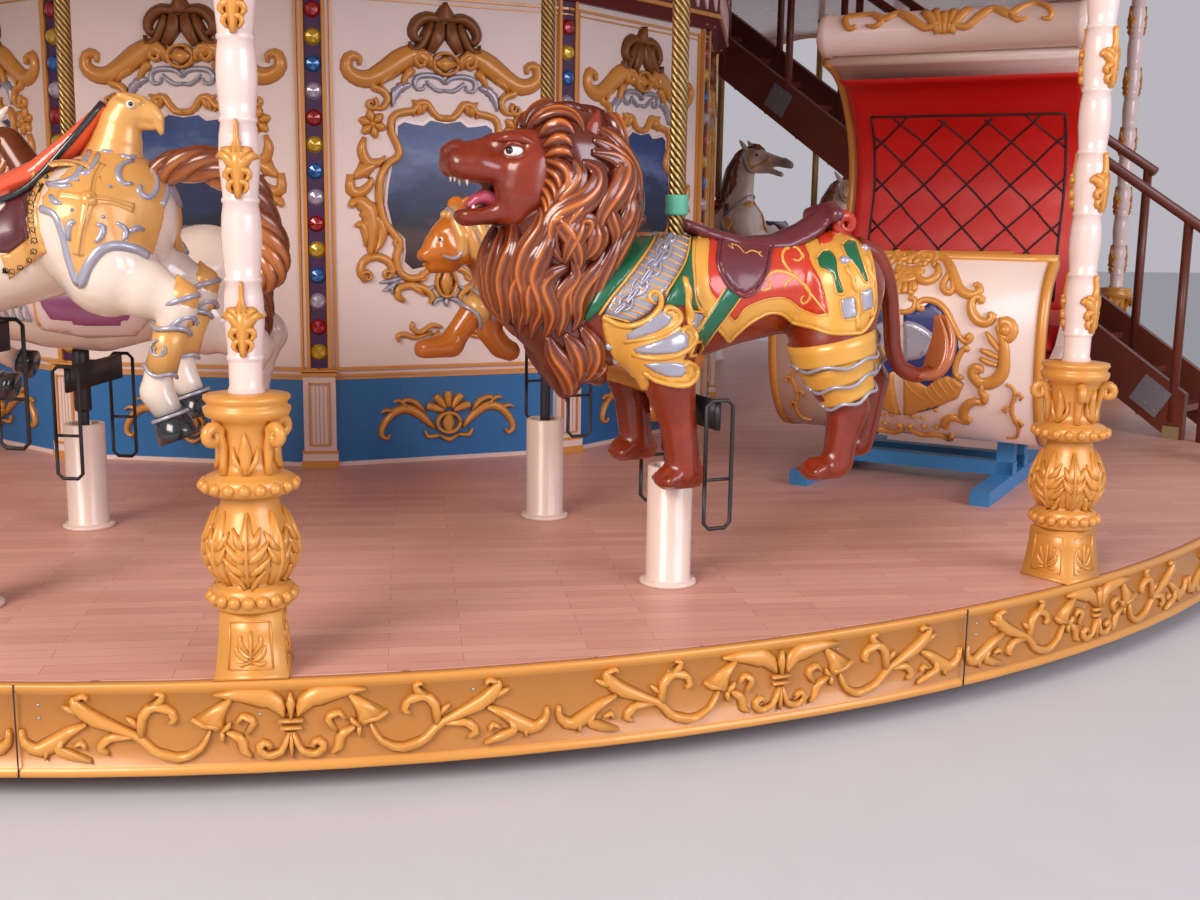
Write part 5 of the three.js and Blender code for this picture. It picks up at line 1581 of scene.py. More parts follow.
def panelRelief():
    gold = [
        carving([(415, 305), (350, 262), (280, 290), (215, 335), (150, 368), (95, 362), (62, 330), (74, 286),
                 (112, 290), (112, 318)], [34, 62, 74, 66, 56, 50, 44, 36, 26, 12], 0.034, 22, 5, ribs=2),
        curl(362, 288, 42, -1.3, 30, 26, 0.038),
        carving([(330, 320), (300, 350), (285, 392)], [34, 30, 8], lobes=2),
        carving([(250, 340), (215, 365), (195, 392)], [34, 26, 8], lobes=2),
        carving([(160, 380), (170, 400), (205, 410), (225, 440), (205, 475), (170, 482)],
                [16, 26, 28, 26, 22, 12]),
        curl(158, 462, 26, 1.2, 300, 20),
        carving([(130, 592), (118, 640), (140, 690), (185, 690), (212, 662)], [16, 34, 40, 28, 8], ribs=1),
        carving([(168, 700), (125, 722), (82, 752)], [20, 56, 14], lobes=3, ribs=1),
        carving([(72, 738), (72, 800), (112, 808), (152, 772), (150, 745)], [26, 38, 36, 26, 8], ribs=1),
        carving([(66, 866), (90, 842), (130, 862), (150, 905), (152, 980), (146, 1060)],
                [22, 34, 62, 74, 60, 14], 0.032, 16, 5, lobes=5, ribs=2),
        carving([(86, 940), (112, 935), (128, 970), (126, 1020)], [14, 28, 30, 8]),
        carving([(168, 900), (195, 940), (190, 1000), (160, 1050)], [14, 40, 36, 8], lobes=3),
        carving([(128, 1160), (104, 1120), (124, 1075), (170, 1062), (218, 1080), (238, 1120), (218, 1150)],
                [24, 28, 30, 30, 30, 26, 12]),
        curl(132, 1142, 24, 1.1, 200, 18), curl(214, 1136, 20, -1.1, 340, 16),
        carving([(282, 1240), (256, 1222), (262, 1190), (310, 1178), (370, 1192), (404, 1228), (388, 1250)],
                [20, 24, 28, 28, 28, 24, 10]),
        carving([(310, 1178), (340, 1196), (372, 1222)], [14, 22, 6]),
        carving([(462, 508), (430, 505), (404, 478), (386, 452), (352, 452), (330, 482),
                 (285, 490), (246, 508), (236, 562), (262, 618), (268, 660), (216, 700), (190, 760),
                 (186, 840), (202, 915), (236, 962), (268, 1004), (254, 1060), (258, 1112), (300, 1148),
                 (350, 1146), (380, 1122), (420, 1104), (462, 1100)], [24, 26, 30, 24], 0.03, 46),
        carving([(348, 498), (352, 465), (326, 440)], [20, 30, 8], lobes=2),
        carving([(362, 492), (384, 452), (412, 478)], [20, 28, 8], lobes=2),
        carving([(330, 470), (330, 505)], [14, 8]),
        curl(262, 1002, 22, 1.0, 60, 16), curl(362, 1136, 22, -1.0, 120, 16),
        carving([(440, 1352), (400, 1342), (350, 1372), (315, 1352), (318, 1325)], [14, 18, 20, 18, 8]),
        carving([(400, 1372), (330, 1392), (285, 1378), (256, 1384), (258, 1408)], [12, 18, 20, 18, 8]),
        carving([(430, 1366), (400, 1400), (430, 1410)], [10, 18, 8]),
    ]
    for k in range(6):
        turn = tau * k / 6 + 0.3
        gold.append(carving([(162 + 10 * math.cos(turn), 540 + 10 * math.sin(turn)),
                             (162 + 36 * math.cos(turn), 540 + 36 * math.sin(turn)),
                             (162 + 56 * math.cos(turn), 540 + 56 * math.sin(turn))],
                            [16, 36, 12], 0.022, 5, 3))
    gold.append(stud(carved([(162, 540)])[0], 0.018, 0.032, 8))
    oval = [(462 + 52 * math.cos(t), 295 + 42 * math.sin(t)) for t in np.linspace(0, tau, 17)]
    low = [(462 + 42 * math.cos(t), 1168 + 58 * math.sin(t)) for t in np.linspace(0, tau, 17)]
    middle = [carving(oval, 14, 0.04, 20, 3), carving(low, 14, 0.034, 20, 3),
              stroke(carved([(418, 295), (462, 295), (506, 295)]), np.array([20, 80, 20]) / 796, 0.03, 7),
              stroke(carved([(462, 1115), (462, 1168), (462, 1222)]), np.array([24, 78, 24]) / 796, 0.026, 7)]
    crest = [
        carving([(448, 128), (392, 118), (348, 140), (328, 180), (346, 208), (366, 196)],
                [30, 38, 42, 36, 26, 10], 0.034, ribs=1),
        carving([(440, 136), (432, 190), (400, 250)], [34, 50, 30], 0.038, 9, 5, ribs=3),
        carving([(404, 140), (384, 190), (356, 236), (322, 244), (318, 216)],
                [34, 42, 34, 24, 10], 0.034, ribs=2),
    ]
    top = [carving([(462, 132), (462, 96), (462, 58)], [92, 60, 14], 0.04, 8, 5, ribs=1)]
    silver = [
        carving([(462, 372), (440, 350), (398, 342), (352, 348), (334, 372), (346, 398),
                 (372, 394), (376, 376)],
                [14, 18, 20, 20, 18, 14, 12, 6], 0.022),
        carving([(462, 398), (430, 400), (398, 380), (384, 362)], [12, 16, 16, 6], 0.02),
        carving([(318, 382), (282, 392), (254, 420), (242, 472)], [16, 34, 34, 6], 0.022, lobes=4),
        carving([(276, 1146), (232, 1158), (180, 1166)], [12, 22, 5], 0.02),
        carving([(262, 1156), (224, 1186), (194, 1200)], [12, 22, 5], 0.02),
        carving([(248, 1164), (232, 1190), (236, 1214)], [12, 18, 5], 0.02),
        carving([(448, 1232), (420, 1240), (402, 1262)], [12, 22, 5], 0.02),
        carving([(410, 1180), (388, 1196), (396, 1214)], [10, 18, 5], 0.02),
    ]
    foot = [carving([(462, 1232), (462, 1250), (462, 1266)], [14, 26, 6], 0.022, 5)]
    return {"gold": bothSides(gold) + middle, "crest": bothSides(crest) + top,
            "silver": bothSides(silver) + foot}


def flatPlate(outline, low, high):
    count = len(outline)
    points = [(u, v, low) for u, v in outline] + [(u, v, high) for u, v in outline]
    faces = [list(range(count))[::-1], [count + i for i in range(count)]]
    faces += [[i, (i + 1) % count, count + (i + 1) % count, count + i] for i in range(count)]
    return np.array(points, float), faces


def symmetric(half, scale=1.0, centre=(0.0, 0.0)):
    points = carved(half)
    full = points + [(-u, v) for u, v in points[::-1][1:-1]]
    return [(centre[0] + (u - centre[0]) * scale, centre[1] + (v - centre[1]) * scale) for u, v in full]


def dadoRelief():
    petals = []
    for angle in (20, 55, 90, 125, 160):
        turn = math.radians(angle)
        petals.append(stroke([(0.03 * math.cos(turn), 0.02 + 0.03 * math.sin(turn)),
                              (0.08 * math.cos(turn), 0.02 + 0.075 * math.sin(turn)),
                              (0.125 * math.cos(turn), 0.02 + 0.11 * math.sin(turn))],
                             [0.03, 0.055, 0.045], 0.026, 6, 4))
    ring = [(0.062 * math.cos(t), -0.035 + 0.052 * math.sin(t)) for t in np.linspace(0, tau, 21)]
    side = [stroke([(0.08, -0.06), (0.15, 0.01), (0.22, 0.045), (0.29, 0.03), (0.345, -0.03), (0.36, -0.085),
                    (0.33, -0.105), (0.315, -0.08)], [0.03, 0.06, 0.06, 0.05, 0.044, 0.036, 0.026, 0.01],
                   0.026, 18, 5, ribs=2),
            stroke([(0.13, 0.03), (0.18, 0.08), (0.23, 0.092), (0.25, 0.075)],
                   [0.02, 0.036, 0.03, 0.01], 0.024, 8, 4, lobes=2),
            stroke([(0.22, 0.05), (0.26, 0.09), (0.3, 0.085)], [0.016, 0.03, 0.008], 0.022, 7, 4, lobes=2),
            stroke([(0.27, 0.02), (0.33, 0.045), (0.365, 0.03)], [0.016, 0.026, 0.008], 0.022, 7, 4),
            stroke([(0.05, -0.1), (0.11, -0.105), (0.13, -0.07)], [0.02, 0.03, 0.014], 0.022, 7)]
    top = [stroke([(0, -0.09), (0, -0.035), (0, 0.02)], [0.03, 0.09, 0.04], 0.024, 8, 5),
           stroke([(0.05, -0.1), (0.0, -0.125), (-0.05, -0.1)], [0.014, 0.036, 0.014], 0.026, 8)]
    return joinShapes(petals + [stroke(ring, 0.026, 0.03, 22)] + bothSides(side) + top)


def pilasterShapes():
    half, reach, low = 0.0925, 0.055, 0.0
    white = [boxShape((-half + 0.012, -0.03, 0.07), (half - 0.012, reach - 0.012, 0.47)),
             boxShape((-half + 0.004, -0.03, 0.035), (half - 0.004, reach - 0.005, 0.08))]
    white += [boxShape((x - 0.008, reach - 0.014, 0.13), (x + 0.008, reach - 0.006, 0.42))
              for x in (-0.03, -0.01, 0.01, 0.03)]
    gold = [boxShape((-half, -0.03, low), (half, reach, 0.036)),
            boxShape((-half + 0.002, -0.03, 0.072), (half - 0.002, reach - 0.003, 0.086)),
            boxShape((-half + 0.004, -0.03, 0.466), (half - 0.004, reach - 0.004, 0.484)),
            boxShape((-half, -0.03, 0.49), (half, reach, 0.5))]
    for x in (-0.05, 0.05):
        gold.append(boxShape((x - 0.004, reach - 0.014, 0.115), (x + 0.004, reach - 0.004, 0.435)))
    for z in (0.115, 0.43):
        gold.append(boxShape((-0.05, reach - 0.014, z - 0.004), (0.05, reach - 0.004, z + 0.004)))
    return white, gold


# A box drawn with y outwards is stood at a corner of the drum
def atCorner(shape, radius, z):
    points, faces = shape
    return np.stack([points[:, 0], -radius - points[:, 1], z + points[:, 2]], 1), [f[::-1] for f in faces]


def makePanels(values):
    reach, low = values["apothem"], deckTop + values["panelLow"]
    prism = bandShape([(0.4, deckTop + 0.0005), (drumFace, deckTop + 0.0005), (drumFace, ceilingLow - 0.0005),
                       (0.4, ceilingLow - 0.0005)], 12)
    newPiece("drum_panels", *prism, panelPaint, "platform", "white_paint", smooth=False, replaced=["drum"])
    relief = panelRelief()
    finishes = {"gold": (goldPaint, "gold_paint"), "crest": (crestPaint, "gold_paint"),
                "silver": (silverPaint, "gold_paint")}
    for part, (finish, slotName) in finishes.items():
        shape = joinShapes([onPlane(s, reach, 0, low) for s in relief[part]])
        for name, first, count, share in (("near", -2, 4, 0.75), ("far", 2, 8, 0.14)):
            aroundPiece("panel_%s_%s" % (part, name), shape, finish, count, start=15 + 30 * first,
                        step=tau / 12, thin=share)
    picture = onPlane(flatPlate(symmetric(pictureOutline), -0.01, 0.008), reach, 0, low)
    aroundPiece("panel_pictures", picture, picturePaint, 12, start=15, smooth=False)
    lining = onPlane(flatPlate(symmetric(pictureOutline, 1.05, (0, 0.88)), -0.01, 0.006), reach, 0, low)
    aroundPiece("panel_linings", lining, whitePaint, 12, start=15, smooth=False)
    width = values["halfWidth"]
    trims = []
    for z, tall, deep in ((0.445, 0.012, 0.028), (0.462, 0.01, 0.022), (0.492, 0.014, 0.03),
                          (2.335, 0.012, 0.014), (2.31, 0.007, 0.01)):
        trims.append(boxShape((-width, -0.01, z), (width, deep, z + tall)))
    for x in (-width + 0.085, width - 0.085):
        trims.append(boxShape((x - 0.006, -0.01, 0.5), (x + 0.006, 0.012, 2.35)))
    trims = joinShapes([atCorner(t, reach, deckTop) for t in trims])
    aroundPiece("panel_trims", trims, goldPaint, 12, start=15, smooth=False)


# Corner strips with lamps
def makeStrips(values):
    half, slim, foot, top = values["stripHalf"], values["edgeHalf"], values["panelLow"], values["stripTop"]
    purple = atCorner(boxShape((-half, -0.05, foot), (half, 0.0, top)), drumFace, deckTop)
    aroundPiece("strip_fields", purple, purplePaint, 12, smooth=False)
    edges = [boxShape((x - slim, -0.06, foot), (x + slim, 0.012, top))
             for x in (-values["stripEdge"], values["stripEdge"])]
    edges.append(boxShape((-0.08, -0.06, top - 0.02), (0.08, 0.03, top + 0.02)))
    edges = joinShapes([atCorner(edge, drumFace, deckTop) for edge in edges])
    aroundPiece("strip_edges", edges, goldPaint, 12, smooth=False)
    for k, finish in enumerate(lampPaints):
        glass = stud((0, 0), values["lampRadius"], values["lampRise"], 12, 2, 0.0)
        lamps = [onPlane(glass, drumFace, 0, deckTop + values["lampLow"] + values["lampPitch"] * row)
                 for row in range(k, 14, 4)]
        aroundPiece("strip_lamps_%d" % k, joinShapes(lamps), finish, 12, smooth=False)


# Dado with its carvings and pilasters
def makeDado(values):
    reach, width, tall = values["apothem"], values["halfWidth"], values["dadoTall"]
    outer = drumFace + values["dadoOut"]
    dado = bandShape([(drumFace - 0.03, deckTop + 0.001), (outer, deckTop + 0.001), (outer, deckTop + tall),
                      (drumFace - 0.03, deckTop + tall)], 12)
    newPiece("dado_panels", *dado, bluePaint, "platform", "blue_paint", smooth=False, replaced=["drum_dado"])
    edge = outer * math.cos(math.pi / 12)
    plinth = boxShape((-width - 0.006, -0.01, 0.0), (width + 0.006, 0.01, 0.022))
    aroundPiece("dado_skirting", atCorner(plinth, edge, deckTop + 0.001), whitePaint, 12,
                start=15, smooth=False)
    aroundPiece("dado_carvings", onPlane(dadoRelief(), edge, 0, deckTop + 0.235), goldPaint, 12,
                start=15)
    band = atCorner(boxShape((-width - 0.006, -0.01, tall), (width + 0.006, 0.016, tall + 0.05)), reach,
                    deckTop)
    aroundPiece("dado_band", band, whitePaint, 12, start=15, smooth=False)
    white, gold = pilasterShapes()
    aroundPiece("pilasters", joinShapes([atCorner(s, drumFace + 0.004, deckTop + 0.001) for s in white]),
                whitePaint, 12, smooth=False)
    aroundPiece("pilaster_trims", joinShapes([atCorner(s, drumFace + 0.004, deckTop + 0.001) for s in gold]),
                goldPaint, 12, smooth=False)


# Cornice with scalloped drops
def makeCornice(values):
    top, outer = deckTop + values["corniceLow"], drumFace + values["corniceOut"]
    section = [(drumFace + 0.001, top), (drumFace + 0.03, top), (drumFace + 0.05, top + 0.03),
               (outer, top + 0.06), (outer, top + 0.32), (drumFace + 0.12, top + 0.4),
               (drumFace + 0.12, ceilingLow - 0.001), (drumFace + 0.001, ceilingLow - 0.001)]
    newPiece("cornice", *bandShape(section, 12), cornicePaint, "platform", "white_paint", smooth=False,
             replaced=["drum_cornice"])
    face, wide = outer * math.cos(math.pi / 12), outer * math.sin(math.pi / 12)
    drops = []
    for k in range(14):
        x = -wide + 0.05 + (2 * wide - 0.1) * k / 13
        drops.append(stroke([(x, 0.28), (x, 0.17), (x, 0.1)], [0.05, 0.07, 0.02], 0.012, 5, 3))
    aroundPiece("cornice_drops", joinShapes([onPlane(s, face, 0, top) for s in drops]), dropPaint,
                12, start=15)
    lips = [boxShape((-wide - 0.004, -0.02, z), (wide + 0.004, 0.014, z + 0.022)) for z in (0.06, 0.3)]
    lips = joinShapes([atCorner(lip, face, top) for lip in lips])
    aroundPiece("cornice_lips", lips, goldPaint, 12, start=15, smooth=False)


for make in (makePanels, makeStrips, makeDado, makeCornice):
    make(drum)
print("drum made")


# Poles: twisted brass above the animal, plain rod below, black steel cross plate and footrests
pole = {"twistLow": 1.2, "twist": 0.0295, "rodLow": 0.15, "rod": 0.022, "hub": 0.034, "hubLow": 0.48,
        "hubHigh": 0.73, "plateLow": 0.587, "plateHigh": 0.688, "plateHalf": 0.245, "stepAside": 0.25,
        "bar": 0.0075, "rung": 0.006}


def poleShapes(top, lift):
    v = pole
    start, end, twisted, slim, hub = v["twistLow"] + lift, top - deckTop, v["twist"], v["rod"], v["hub"]
    twist = turnedShape([(twisted - 0.0025, start), (twisted, start + 0.004), (twisted, end - 0.004),
                         (twisted - 0.0025, end)], 16)
    rod = turnedShape([(slim - 0.0005, v["rodLow"]), (slim, v["rodLow"] + 0.01), (slim, start),
                       (slim - 0.0005, start + 0.005)], 16)
    steel = [turnedShape([(hub - 0.004, v["hubLow"]), (hub, v["hubLow"] + 0.01), (hub, v["hubHigh"] - 0.01),
                          (hub - 0.004, v["hubHigh"])], 16),
             boxShape((-0.062, -v["plateHalf"], v["plateLow"]), (-0.048, v["plateHalf"], v["plateHigh"])),
             boxShape((-0.06, -0.02, v["plateLow"]), (0.0, 0.02, v["plateHigh"] + 0.001))]
    for side in (-1, 1):
        y = v["stepAside"] * side
        loop = [(-0.005, y, 0.4), (-0.005, y, 0.27), (-0.025, y, 0.25), (-0.085, y, 0.25), (-0.105, y, 0.27),
                (-0.105, y, 0.4), (-0.105, y, 0.67), (-0.085, y, 0.69), (-0.025, y, 0.69), (-0.005, y, 0.67),
                (-0.005, y, 0.4)]
        rung = [(-0.005, y, 0.42), (-0.105, y, 0.42)]
        steel += [tubeShape(loop, v["bar"], 8), tubeShape(rung, v["rung"], 8)]
    for shape in steel:
        shape[0][:, 2] += lift
    return [twist], [rod], steel


# Turn and height of each corner, for the rope twist
def wrapTurns(made):
    layer = made.data.uv_layers.new(name="turns")
    for face in made.data.polygons:
        spots = [made.data.vertices[i].co for i in face.vertices]
        turns = [math.atan2(p.y, p.x) / tau for p in spots]
        for loop, spot, turn in zip(face.loop_indices, spots, turns):
            layer.data[loop].uv = (turn + (1 if max(turns) - turn > 0.5 else 0), spot.z)


def makePoles():
    for name, rider in riders.items():
        twist, rod, steel = poleShapes(rider["top"], rider["lift"])
        near = name in ("lion_1", "tiger_1", "horse_1", "horse_2", "horse_7", "horse_8")
        for part, shapes, finish in (("twist", twist, twistedBrass), ("rod", rod, blackSteel),
                                     ("steps", steel, blackSteel)):
            made = newPiece("%s_pole_%s" % (name, part), *joinShapes(shapes), finish)
            if part == "twist":
                wrapTurns(made)
            if not near and part == "steps":
                thinOut(made, 0.35)
            made.data.transform(riderFrame(name, False))
            finishPiece(made, name + "_jumper", [name + "_pole"])


makePoles()
print("poles made")


# Horses: cream white with legs drawn up, four in armour with an eagle's head behind
# the saddle, four in blankets
horseEnamel = paintFinish("horse_cream_enamel", "#f0e4d6", "#ded0c2", 0.2, coat=0.6, paint="tint", cloud=4)
hoofEnamel = paintFinish("hoof_black_enamel", "#17191c", "#22262a", 0.18, coat=0.7)
copperEnamel = paintFinish("tail_copper_enamel", "#b3652a", "#8e4618", 0.25, 0.15, coat=0.5,
                           paint="tint", cloud=5)
saddleOrange = paintFinish("saddle_orange_enamel", "#f4603a", "#e8502c", 0.2, coat=0.7)
clothMaroon = paintFinish("cloth_maroon_enamel", "#5f1f27", "#4a161d", 0.25, coat=0.5)
clothPink = paintFinish("blanket_pink_enamel", "#a4577e", "#8d4470", 0.3, coat=0.4)
rollBlue = paintFinish("saddle_roll_blue_enamel", "#2f3f8a", "#4a2a6c", 0.25, coat=0.5)
# The hollow colour of the armour gold is painted shade in its hollows
armourGold = paintFinish("armour_gold_enamel", "#e2ab62", "#d39a4e", 0.3, 0.1, coat=0.4, hollowShade="#a06526")
sideGrid = (0, 80, 4)

horse = {
    "cell": 0.0165,
    "barrel": [[0.27, 0, 0.95, 0.175], [0.1, 0, 0.92, 0.185], [-0.1, 0, 0.905, 0.18], [-0.32, 0, 0.965, 0.18],
               [-0.5, 0, 1.025, 0.19], [-0.54, 0, 1.03, 0.19]],
    "rump": [[-0.53, 0.05, 1.05, 0.165]],
    "chest": [[0.31, 0, 1.0, 0.15], [0.3, 0, 0.9, 0.12]],
    "neck": [[0.2, 0, 1.06, 0.14], [0.25, 0, 1.22, 0.135], [0.28, 0, 1.4, 0.11], [0.31, 0, 1.53, 0.085]],
    "hind": [[-0.5, 0.1, 1.0, 0.175], [-0.57, 0.12, 0.88, 0.145], [-0.68, 0.135, 0.825, 0.092],
             [-0.765, 0.14, 0.8, 0.06], [-0.785, 0.14, 0.765, 0.052]],
    "hindCannon": [[-0.785, 0.14, 0.77, 0.05], [-0.745, 0.14, 0.66, 0.042], [-0.715, 0.14, 0.56, 0.044],
                   [-0.708, 0.14, 0.51, 0.053], [-0.735, 0.14, 0.462, 0.045]],
    "hindHoof": [[-0.744, 0.14, 0.445, 0.05], [-0.764, 0.14, 0.39, 0.062]],
    "fore": [[0.3, 0.11, 0.95, 0.12], [0.35, 0.125, 0.86, 0.092], [0.43, 0.14, 0.77, 0.06],
             [0.475, 0.14, 0.725, 0.05]],
    "foreCannon": [[0.475, 0.14, 0.725, 0.05], [0.39, 0.14, 0.665, 0.037], [0.32, 0.14, 0.62, 0.042],
                   [0.29, 0.14, 0.608, 0.043]],
    "foreHoof": [[0.275, 0.14, 0.603, 0.046], [0.232, 0.14, 0.592, 0.057]],
    "flyingTail": [[-0.64, 0, 1.14], [-0.74, 0, 1.19], [-0.86, 0, 1.195], [-0.96, 0, 1.13], [-1.0, 0, 1.03],
                   [-1.035, 0, 0.94], [-1.03, 0, 0.87], [-0.99, 0, 0.83]],
    "hangingTail": [[-0.64, 0, 1.13], [-0.72, 0, 1.1], [-0.755, 0, 1.02], [-0.765, 0, 0.92],
                    [-0.762, 0, 0.84], [-0.75, 0, 0.77]],
}


def horseBody():
    v = horse
    parts = [limb(v["barrel"], 0.06, 0.95)]
    parts += mirrorParts([limb(v["rump"], 0.06)])
    parts += [limb(v["chest"], 0.06), limb(v["neck"], 0.08, 0.66)]
    for side, fore, hind in ((1, 0.0, 0.0), (-1, 0.06, 0.03)):
        parts += [limb(moved(v[name], shift, 0, shift, side), 0.03)
                  for name, shift in (("hind", hind), ("hindCannon", hind), ("fore", fore),
                                      ("foreCannon", fore))]
    parts += [limb([[0.33, 0, 1.55, 0.085], [0.42, 0, 1.53, 0.085]], 0.04, 0.82),
              limb([[0.44, 0, 1.545, 0.065], [0.6, 0, 1.505, 0.054], [0.72, 0, 1.48, 0.046]], 0.03, 0.9),
              limb([[0.73, 0, 1.482, 0.044], [0.775, 0, 1.466, 0.038]], 0.02),
              limb([[0.45, 0, 1.45, 0.05], [0.57, 0, 1.43, 0.03], [0.69, 0, 1.395, 0.026]], 0.025)]
    parts += mirrorParts([limb([[0.42, 0.04, 1.485, 0.068]], 0.03),
                          limb([[0.455, 0.055, 1.575, 0.026], [0.5, 0.045, 1.56, 0.02]], 0.02),
                          limb([[0.765, 0.026, 1.478, 0.024]], 0.015)])
    carve = [limb([[0.6, 0, 1.452, 0.01], [0.68, 0, 1.438, 0.018], [0.78, 0, 1.41, 0.03]], 0.01, 2.4)]
    carve += mirrorParts([limb([[0.782, 0.04, 1.482, 0.011]], 0.006)])
    return blobShape(parts, v["cell"], carve)


# Grey dusting on the muzzle and the pasterns, warm cream over the rest
def horseShade(points):
    x, z = points[:, 0], points[:, 2]
    muzzle = np.clip((x - 0.62) / 0.14, 0, 1) * (z > 1.3)
    feet = np.clip((0.52 - z) / 0.08, 0, 1) * 0.8 + np.clip((0.34 - x) / 0.05, 0, 1) * (z < 0.66) * (x > 0.2)
    return between("#f1e6d9", "#6f7a80", np.clip(muzzle * 0.85 + feet * 0.75, 0, 1))


# Bundle of strands wound along a path
def twistedLock(path, reach, strand, count, turns, steps=48):
    line = smoothPath(path, steps)
    aside = np.cross(headings(line, 0), [0, 1.0, 0])
    swell = np.sin(np.linspace(0.35, math.pi * 0.93, steps)) ** 0.5
    shapes = []
    for k in range(count):
        angle = tau * k / count + tau * turns * np.linspace(0, 1, steps)
        offset = aside * np.cos(angle)[:, None] + np.array([0, 1.0, 0]) * np.sin(angle)[:, None]
        strands = line + offset * (reach * swell)[:, None]
        shapes.append(tubeShape(strands, strand * np.maximum(swell, 0.25), 8, steps))
    return shapes


def horseMane(body):
    base = blobShape([limb([[0.36, 0, 1.6, 0.04], [0.25, 0, 1.54, 0.06], [0.17, 0, 1.42, 0.07],
                            [0.12, 0, 1.28, 0.07], [0.1, 0, 1.16, 0.055]], 0.03, 1.15)], 0.014)
    skin = treeOf(joinShapes([body, base]))
    shapes, shades = [], []
    for k in range(11):
        share = k / 10
        start = np.array([0.3 - 0.2 * share, 0.035, 1.6 - 0.42 * share])
        length = 9 if k < 3 else 13

        def flow(p, phase=k):
            return np.array([0.25 * math.sin(p[2] * 22 + phase), 0.0, -1.0])

        shape, shade = lockShape(skin, start, flow, length, 0.02, 0.062, 0.022, 0.5,
                                 0.9 * k, ribs=3, across=6)
        shapes.append(shape)
        shades.append(shade)
    forelock = tubeShape([[0.36, 0.0, 1.64], [0.42, 0.02, 1.63], [0.47, 0.03, 1.6], [0.5, 0.035, 1.57]],
                         [0.02, 0.02, 0.014, 0.004], 8, 14)
    shapes.append(forelock)
    shades.append(np.linspace(0.3, 0.9, len(forelock[0])))
    return base, shapes, np.concatenate(shades)


def ringRound(centre, normal, reach, thick, wave=0.0, waves=5):
    normal = np.array(normal, float) / np.linalg.norm(normal)
    aside = np.cross(normal, [0, 1.0, 0])
    ring = [np.array(centre) + (reach * math.cos(t)) * aside + reach * math.sin(t) * np.array([0, 1.0, 0])
            + normal * wave * math.sin(waves * t) for t in np.linspace(0, tau, 33)]
    return tubeShape(ring, thick, 6)


# Cuffs on the shins and the hock guards with their silver edges
def greaves(side, shift):
    gold, silver = [], []
    low, high = np.array([-0.722, 0.14, 0.575]), np.array([-0.765, 0.14, 0.71])
    for p in (low, high):
        p += (shift, 0, shift)
        p[1] *= side
    gold.append(tubeShape([low, (low + high) / 2, high], [0.05, 0.047, 0.056], 20))
    silver += [ringRound(low, high - low, 0.051, 0.007, 0.008, 3),
               ringRound(high, high - low, 0.057, 0.008, 0.012, 2)]
    for k in (-1, 1):
        swirl = spiral((-0.735 + shift, 0.645 + shift), 0.03, 0.01, 0.9 * k, 90, 10)
        silver.append(tubeShape([[x, 0.14 * side + 0.046 * side, z] for x, z in swirl], 0.004, 5))
    hock = blobShape([limb([[-0.79 + shift, 0.14 * side, 0.86 + shift, 0.012],
                            [-0.795 + shift, 0.14 * side, 0.8 + shift, 0.054],
                            [-0.79 + shift, 0.14 * side, 0.745 + shift, 0.045]], 0.02)], 0.012)
    gold.append(hock)
    silver += [ringRound([-0.792 + shift, 0.14 * side, 0.79 + shift], [0.35, 0, 1], 0.057, 0.009),
               ringRound([-0.79 + shift, 0.14 * side, 0.725 + shift], [0.2, 0, 1], 0.046, 0.009, 0.012, 2)]
    return gold, silver


def eagleHead():
    parts = [limb([[-0.545, 0, 1.2, 0.1], [-0.56, 0, 1.26, 0.078], [-0.572, 0, 1.315, 0.066],
                   [-0.594, 0, 1.354, 0.058]], 0.03, 0.85),
             limb([[-0.635, 0, 1.36, 0.044], [-0.668, 0, 1.35, 0.034]], 0.02, 0.85),
             limb([[-0.66, 0, 1.352, 0.03], [-0.69, 0, 1.336, 0.023], [-0.702, 0, 1.292, 0.009]], 0.008, 0.9),
             limb([[-0.645, 0, 1.32, 0.022], [-0.675, 0, 1.31, 0.012]], 0.008, 0.9)]
    parts += mirrorParts([limb([[-0.595, 0.044, 1.398, 0.013], [-0.65, 0.036, 1.382, 0.009]], 0.01)])
    return blobShape(parts, 0.0075)


def warSaddle():
    seat = blobShape([limb([[0.02, 0, 1.16, 0.03], [-0.06, 0, 1.11, 0.032], [-0.2, 0, 1.11, 0.045],
                            [-0.34, 0, 1.165, 0.05], [-0.45, 0, 1.27, 0.036], [-0.53, 0, 1.365, 0.018]],
                           0.02, 2.5)], 0.012)
    edge = []
    for side in (-1, 1):
        path = [[0.04, 0.05 * side, 1.17], [-0.06, 0.1 * side, 1.1], [-0.2, 0.125 * side, 1.075],
                [-0.33, 0.13 * side, 1.12], [-0.44, 0.1 * side, 1.24], [-0.535, 0.03 * side, 1.378]]
        edge.append(tubeShape(path, 0.011, 8, 24))
    return seat, edge


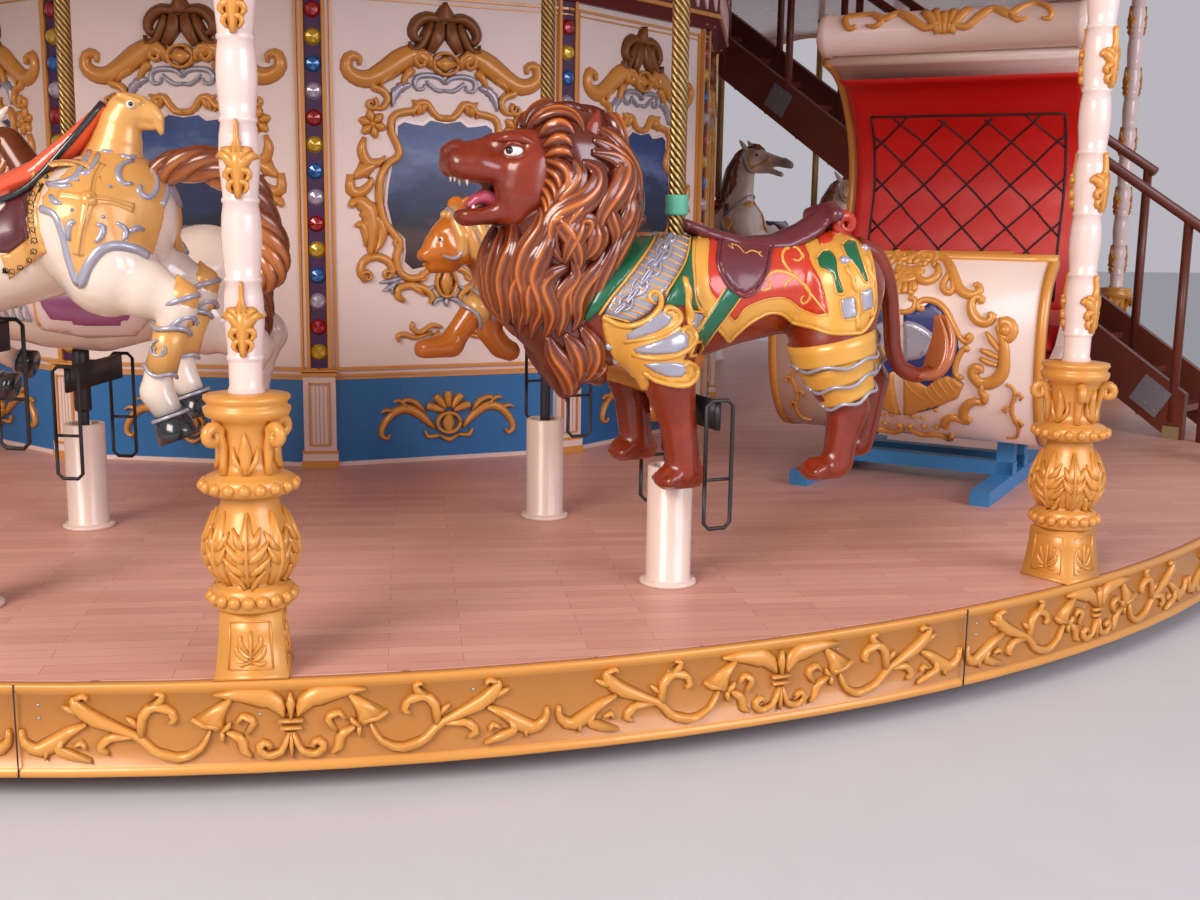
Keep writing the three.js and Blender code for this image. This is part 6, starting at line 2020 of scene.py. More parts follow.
horseMarks = {
    "rump": [(375, 258), (470, 248), (560, 250), (612, 285), (640, 350), (664, 430), (652, 560), (612, 700),
             (560, 688), (480, 655), (410, 672), (360, 735), (322, 808), (290, 748), (262, 648), (225, 555),
             (170, 518), (170, 470), (210, 420), (262, 372), (320, 318)],
    "edge": [(168, 515), (222, 540), (255, 620), (275, 700), (300, 780), (322, 812), (352, 742), (400, 680),
             (460, 660), (540, 675), (590, 702)],
    "swirls": [[(205, 425), (290, 405), (338, 345), (372, 268)], [(455, 290), (430, 300), (400, 286)],
               [(395, 306), (378, 350), (350, 380), (322, 384)],
               [(480, 312), (520, 320), (548, 300), (545, 262)],
               [(528, 332), (480, 350), (470, 390), (492, 420), (524, 420)],
               [(572, 300), (600, 350), (620, 410), (612, 455), (580, 472), (552, 450), (556, 428)],
               [(560, 262), (600, 310), (640, 380), (660, 450), (640, 505)],
               [(282, 640), (276, 590), (290, 565), (300, 572)],
               [(385, 580), (412, 590), (402, 630), (380, 650)],
               [(462, 575), (490, 592), (500, 620), (488, 645)], [(512, 612), (540, 592), (566, 600)],
               [(210, 468), (222, 490), (250, 500)], [(196, 420), (240, 432), (288, 430)]],
    "studs": [(312, 410), (290, 522), (410, 550), (435, 432)],
    "cross": [[(355, 480), (372, 400), (402, 345)], [(355, 480), (330, 600), (318, 700)],
              [(355, 480), (290, 470), (240, 462)], [(355, 480), (450, 490), (530, 515)]],
    "border": [(0, 700), (38, 798), (110, 745), (188, 690), (160, 600), (150, 510), (178, 420),
               (250, 322), (222, 318), (150, 400), (112, 480), (108, 570), (120, 630), (36, 694)],
    "cloth": [(-20, 690), (36, 694), (120, 630), (108, 570), (112, 480), (150, 400), (222, 318), (120, 340),
              (60, 400), (20, 500), (-30, 560)],
    "meander": [[(160, 410), (128, 480), (122, 560), (136, 630)],
                [(176, 420), (144, 500), (146, 590), (160, 650)]],
}


def horseTrappings(skin, place):
    def plate(points, rise, **more):
        return plateShape(skin, place, fromPicture(points, sideGrid), rise, **more)

    def line(points, width, rise, **more):
        return lineOn(skin, place, fromPicture(points, sideGrid), width, rise, **more)

    v = horseMarks
    gold = [plate(v["rump"], 0.009, pitch=2.4), plate(v["border"], 0.008, pitch=2.4)]
    gold += [line(arm, [0.05, 0.034, 0.05], 0.016) for arm in v["cross"]]
    centre = fromPicture([(355, 480)], sideGrid)[0]
    gold += [studOn(skin, place, *centre, 0.03, 0.024), studOn(skin, place, *centre, 0.014, 0.034)]
    gold += [line(arm, 0.007, 0.024, sides=5) for arm in v["cross"]]
    silver = [line(v["edge"], [0.026, 0.034, 0.036, 0.034], 0.016)]
    silver += [line(path, [0.016, 0.028, 0.026, 0.014], 0.019) for path in v["swirls"]]
    silver += [studOn(skin, place, *fromPicture([p], sideGrid)[0], 0.0075, 0.018) for p in v["studs"]]
    dark = [line(path, 0.005, 0.0115, sides=5) for path in v["meander"]]
    keys = smoothPath([(0, 755), (60, 760), (140, 695), (140, 600), (128, 520), (150, 440), (215, 352)], 15)
    for k in range(1, 14):
        x, y = keys[k]
        square = [(x - 9, y + 9), (x - 9, y - 9), (x + 9, y - 9), (x + 9, y + 6),
                  (x - 2, y + 6), (x - 2, y - 2)]
        dark.append(line(square, 0.004, 0.0125, count=12, sides=5))
    cloth = [plate(v["cloth"], 0.006, pitch=2.8)]
    return {"armour": (gold, armourGold), "silver": (silver, tackSilver), "meander": (dark, blackSteel),
            "cloth": (cloth, clothMaroon)}


# Breastplate and straps on the chest and the bridle on the head, the same on both sides
def horseHarness(body, armoured):
    skin = treeOf(body)

    def band(path, width, rise, count=None):
        spots, normals = [], []
        for x, z in smoothPath(path, count or 18):
            spot, normal, _, _ = skin.ray_cast(Vector((x, 0.6, z)), Vector((0, -1, 0)))
            if spot is not None:
                spots.append(np.array(spot))
                normals.append(np.array(normal))
        spots, normals = np.array(spots), np.array(normals)
        ahead = np.gradient(spots, axis=0)
        aside = np.cross(normals, ahead)
        aside /= np.linalg.norm(aside, axis=1)[:, None] + 1e-9
        size, sides = profileOf(width, len(spots)) / 2, 8
        points = [spots[k] + aside[k] * size[k] * math.cos(t) + normals[k] * rise * (0.85 * math.sin(t))
                  for k in range(len(spots)) for t in np.arange(sides) * tau / sides]
        return np.array(points), gridFaces(len(spots), sides)

    gold = [band([(0.4, 1.6), (0.41, 1.53), (0.44, 1.45)], 0.02, 0.008),
            band([(0.44, 1.45), (0.55, 1.5), (0.6, 1.53)], 0.018, 0.008),
            band([(0.58, 1.545), (0.6, 1.48), (0.6, 1.46)], 0.018, 0.008)]
    silver = [band([(0.33, 1.6), (0.33, 1.5), (0.38, 1.42), (0.44, 1.4)], 0.026, 0.01)]
    dark = []
    if armoured:
        gold += [band([(0.4, 1.22), (0.38, 1.1), (0.39, 0.98), (0.37, 0.9)], [0.05, 0.14, 0.16, 0.05], 0.016),
                 band([(0.33, 1.12), (0.3, 1.0), (0.3, 0.92)], [0.06, 0.14, 0.06], 0.014)]
        silver += [band([(0.43, 1.26), (0.36, 1.2), (0.27, 1.12), (0.2, 1.04)], 0.018, 0.018),
                   band([(0.27, 1.05), (0.29, 0.94), (0.35, 0.87), (0.41, 0.92)], 0.016, 0.018),
                   band([(0.37, 1.12), (0.39, 1.06), (0.36, 1.03), (0.34, 1.06)], 0.012, 0.02)]
        dark += [band([(0.17, 1.14), (0.23, 1.03), (0.24, 0.9)], 0.034, 0.012)]
        silver += [band([(0.145, 1.13), (0.205, 1.02), (0.215, 0.9)], 0.01, 0.014),
                   band([(0.195, 1.15), (0.255, 1.03), (0.265, 0.9)], 0.01, 0.014)]
    else:
        silver += [band([(0.42, 1.02), (0.3, 0.95), (0.14, 0.92)], 0.04, 0.012)]
        for k in range(9):
            x = 0.12 + 0.03 * k
            silver.append(band([(x, 0.93 + 0.1 * (x - 0.12)), (x + 0.003, 0.885),
                                (x, 0.855 + 0.05 * (x - 0.12))],
                               [0.01, 0.014, 0.028], 0.012, 6))
        gold += [band([(0.17, 1.1), (0.1, 0.98), (0.08, 0.84)], 0.02, 0.012)]
    return gold, silver, dark


def blanketShapes(body):
    skin = treeOf(body)
    outline = [(0.14, 1.09), (0.14, 0.92), (0.08, 0.82), (-0.1, 0.79), (-0.28, 0.8),
               (-0.36, 0.87), (-0.42, 1.0), (-0.46, 1.16), (-0.3, 1.15), (-0.1, 1.09)]

    def cast(shape, rise):
        flat, faces, depth = outlineGrid(np.array(shape) * 1000, 26)
        top, under = [], []
        for (x, z), d in zip(flat / 1000, depth):
            spot, normal, _, _ = skin.ray_cast(Vector((x, 0.6, z)), Vector((0, -1, 0)))
            if spot is None:
                spot, normal, _, _ = skin.find_nearest(Vector((x, 0.12, z)))
            lift = rise * min(1.0, 0.2 + d / 12)
            top.append(np.array(spot) + np.array(normal) * lift)
            under.append(np.array(spot) - np.array(normal) * 0.006)
        return closeShell(np.array(top), np.array(under), faces)

    border = cast(outline, 0.008)
    centre = np.array([-0.14, 1.0])
    field = cast([tuple(centre + (np.array(p) - centre) * 0.8) for p in outline], 0.014)
    return border, field


def makeHorses(owners, armoured):
    def part(name, shapes, finish, **more):
        riderPiece(name, shapes, finish, owners, "horse_enamel", **more)

    body = horseBody()
    skin = treeOf(body)
    near = owners[0]
    part("body", [body], horseEnamel, both=False, thin=0.2, colours=horseShade(body[0]))
    hoofs, bands = [], []
    for side, fore, hind in ((1, 0.0, 0.0), (-1, 0.06, 0.03)):
        for name, shift in (("hindHoof", hind), ("foreHoof", fore)):
            joints = moved(horse[name], shift, 0, shift, side)
            a, b = np.array(joints[0]), np.array(joints[1])
            reach = b[:3] + (b[:3] - a[:3]) * 0.45
            hoofs.append(tubeShape([a[:3], b[:3], reach], [a[3] + 0.003, b[3], b[3] + 0.003], 18))
            bands.append(ringRound(a[:3] + (b[:3] - a[:3]) * 0.15, b[:3] - a[:3], a[3] + 0.004, 0.006))
    part("hoofs", hoofs, hoofEnamel, both=False)
    part("hoof_bands", bands, tackSilver, both=False, thin=0.5)
    base, locks, shade = horseMane(body)
    part("mane", [base], copperEnamel, both=False, thin=0.5,
         colours=between("#6e3412", "#a05a26", np.full(len(base[0]), 0.4)))
    # Locks run from dark copper in their painted shade to light copper in their painted highlights
    part("mane_locks", locks, copperEnamel, thin=0.3, colours=between("#5e2a0e", "#e09040", shade ** 1.4))
    tail = twistedLock(horse["flyingTail" if armoured else "hangingTail"], 0.036 if armoured else 0.022,
                       0.03 if armoured else 0.02, 5, 2.0 if armoured else 1.2)
    part("tail", tail, copperEnamel, both=False, thin=0.3,
         colours=between("#7c3c14", "#d68a48",
                         np.concatenate([np.tile(np.linspace(0, 1, 8), len(t[0]) // 8 + 1)
                                         [:len(t[0])] for t in tail])))
    ears = [blobShape([limb([[0.33, 0.045, 1.61, 0.024], [0.3, 0.052, 1.65, 0.02],
                             [0.265, 0.056, 1.69, 0.005]], 0.01, 0.8)], 0.008)]
    part("ears", ears, horseEnamel, colours=between("#f1e6d9", "#6f7a80", np.zeros(len(ears[0][0]))))
    part("eyes", [blobShape([limb([[0.475, 0.066, 1.556, 0.014]])], 0.004)], eyeDark)
    gold, silver, dark = horseHarness(body, armoured)
    if armoured:
        for side, shift in ((1, 0.0), (-1, 0.03)):
            a, b = greaves(side, shift)
            part("greaves_%d" % (side + 2), a, armourGold, both=False, thin=0.5)
            part("greave_edges_%d" % (side + 2), b, tackSilver, both=False, thin=0.4)
        for name, (shapes, finish) in horseTrappings(skin, riderFrame(near)).items():
            part("rear_" + name, shapes, finish, thin=0.15)
        part("eagle", [eagleHead()], armourGold, both=False, thin=0.5)
        for name, finish, at, radius in (("eagle_eyes", eyeWhite, (-0.626, 0.043, 1.373), 0.0135),
                                         ("eagle_pupils", eyeDark, (-0.63, 0.0515, 1.374), 0.0078)):
            ball = blobShape([limb([[*at, radius]])], 0.003)
            part(name, [ball], finish, thin=0.4)
        seat, edge = warSaddle()
        part("saddle", [seat], saddleOrange, both=False, thin=0.5)
        part("saddle_edge", edge, hoofEnamel, both=False)
        part("strap", dark, hoofEnamel)
    else:
        border, field = blanketShapes(body)
        part("blanket_border", [border], whitePaint, thin=0.6)
        part("blanket", [field], clothPink, thin=0.6)
        seat = blobShape([limb([[0.0, 0, 1.13, 0.03], [-0.1, 0, 1.1, 0.032], [-0.28, 0, 1.135, 0.036],
                                [-0.4, 0, 1.19, 0.03]], 0.02, 2.6)], 0.012)
        part("saddle", [seat], saddlePlum, both=False, thin=0.5)
        roll = [tubeShape([[-0.44, y, 1.185] for y in (-0.13, -0.05, 0.05, 0.13)],
                          [0.04, 0.046, 0.046, 0.04], 16, 8)]
        for side in (-1, 1):
            turns = spiral((-0.44, 1.185), 0.04, 0.008, 1.6, 90, 20)
            roll.append(tubeShape([[x, 0.132 * side, z] for x, z in turns], [0.011, 0.01, 0.006], 6))
        part("saddle_roll", roll, rollBlue, both=False, thin=0.6)
    part("tack_gold", gold, armourGold, thin=0.5)
    part("tack_silver", silver, tackSilver, thin=0.5)


makeHorses(["horse_1", "horse_8", "horse_4", "horse_5"], True)
makeHorses(["horse_2", "horse_3", "horse_6", "horse_7"], False)
print("horses made")


# Tigers: orange with spots, plated head and a gold and silver sleeve on the stretched foreleg
# The hollow colour of the tiger's orange is painted shade in its hollows
tigerEnamel = paintFinish("tiger_orange_enamel", "#cf7a1e", "#b9600f", 0.22, coat=0.6,
                          hollowShade="#6b2c05", cloud=7)
tigerBlue = paintFinish("tiger_blue_enamel", "#3b86b8", "#2b6c9c", 0.25, coat=0.5)
tiger = {
    "cell": 0.0155,
    "torso": [[0.15, 0, 0.9, 0.175], [-0.1, 0, 0.91, 0.16], [-0.35, 0, 0.93, 0.15], [-0.52, 0, 0.93, 0.155]],
    "neck": [[0.14, 0, 0.98, 0.15], [0.26, 0, 1.04, 0.12], [0.36, 0, 1.05, 0.105]],
    "skull": [[0.36, 0, 1.07, 0.1], [0.42, 0, 1.05, 0.085], [0.47, 0, 1.02, 0.062]],
    "muzzle": [[0.49, 0, 0.99, 0.05], [0.525, 0, 0.978, 0.036]],
    "chin": [[0.42, 0, 0.96, 0.05], [0.49, 0, 0.942, 0.034]],
    "foreNear": [[0.12, 0.11, 0.9, 0.13], [0.24, 0.13, 0.84, 0.09], [0.36, 0.13, 0.765, 0.056],
                 [0.42, 0.13, 0.69, 0.049], [0.458, 0.13, 0.635, 0.05]],
    "pawNear": [[0.458, 0.13, 0.63, 0.05], [0.53, 0.13, 0.622, 0.044], [0.57, 0.13, 0.618, 0.04]],
    "foreFar": [[0.12, -0.11, 0.88, 0.12], [0.21, -0.13, 0.76, 0.08], [0.21, -0.13, 0.66, 0.055],
                [0.16, -0.13, 0.59, 0.05], [0.115, -0.13, 0.57, 0.045]],
    "hind": [[-0.5, 0.09, 0.92, 0.15], [-0.47, 0.12, 0.76, 0.12], [-0.52, 0.13, 0.62, 0.085],
             [-0.56, 0.13, 0.53, 0.062], [-0.54, 0.13, 0.43, 0.053], [-0.51, 0.13, 0.35, 0.052],
             [-0.45, 0.13, 0.32, 0.048]],
    "tail": [[-0.62, 0, 0.98], [-0.75, 0, 1.0], [-0.88, 0, 0.94], [-0.96, 0, 0.9], [-1.0, 0, 0.93]],
}


def makeTigers(owners):
    def part(name, shapes, finish, **more):
        riderPiece(name, shapes, finish, owners, "tiger_enamel", **more)

    v = tiger
    parts = [limb(v["torso"], 0.06, 0.9), limb(v["neck"], 0.05),
             limb(v["skull"], 0.04), limb(v["muzzle"], 0.02, 1.15),
             limb(v["chin"], 0.02)]
    parts += [limb(v[name], 0.03) for name in ("foreNear", "foreFar")]
    parts += [limb(v["pawNear"], 0.015, 1.3)]
    parts += [limb(moved(v["hind"], shift, 0, 0, side), 0.03) for side, shift in ((1, 0), (-1, -0.2))]
    for y, at in ((0.11, 0.572), (0.13, 0.58), (0.15, 0.572)):
        parts.append(limb([[at - 0.02, y, 0.62, 0.019], [at + 0.012, y, 0.604, 0.017]], 0.008))
    parts += mirrorParts([limb([[0.4, 0.06, 1.0, 0.055]], 0.03),
                          limb([[0.5, 0.022, 0.985, 0.026]], 0.012),
                          limb([[0.44, 0.05, 1.085, 0.024], [0.48, 0.03, 1.06, 0.02]], 0.02)])
    carve = mirrorParts([limb([[0.475, 0.062, 1.048, 0.012]], 0.01)])
    carve += [limb([[0.5, 0, 0.957, 0.004], [0.55, 0, 0.957, 0.006]], 0.006, 5)]
    body = blobShape(parts, v["cell"], carve)
    part("body", [body], tigerEnamel, both=False, thin=0.25)
    tail = tubeShape(v["tail"], [0.032, 0.028, 0.028, 0.026, 0.012], 12, 30)
    part("tail", [tail], tigerEnamel, both=False)
    ear = blobShape([limb([[0.37, 0.075, 1.14, 0.046], [0.365, 0.09, 1.18, 0.042]], 0.015, 0.6)], 0.008,
                    [limb([[0.39, 0.105, 1.15, 0.028], [0.385, 0.12, 1.185, 0.026]], 0.008, 0.9)])
    part("ears", [ear], tigerEnamel)
    part("eyes", [blobShape([limb([[0.472, 0.056, 1.048, 0.011]])], 0.003)], eyeWhite, thin=0.4)
    part("pupils", [blobShape([limb([[0.48, 0.061, 1.048, 0.006]])], 0.002)], eyeDark, thin=0.4)
    gold, silver = [], []
    # plates behind the cheek, each a band round the neck with a silver edge
    for k in range(4):
        x = 0.375 - 0.058 * k
        centre, reach = [x - 0.015, 0, 1.045 - 0.012 * k], 0.118 + 0.006 * k
        band = [np.array(centre) + reach * np.array([0.35 * math.cos(t), 0.98 * math.sin(t), math.cos(t)])
                for t in np.linspace(-2.2, 2.2, 25)]
        gold.append(tubeShape(band, 0.026, 8, 25, 1.0))
        edge = [p + np.array([0.026, 0, 0.004]) for p in band]
        silver.append(tubeShape(edge, [0.007, 0.011, 0.007], 6, 25))
    brow = [[0.36, 0.1, 1.12], [0.4, 0.075, 1.13], [0.41, 0.03, 1.15], [0.41, -0.03, 1.15],
            [0.4, -0.075, 1.13], [0.36, -0.1, 1.12]]
    gold.append(tubeShape(brow, [0.018, 0.026, 0.02, 0.02, 0.026, 0.018], 10, 24))
    silver.append(tubeShape([[x + 0.022, y, z - 0.006] for x, y, z in brow], 0.007, 6, 24))
    for side in (-1, 1):
        gold.append(blobShape([limb([[0.418, 0.082 * side, 1.115, 0.026], [0.395, 0.1 * side, 1.06, 0.034],
                                     [0.4, 0.098 * side, 1.0, 0.026]], 0.01, 1.0)], 0.009))
        for k in range(4):
            t = 0.35 + 0.42 * k
            gold.append(blobShape([limb([[0.43 - 0.012 * k, side * 0.1 * math.sin(t),
                                          1.06 + 0.09 * math.cos(t),
                                          0.021]])], 0.007))
        silver.append(tubeShape([[0.47, 0.05 * side, 0.985], [0.43, 0.1 * side, 0.975],
                                 [0.4, 0.115 * side, 1.01], [0.395, 0.11 * side, 1.08],
                                 [0.4, 0.08 * side, 1.13]], [0.006, 0.01, 0.01, 0.006], 8, 20))
    sleeve = [np.array(p) for p in ((0.2, 0.13, 0.87), (0.26, 0.13, 0.83), (0.32, 0.13, 0.792),
                                    (0.375, 0.13, 0.75))]
    radii = [0.1, 0.084, 0.072, 0.064]
    for k in range(3):
        gold.append(tubeShape([sleeve[k], (sleeve[k] + sleeve[k + 1]) / 2, sleeve[k + 1]],
                              [radii[k] - 0.004, radii[k] - 0.006, radii[k + 1] + 0.004], 22))
        silver.append(ringRound(sleeve[k + 1], sleeve[k + 1] - sleeve[k],
                                radii[k + 1] + 0.005, 0.008, 0.008, 3))
    part("plates", gold, armourGold, both=False, thin=0.5)
    part("plate_edges", silver, tackSilver, both=False, thin=0.5)
    scarf = tubeShape([[0.3, 0.118, 1.06], [0.26, 0.135, 1.09], [0.2, 0.15, 1.08], [0.14, 0.16, 1.1]],
                      [0.012, 0.026, 0.02, 0.012], 10, 20)
    part("scarf", [scarf], tigerBlue)
    seat = blobShape([limb([[-0.0, 0, 1.1, 0.028], [-0.12, 0, 1.075, 0.032], [-0.3, 0, 1.085, 0.032],
                            [-0.42, 0, 1.14, 0.028]], 0.02, 2.6)], 0.012)
    part("saddle", [seat], saddlePlum, both=False, thin=0.5)


makeTigers(["tiger_1", "tiger_2"])
print("tigers made")


# Chariots: scroll-shaped tub with gilt edges and relief, red quilted lining, blue steel cradle
chariot = {
    "turn": 53.0, "half": 0.66, "lift": 0.0003, "shell": 0.045, "wall": 0.045,
    "line": [(-0.06, 2.11), (-0.25, 2.06), (-0.42, 1.93), (-0.56, 1.7), (-0.6, 1.45),
             (-0.54, 1.15), (-0.52, 0.8), (-0.5, 0.5), (-0.38, 0.3), (-0.18, 0.23), (0.18, 0.23),
             (0.37, 0.29), (0.5, 0.45), (0.55, 0.64), (0.545, 0.85), (0.48, 1.02), (0.34, 1.13)],
    "side": [(-0.52, 0.8), (-0.5, 0.5), (-0.38, 0.3), (-0.18, 0.235), (0.18, 0.235),
             (0.37, 0.295), (0.49, 0.45), (0.52, 0.56), (0.25, 0.62), (0.06, 0.7), (-0.1, 0.86), (-0.3, 0.9),
             (-0.44, 1.18), (-0.53, 1.2)],
    "back": [(-0.175, 2.0), (-0.3, 1.96), (-0.4, 1.85), (-0.5, 1.69), (-0.54, 1.45),
             (-0.48, 1.15), (-0.46, 0.8)],
    "bench": [(-0.447, 0.86), (-0.44, 0.7), (-0.425, 0.56), (-0.322, 0.348), (-0.16, 0.302), (0.055, 0.302),
              (0.055, 0.66), (-0.4, 0.7)],
    "roll": 0.108, "rollAt": (-0.04, 2.205),
    "quilt": 0.004, "quiltCell": 0.23, "quiltHalf": 0.5, "quiltLow": 0.3, "quiltHigh": 1.28,
    "quiltSeam": 0.012,
    "cushion": {"back": -0.43, "front": 0.058, "top": 0.705, "fall": 0.045, "crown": 0.05, "channel": 0.006},
}
chariotGrid = (740, 0, 3.016)
frontGrid = (754.28, 240, 6.54)
carriages = {}
for name in ("chariot_1", "chariot_2"):
    low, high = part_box(name + "_cradle")
    carriages[name] = {"x": (low.x + high.x) / 2, "y": (low.y + high.y) / 2, "lift": chariot["lift"],
                       "bearing": chariot["turn"] + (0 if name == "chariot_1" else 180)}


# Path of a side view with the direction that points into the tub, and the length run along it
def tubPath(line, count):
    path = smoothPath(line, count)
    along = headings(path, 0)
    length = np.concatenate([[0], np.cumsum(np.linalg.norm(np.diff(path, axis=0), axis=1))])
    return path, np.stack([-along[:, 1], along[:, 0]], 1), length


def ribbonShape(line, thick, low, high, count=64, grow=0.0):
    path, inward, _ = tubPath(line, count)
    outer, inner = path - inward * grow, path + inward * (thick + grow)
    points = []
    for y in (low, high):
        points += [(x, y, z) for x, z in outer] + [(x, y, z) for x, z in inner]
    n, faces = count, []
    for k in range(n - 1):
        for a, b in ((k, k + 1), (n + k + 1, n + k)):
            faces.append([a, b, b + 2 * n, a + 2 * n])
        faces.append([k, n + k, n + k + 1, k + 1])
        faces.append([2 * n + k, 2 * n + k + 1, 3 * n + k + 1, 3 * n + k])
    faces += [[0, 2 * n, 3 * n, n], [n - 1, 2 * n - 1, 4 * n - 1, 3 * n - 1]]
    return fixNormals((np.array(points, float), faces))


def slabShape(outline, low, high):
    count = len(outline)
    points = [(x, low, z) for x, z in outline] + [(x, high, z) for x, z in outline]
    faces = [list(range(count)), [count + k for k in range(count)][::-1]]
    faces += [[k, (k + 1) % count, count + (k + 1) % count, count + k] for k in range(count)]
    return fixNormals((np.array(points, float), faces))


def rollShape():
    (x, z), reach, half = chariot["rollAt"], chariot["roll"], chariot["half"]
    profile = [(0.0, -half), (reach - 0.02, -half), (reach, -half + 0.012), (reach, -half + 0.05),
               (reach - 0.008, -half + 0.06), (reach - 0.008, half - 0.06), (reach, half - 0.05),
               (reach, half - 0.012), (reach - 0.02, half), (0.0, half)]
    points, faces = turnedShape([(max(r, 0.001), h) for r, h in profile], 40)
    return np.stack([points[:, 0] + x, points[:, 2], points[:, 1] + z], 1), faces


# Lining of the back: a pad whose middle is quilted in diamonds, drawn in along its border
def quiltedBack():
    v = chariot
    rows, columns = 64, 48
    path, inward, length = tubPath(v["back"], rows)
    half = v["half"] - v["wall"] - 0.004
    wide, low, high, seamWidth = v["quiltHalf"], v["quiltLow"], v["quiltHigh"], v["quiltSeam"]
    top, under = [], []
    for k in range(rows):
        for j in range(columns + 1):
            y = half * (2 * j / columns - 1)
            inside = abs(y) < wide and low < length[k] < high
            a = (y + length[k]) / v["quiltCell"] * math.pi
            b = (y - length[k]) / v["quiltCell"] * math.pi
            pillow = min(1.0, 1.5 * math.sqrt(abs(math.sin(a) * math.sin(b)) + 1e-6))
            seam = 1.0
            for gap in (abs(abs(y) - wide), abs(length[k] - low), abs(length[k] - high)):
                edge = (gap < seamWidth and abs(y) < wide + seamWidth
                        and low - seamWidth < length[k] < high + seamWidth)
                seam = min(seam, gap / seamWidth) if edge else seam
            rim = min(1.0, (half - abs(y)) / 0.03, length[k] / 0.03, (length[-1] - length[k]) / 0.03)
            lift = 0.018 + v["quilt"] * (pillow if inside else 0.7) * seam
            lift *= math.sqrt(max(0.0, 1 - (1 - max(rim, 0.0)) ** 2)) * 0.8 + 0.2
            spot = path[k] + inward[k] * lift
            top.append((spot[0], y, spot[1]))
            foot = path[k] + inward[k] * 0.001
            under.append((foot[0], y, foot[1]))
    return fixNormals(closeShell(np.array(top), np.array(under), sheetFaces(rows, columns + 1)))


# Thread lines of the quilting, laid in its valleys, dark and thick as painted shade in the creases
def quiltThreads():
    v = chariot
    path, inward, length = tubPath(v["back"], 200)
    wide, low, high = v["quiltHalf"], v["quiltLow"], v["quiltHigh"]
    threads = []

    def at(y, s, rise=0.0195):
        k = int(np.clip(np.searchsorted(length, s), 0, 199))
        spot = path[k] + inward[k] * rise
        return (spot[0], y, spot[1])

    for sign in (-1, 1):
        for k in range(-12, 14):
            line = []
            for y in np.linspace(-wide, wide, 26):
                s = sign * y + k * v["quiltCell"]
                if low <= s <= high:
                    line.append(at(y, s))
            if len(line) > 2:
                threads.append(tubeShape(line, 0.0058, 5))
    corner = [(-wide, low), (wide, low), (wide, high), (-wide, high), (-wide, low)]
    for (y1, s1), (y2, s2) in zip(corner, corner[1:]):
        threads.append(tubeShape([at(y1 + (y2 - y1) * t, s1 + (s2 - s1) * t) for t in np.linspace(0, 1, 24)],
                                 0.0075, 6))
    return threads


def benchCushion():
    rows, columns = 22, 40
    v, half = chariot["cushion"], chariot["half"] - chariot["wall"] - 0.006
    top, under = [], []
    for k in range(rows):
        for j in range(columns):
            u, w = k / (rows - 1), j / (columns - 1)
            x, y = v["back"] + (v["front"] - v["back"]) * u, half * (2 * w - 1)
            rim = min(u, 1 - u, 0.5) * 2, min(w, 1 - w, 0.5) * 2
            crown = (1 - (1 - rim[0]) ** 4) * (1 - (1 - rim[1]) ** 10)
            channel = v["channel"] * max(0.0, 1 - abs(math.sin(3 * math.pi * w)) / 0.12)
            base = v["top"] - v["fall"] * u
            top.append((x, y, base + 0.03 + v["crown"] * math.sqrt(max(crown, 0)) - channel))
            under.append((x, y, base + 0.005))
    return fixNormals(closeShell(np.array(top), np.array(under), sheetFaces(rows, columns)))


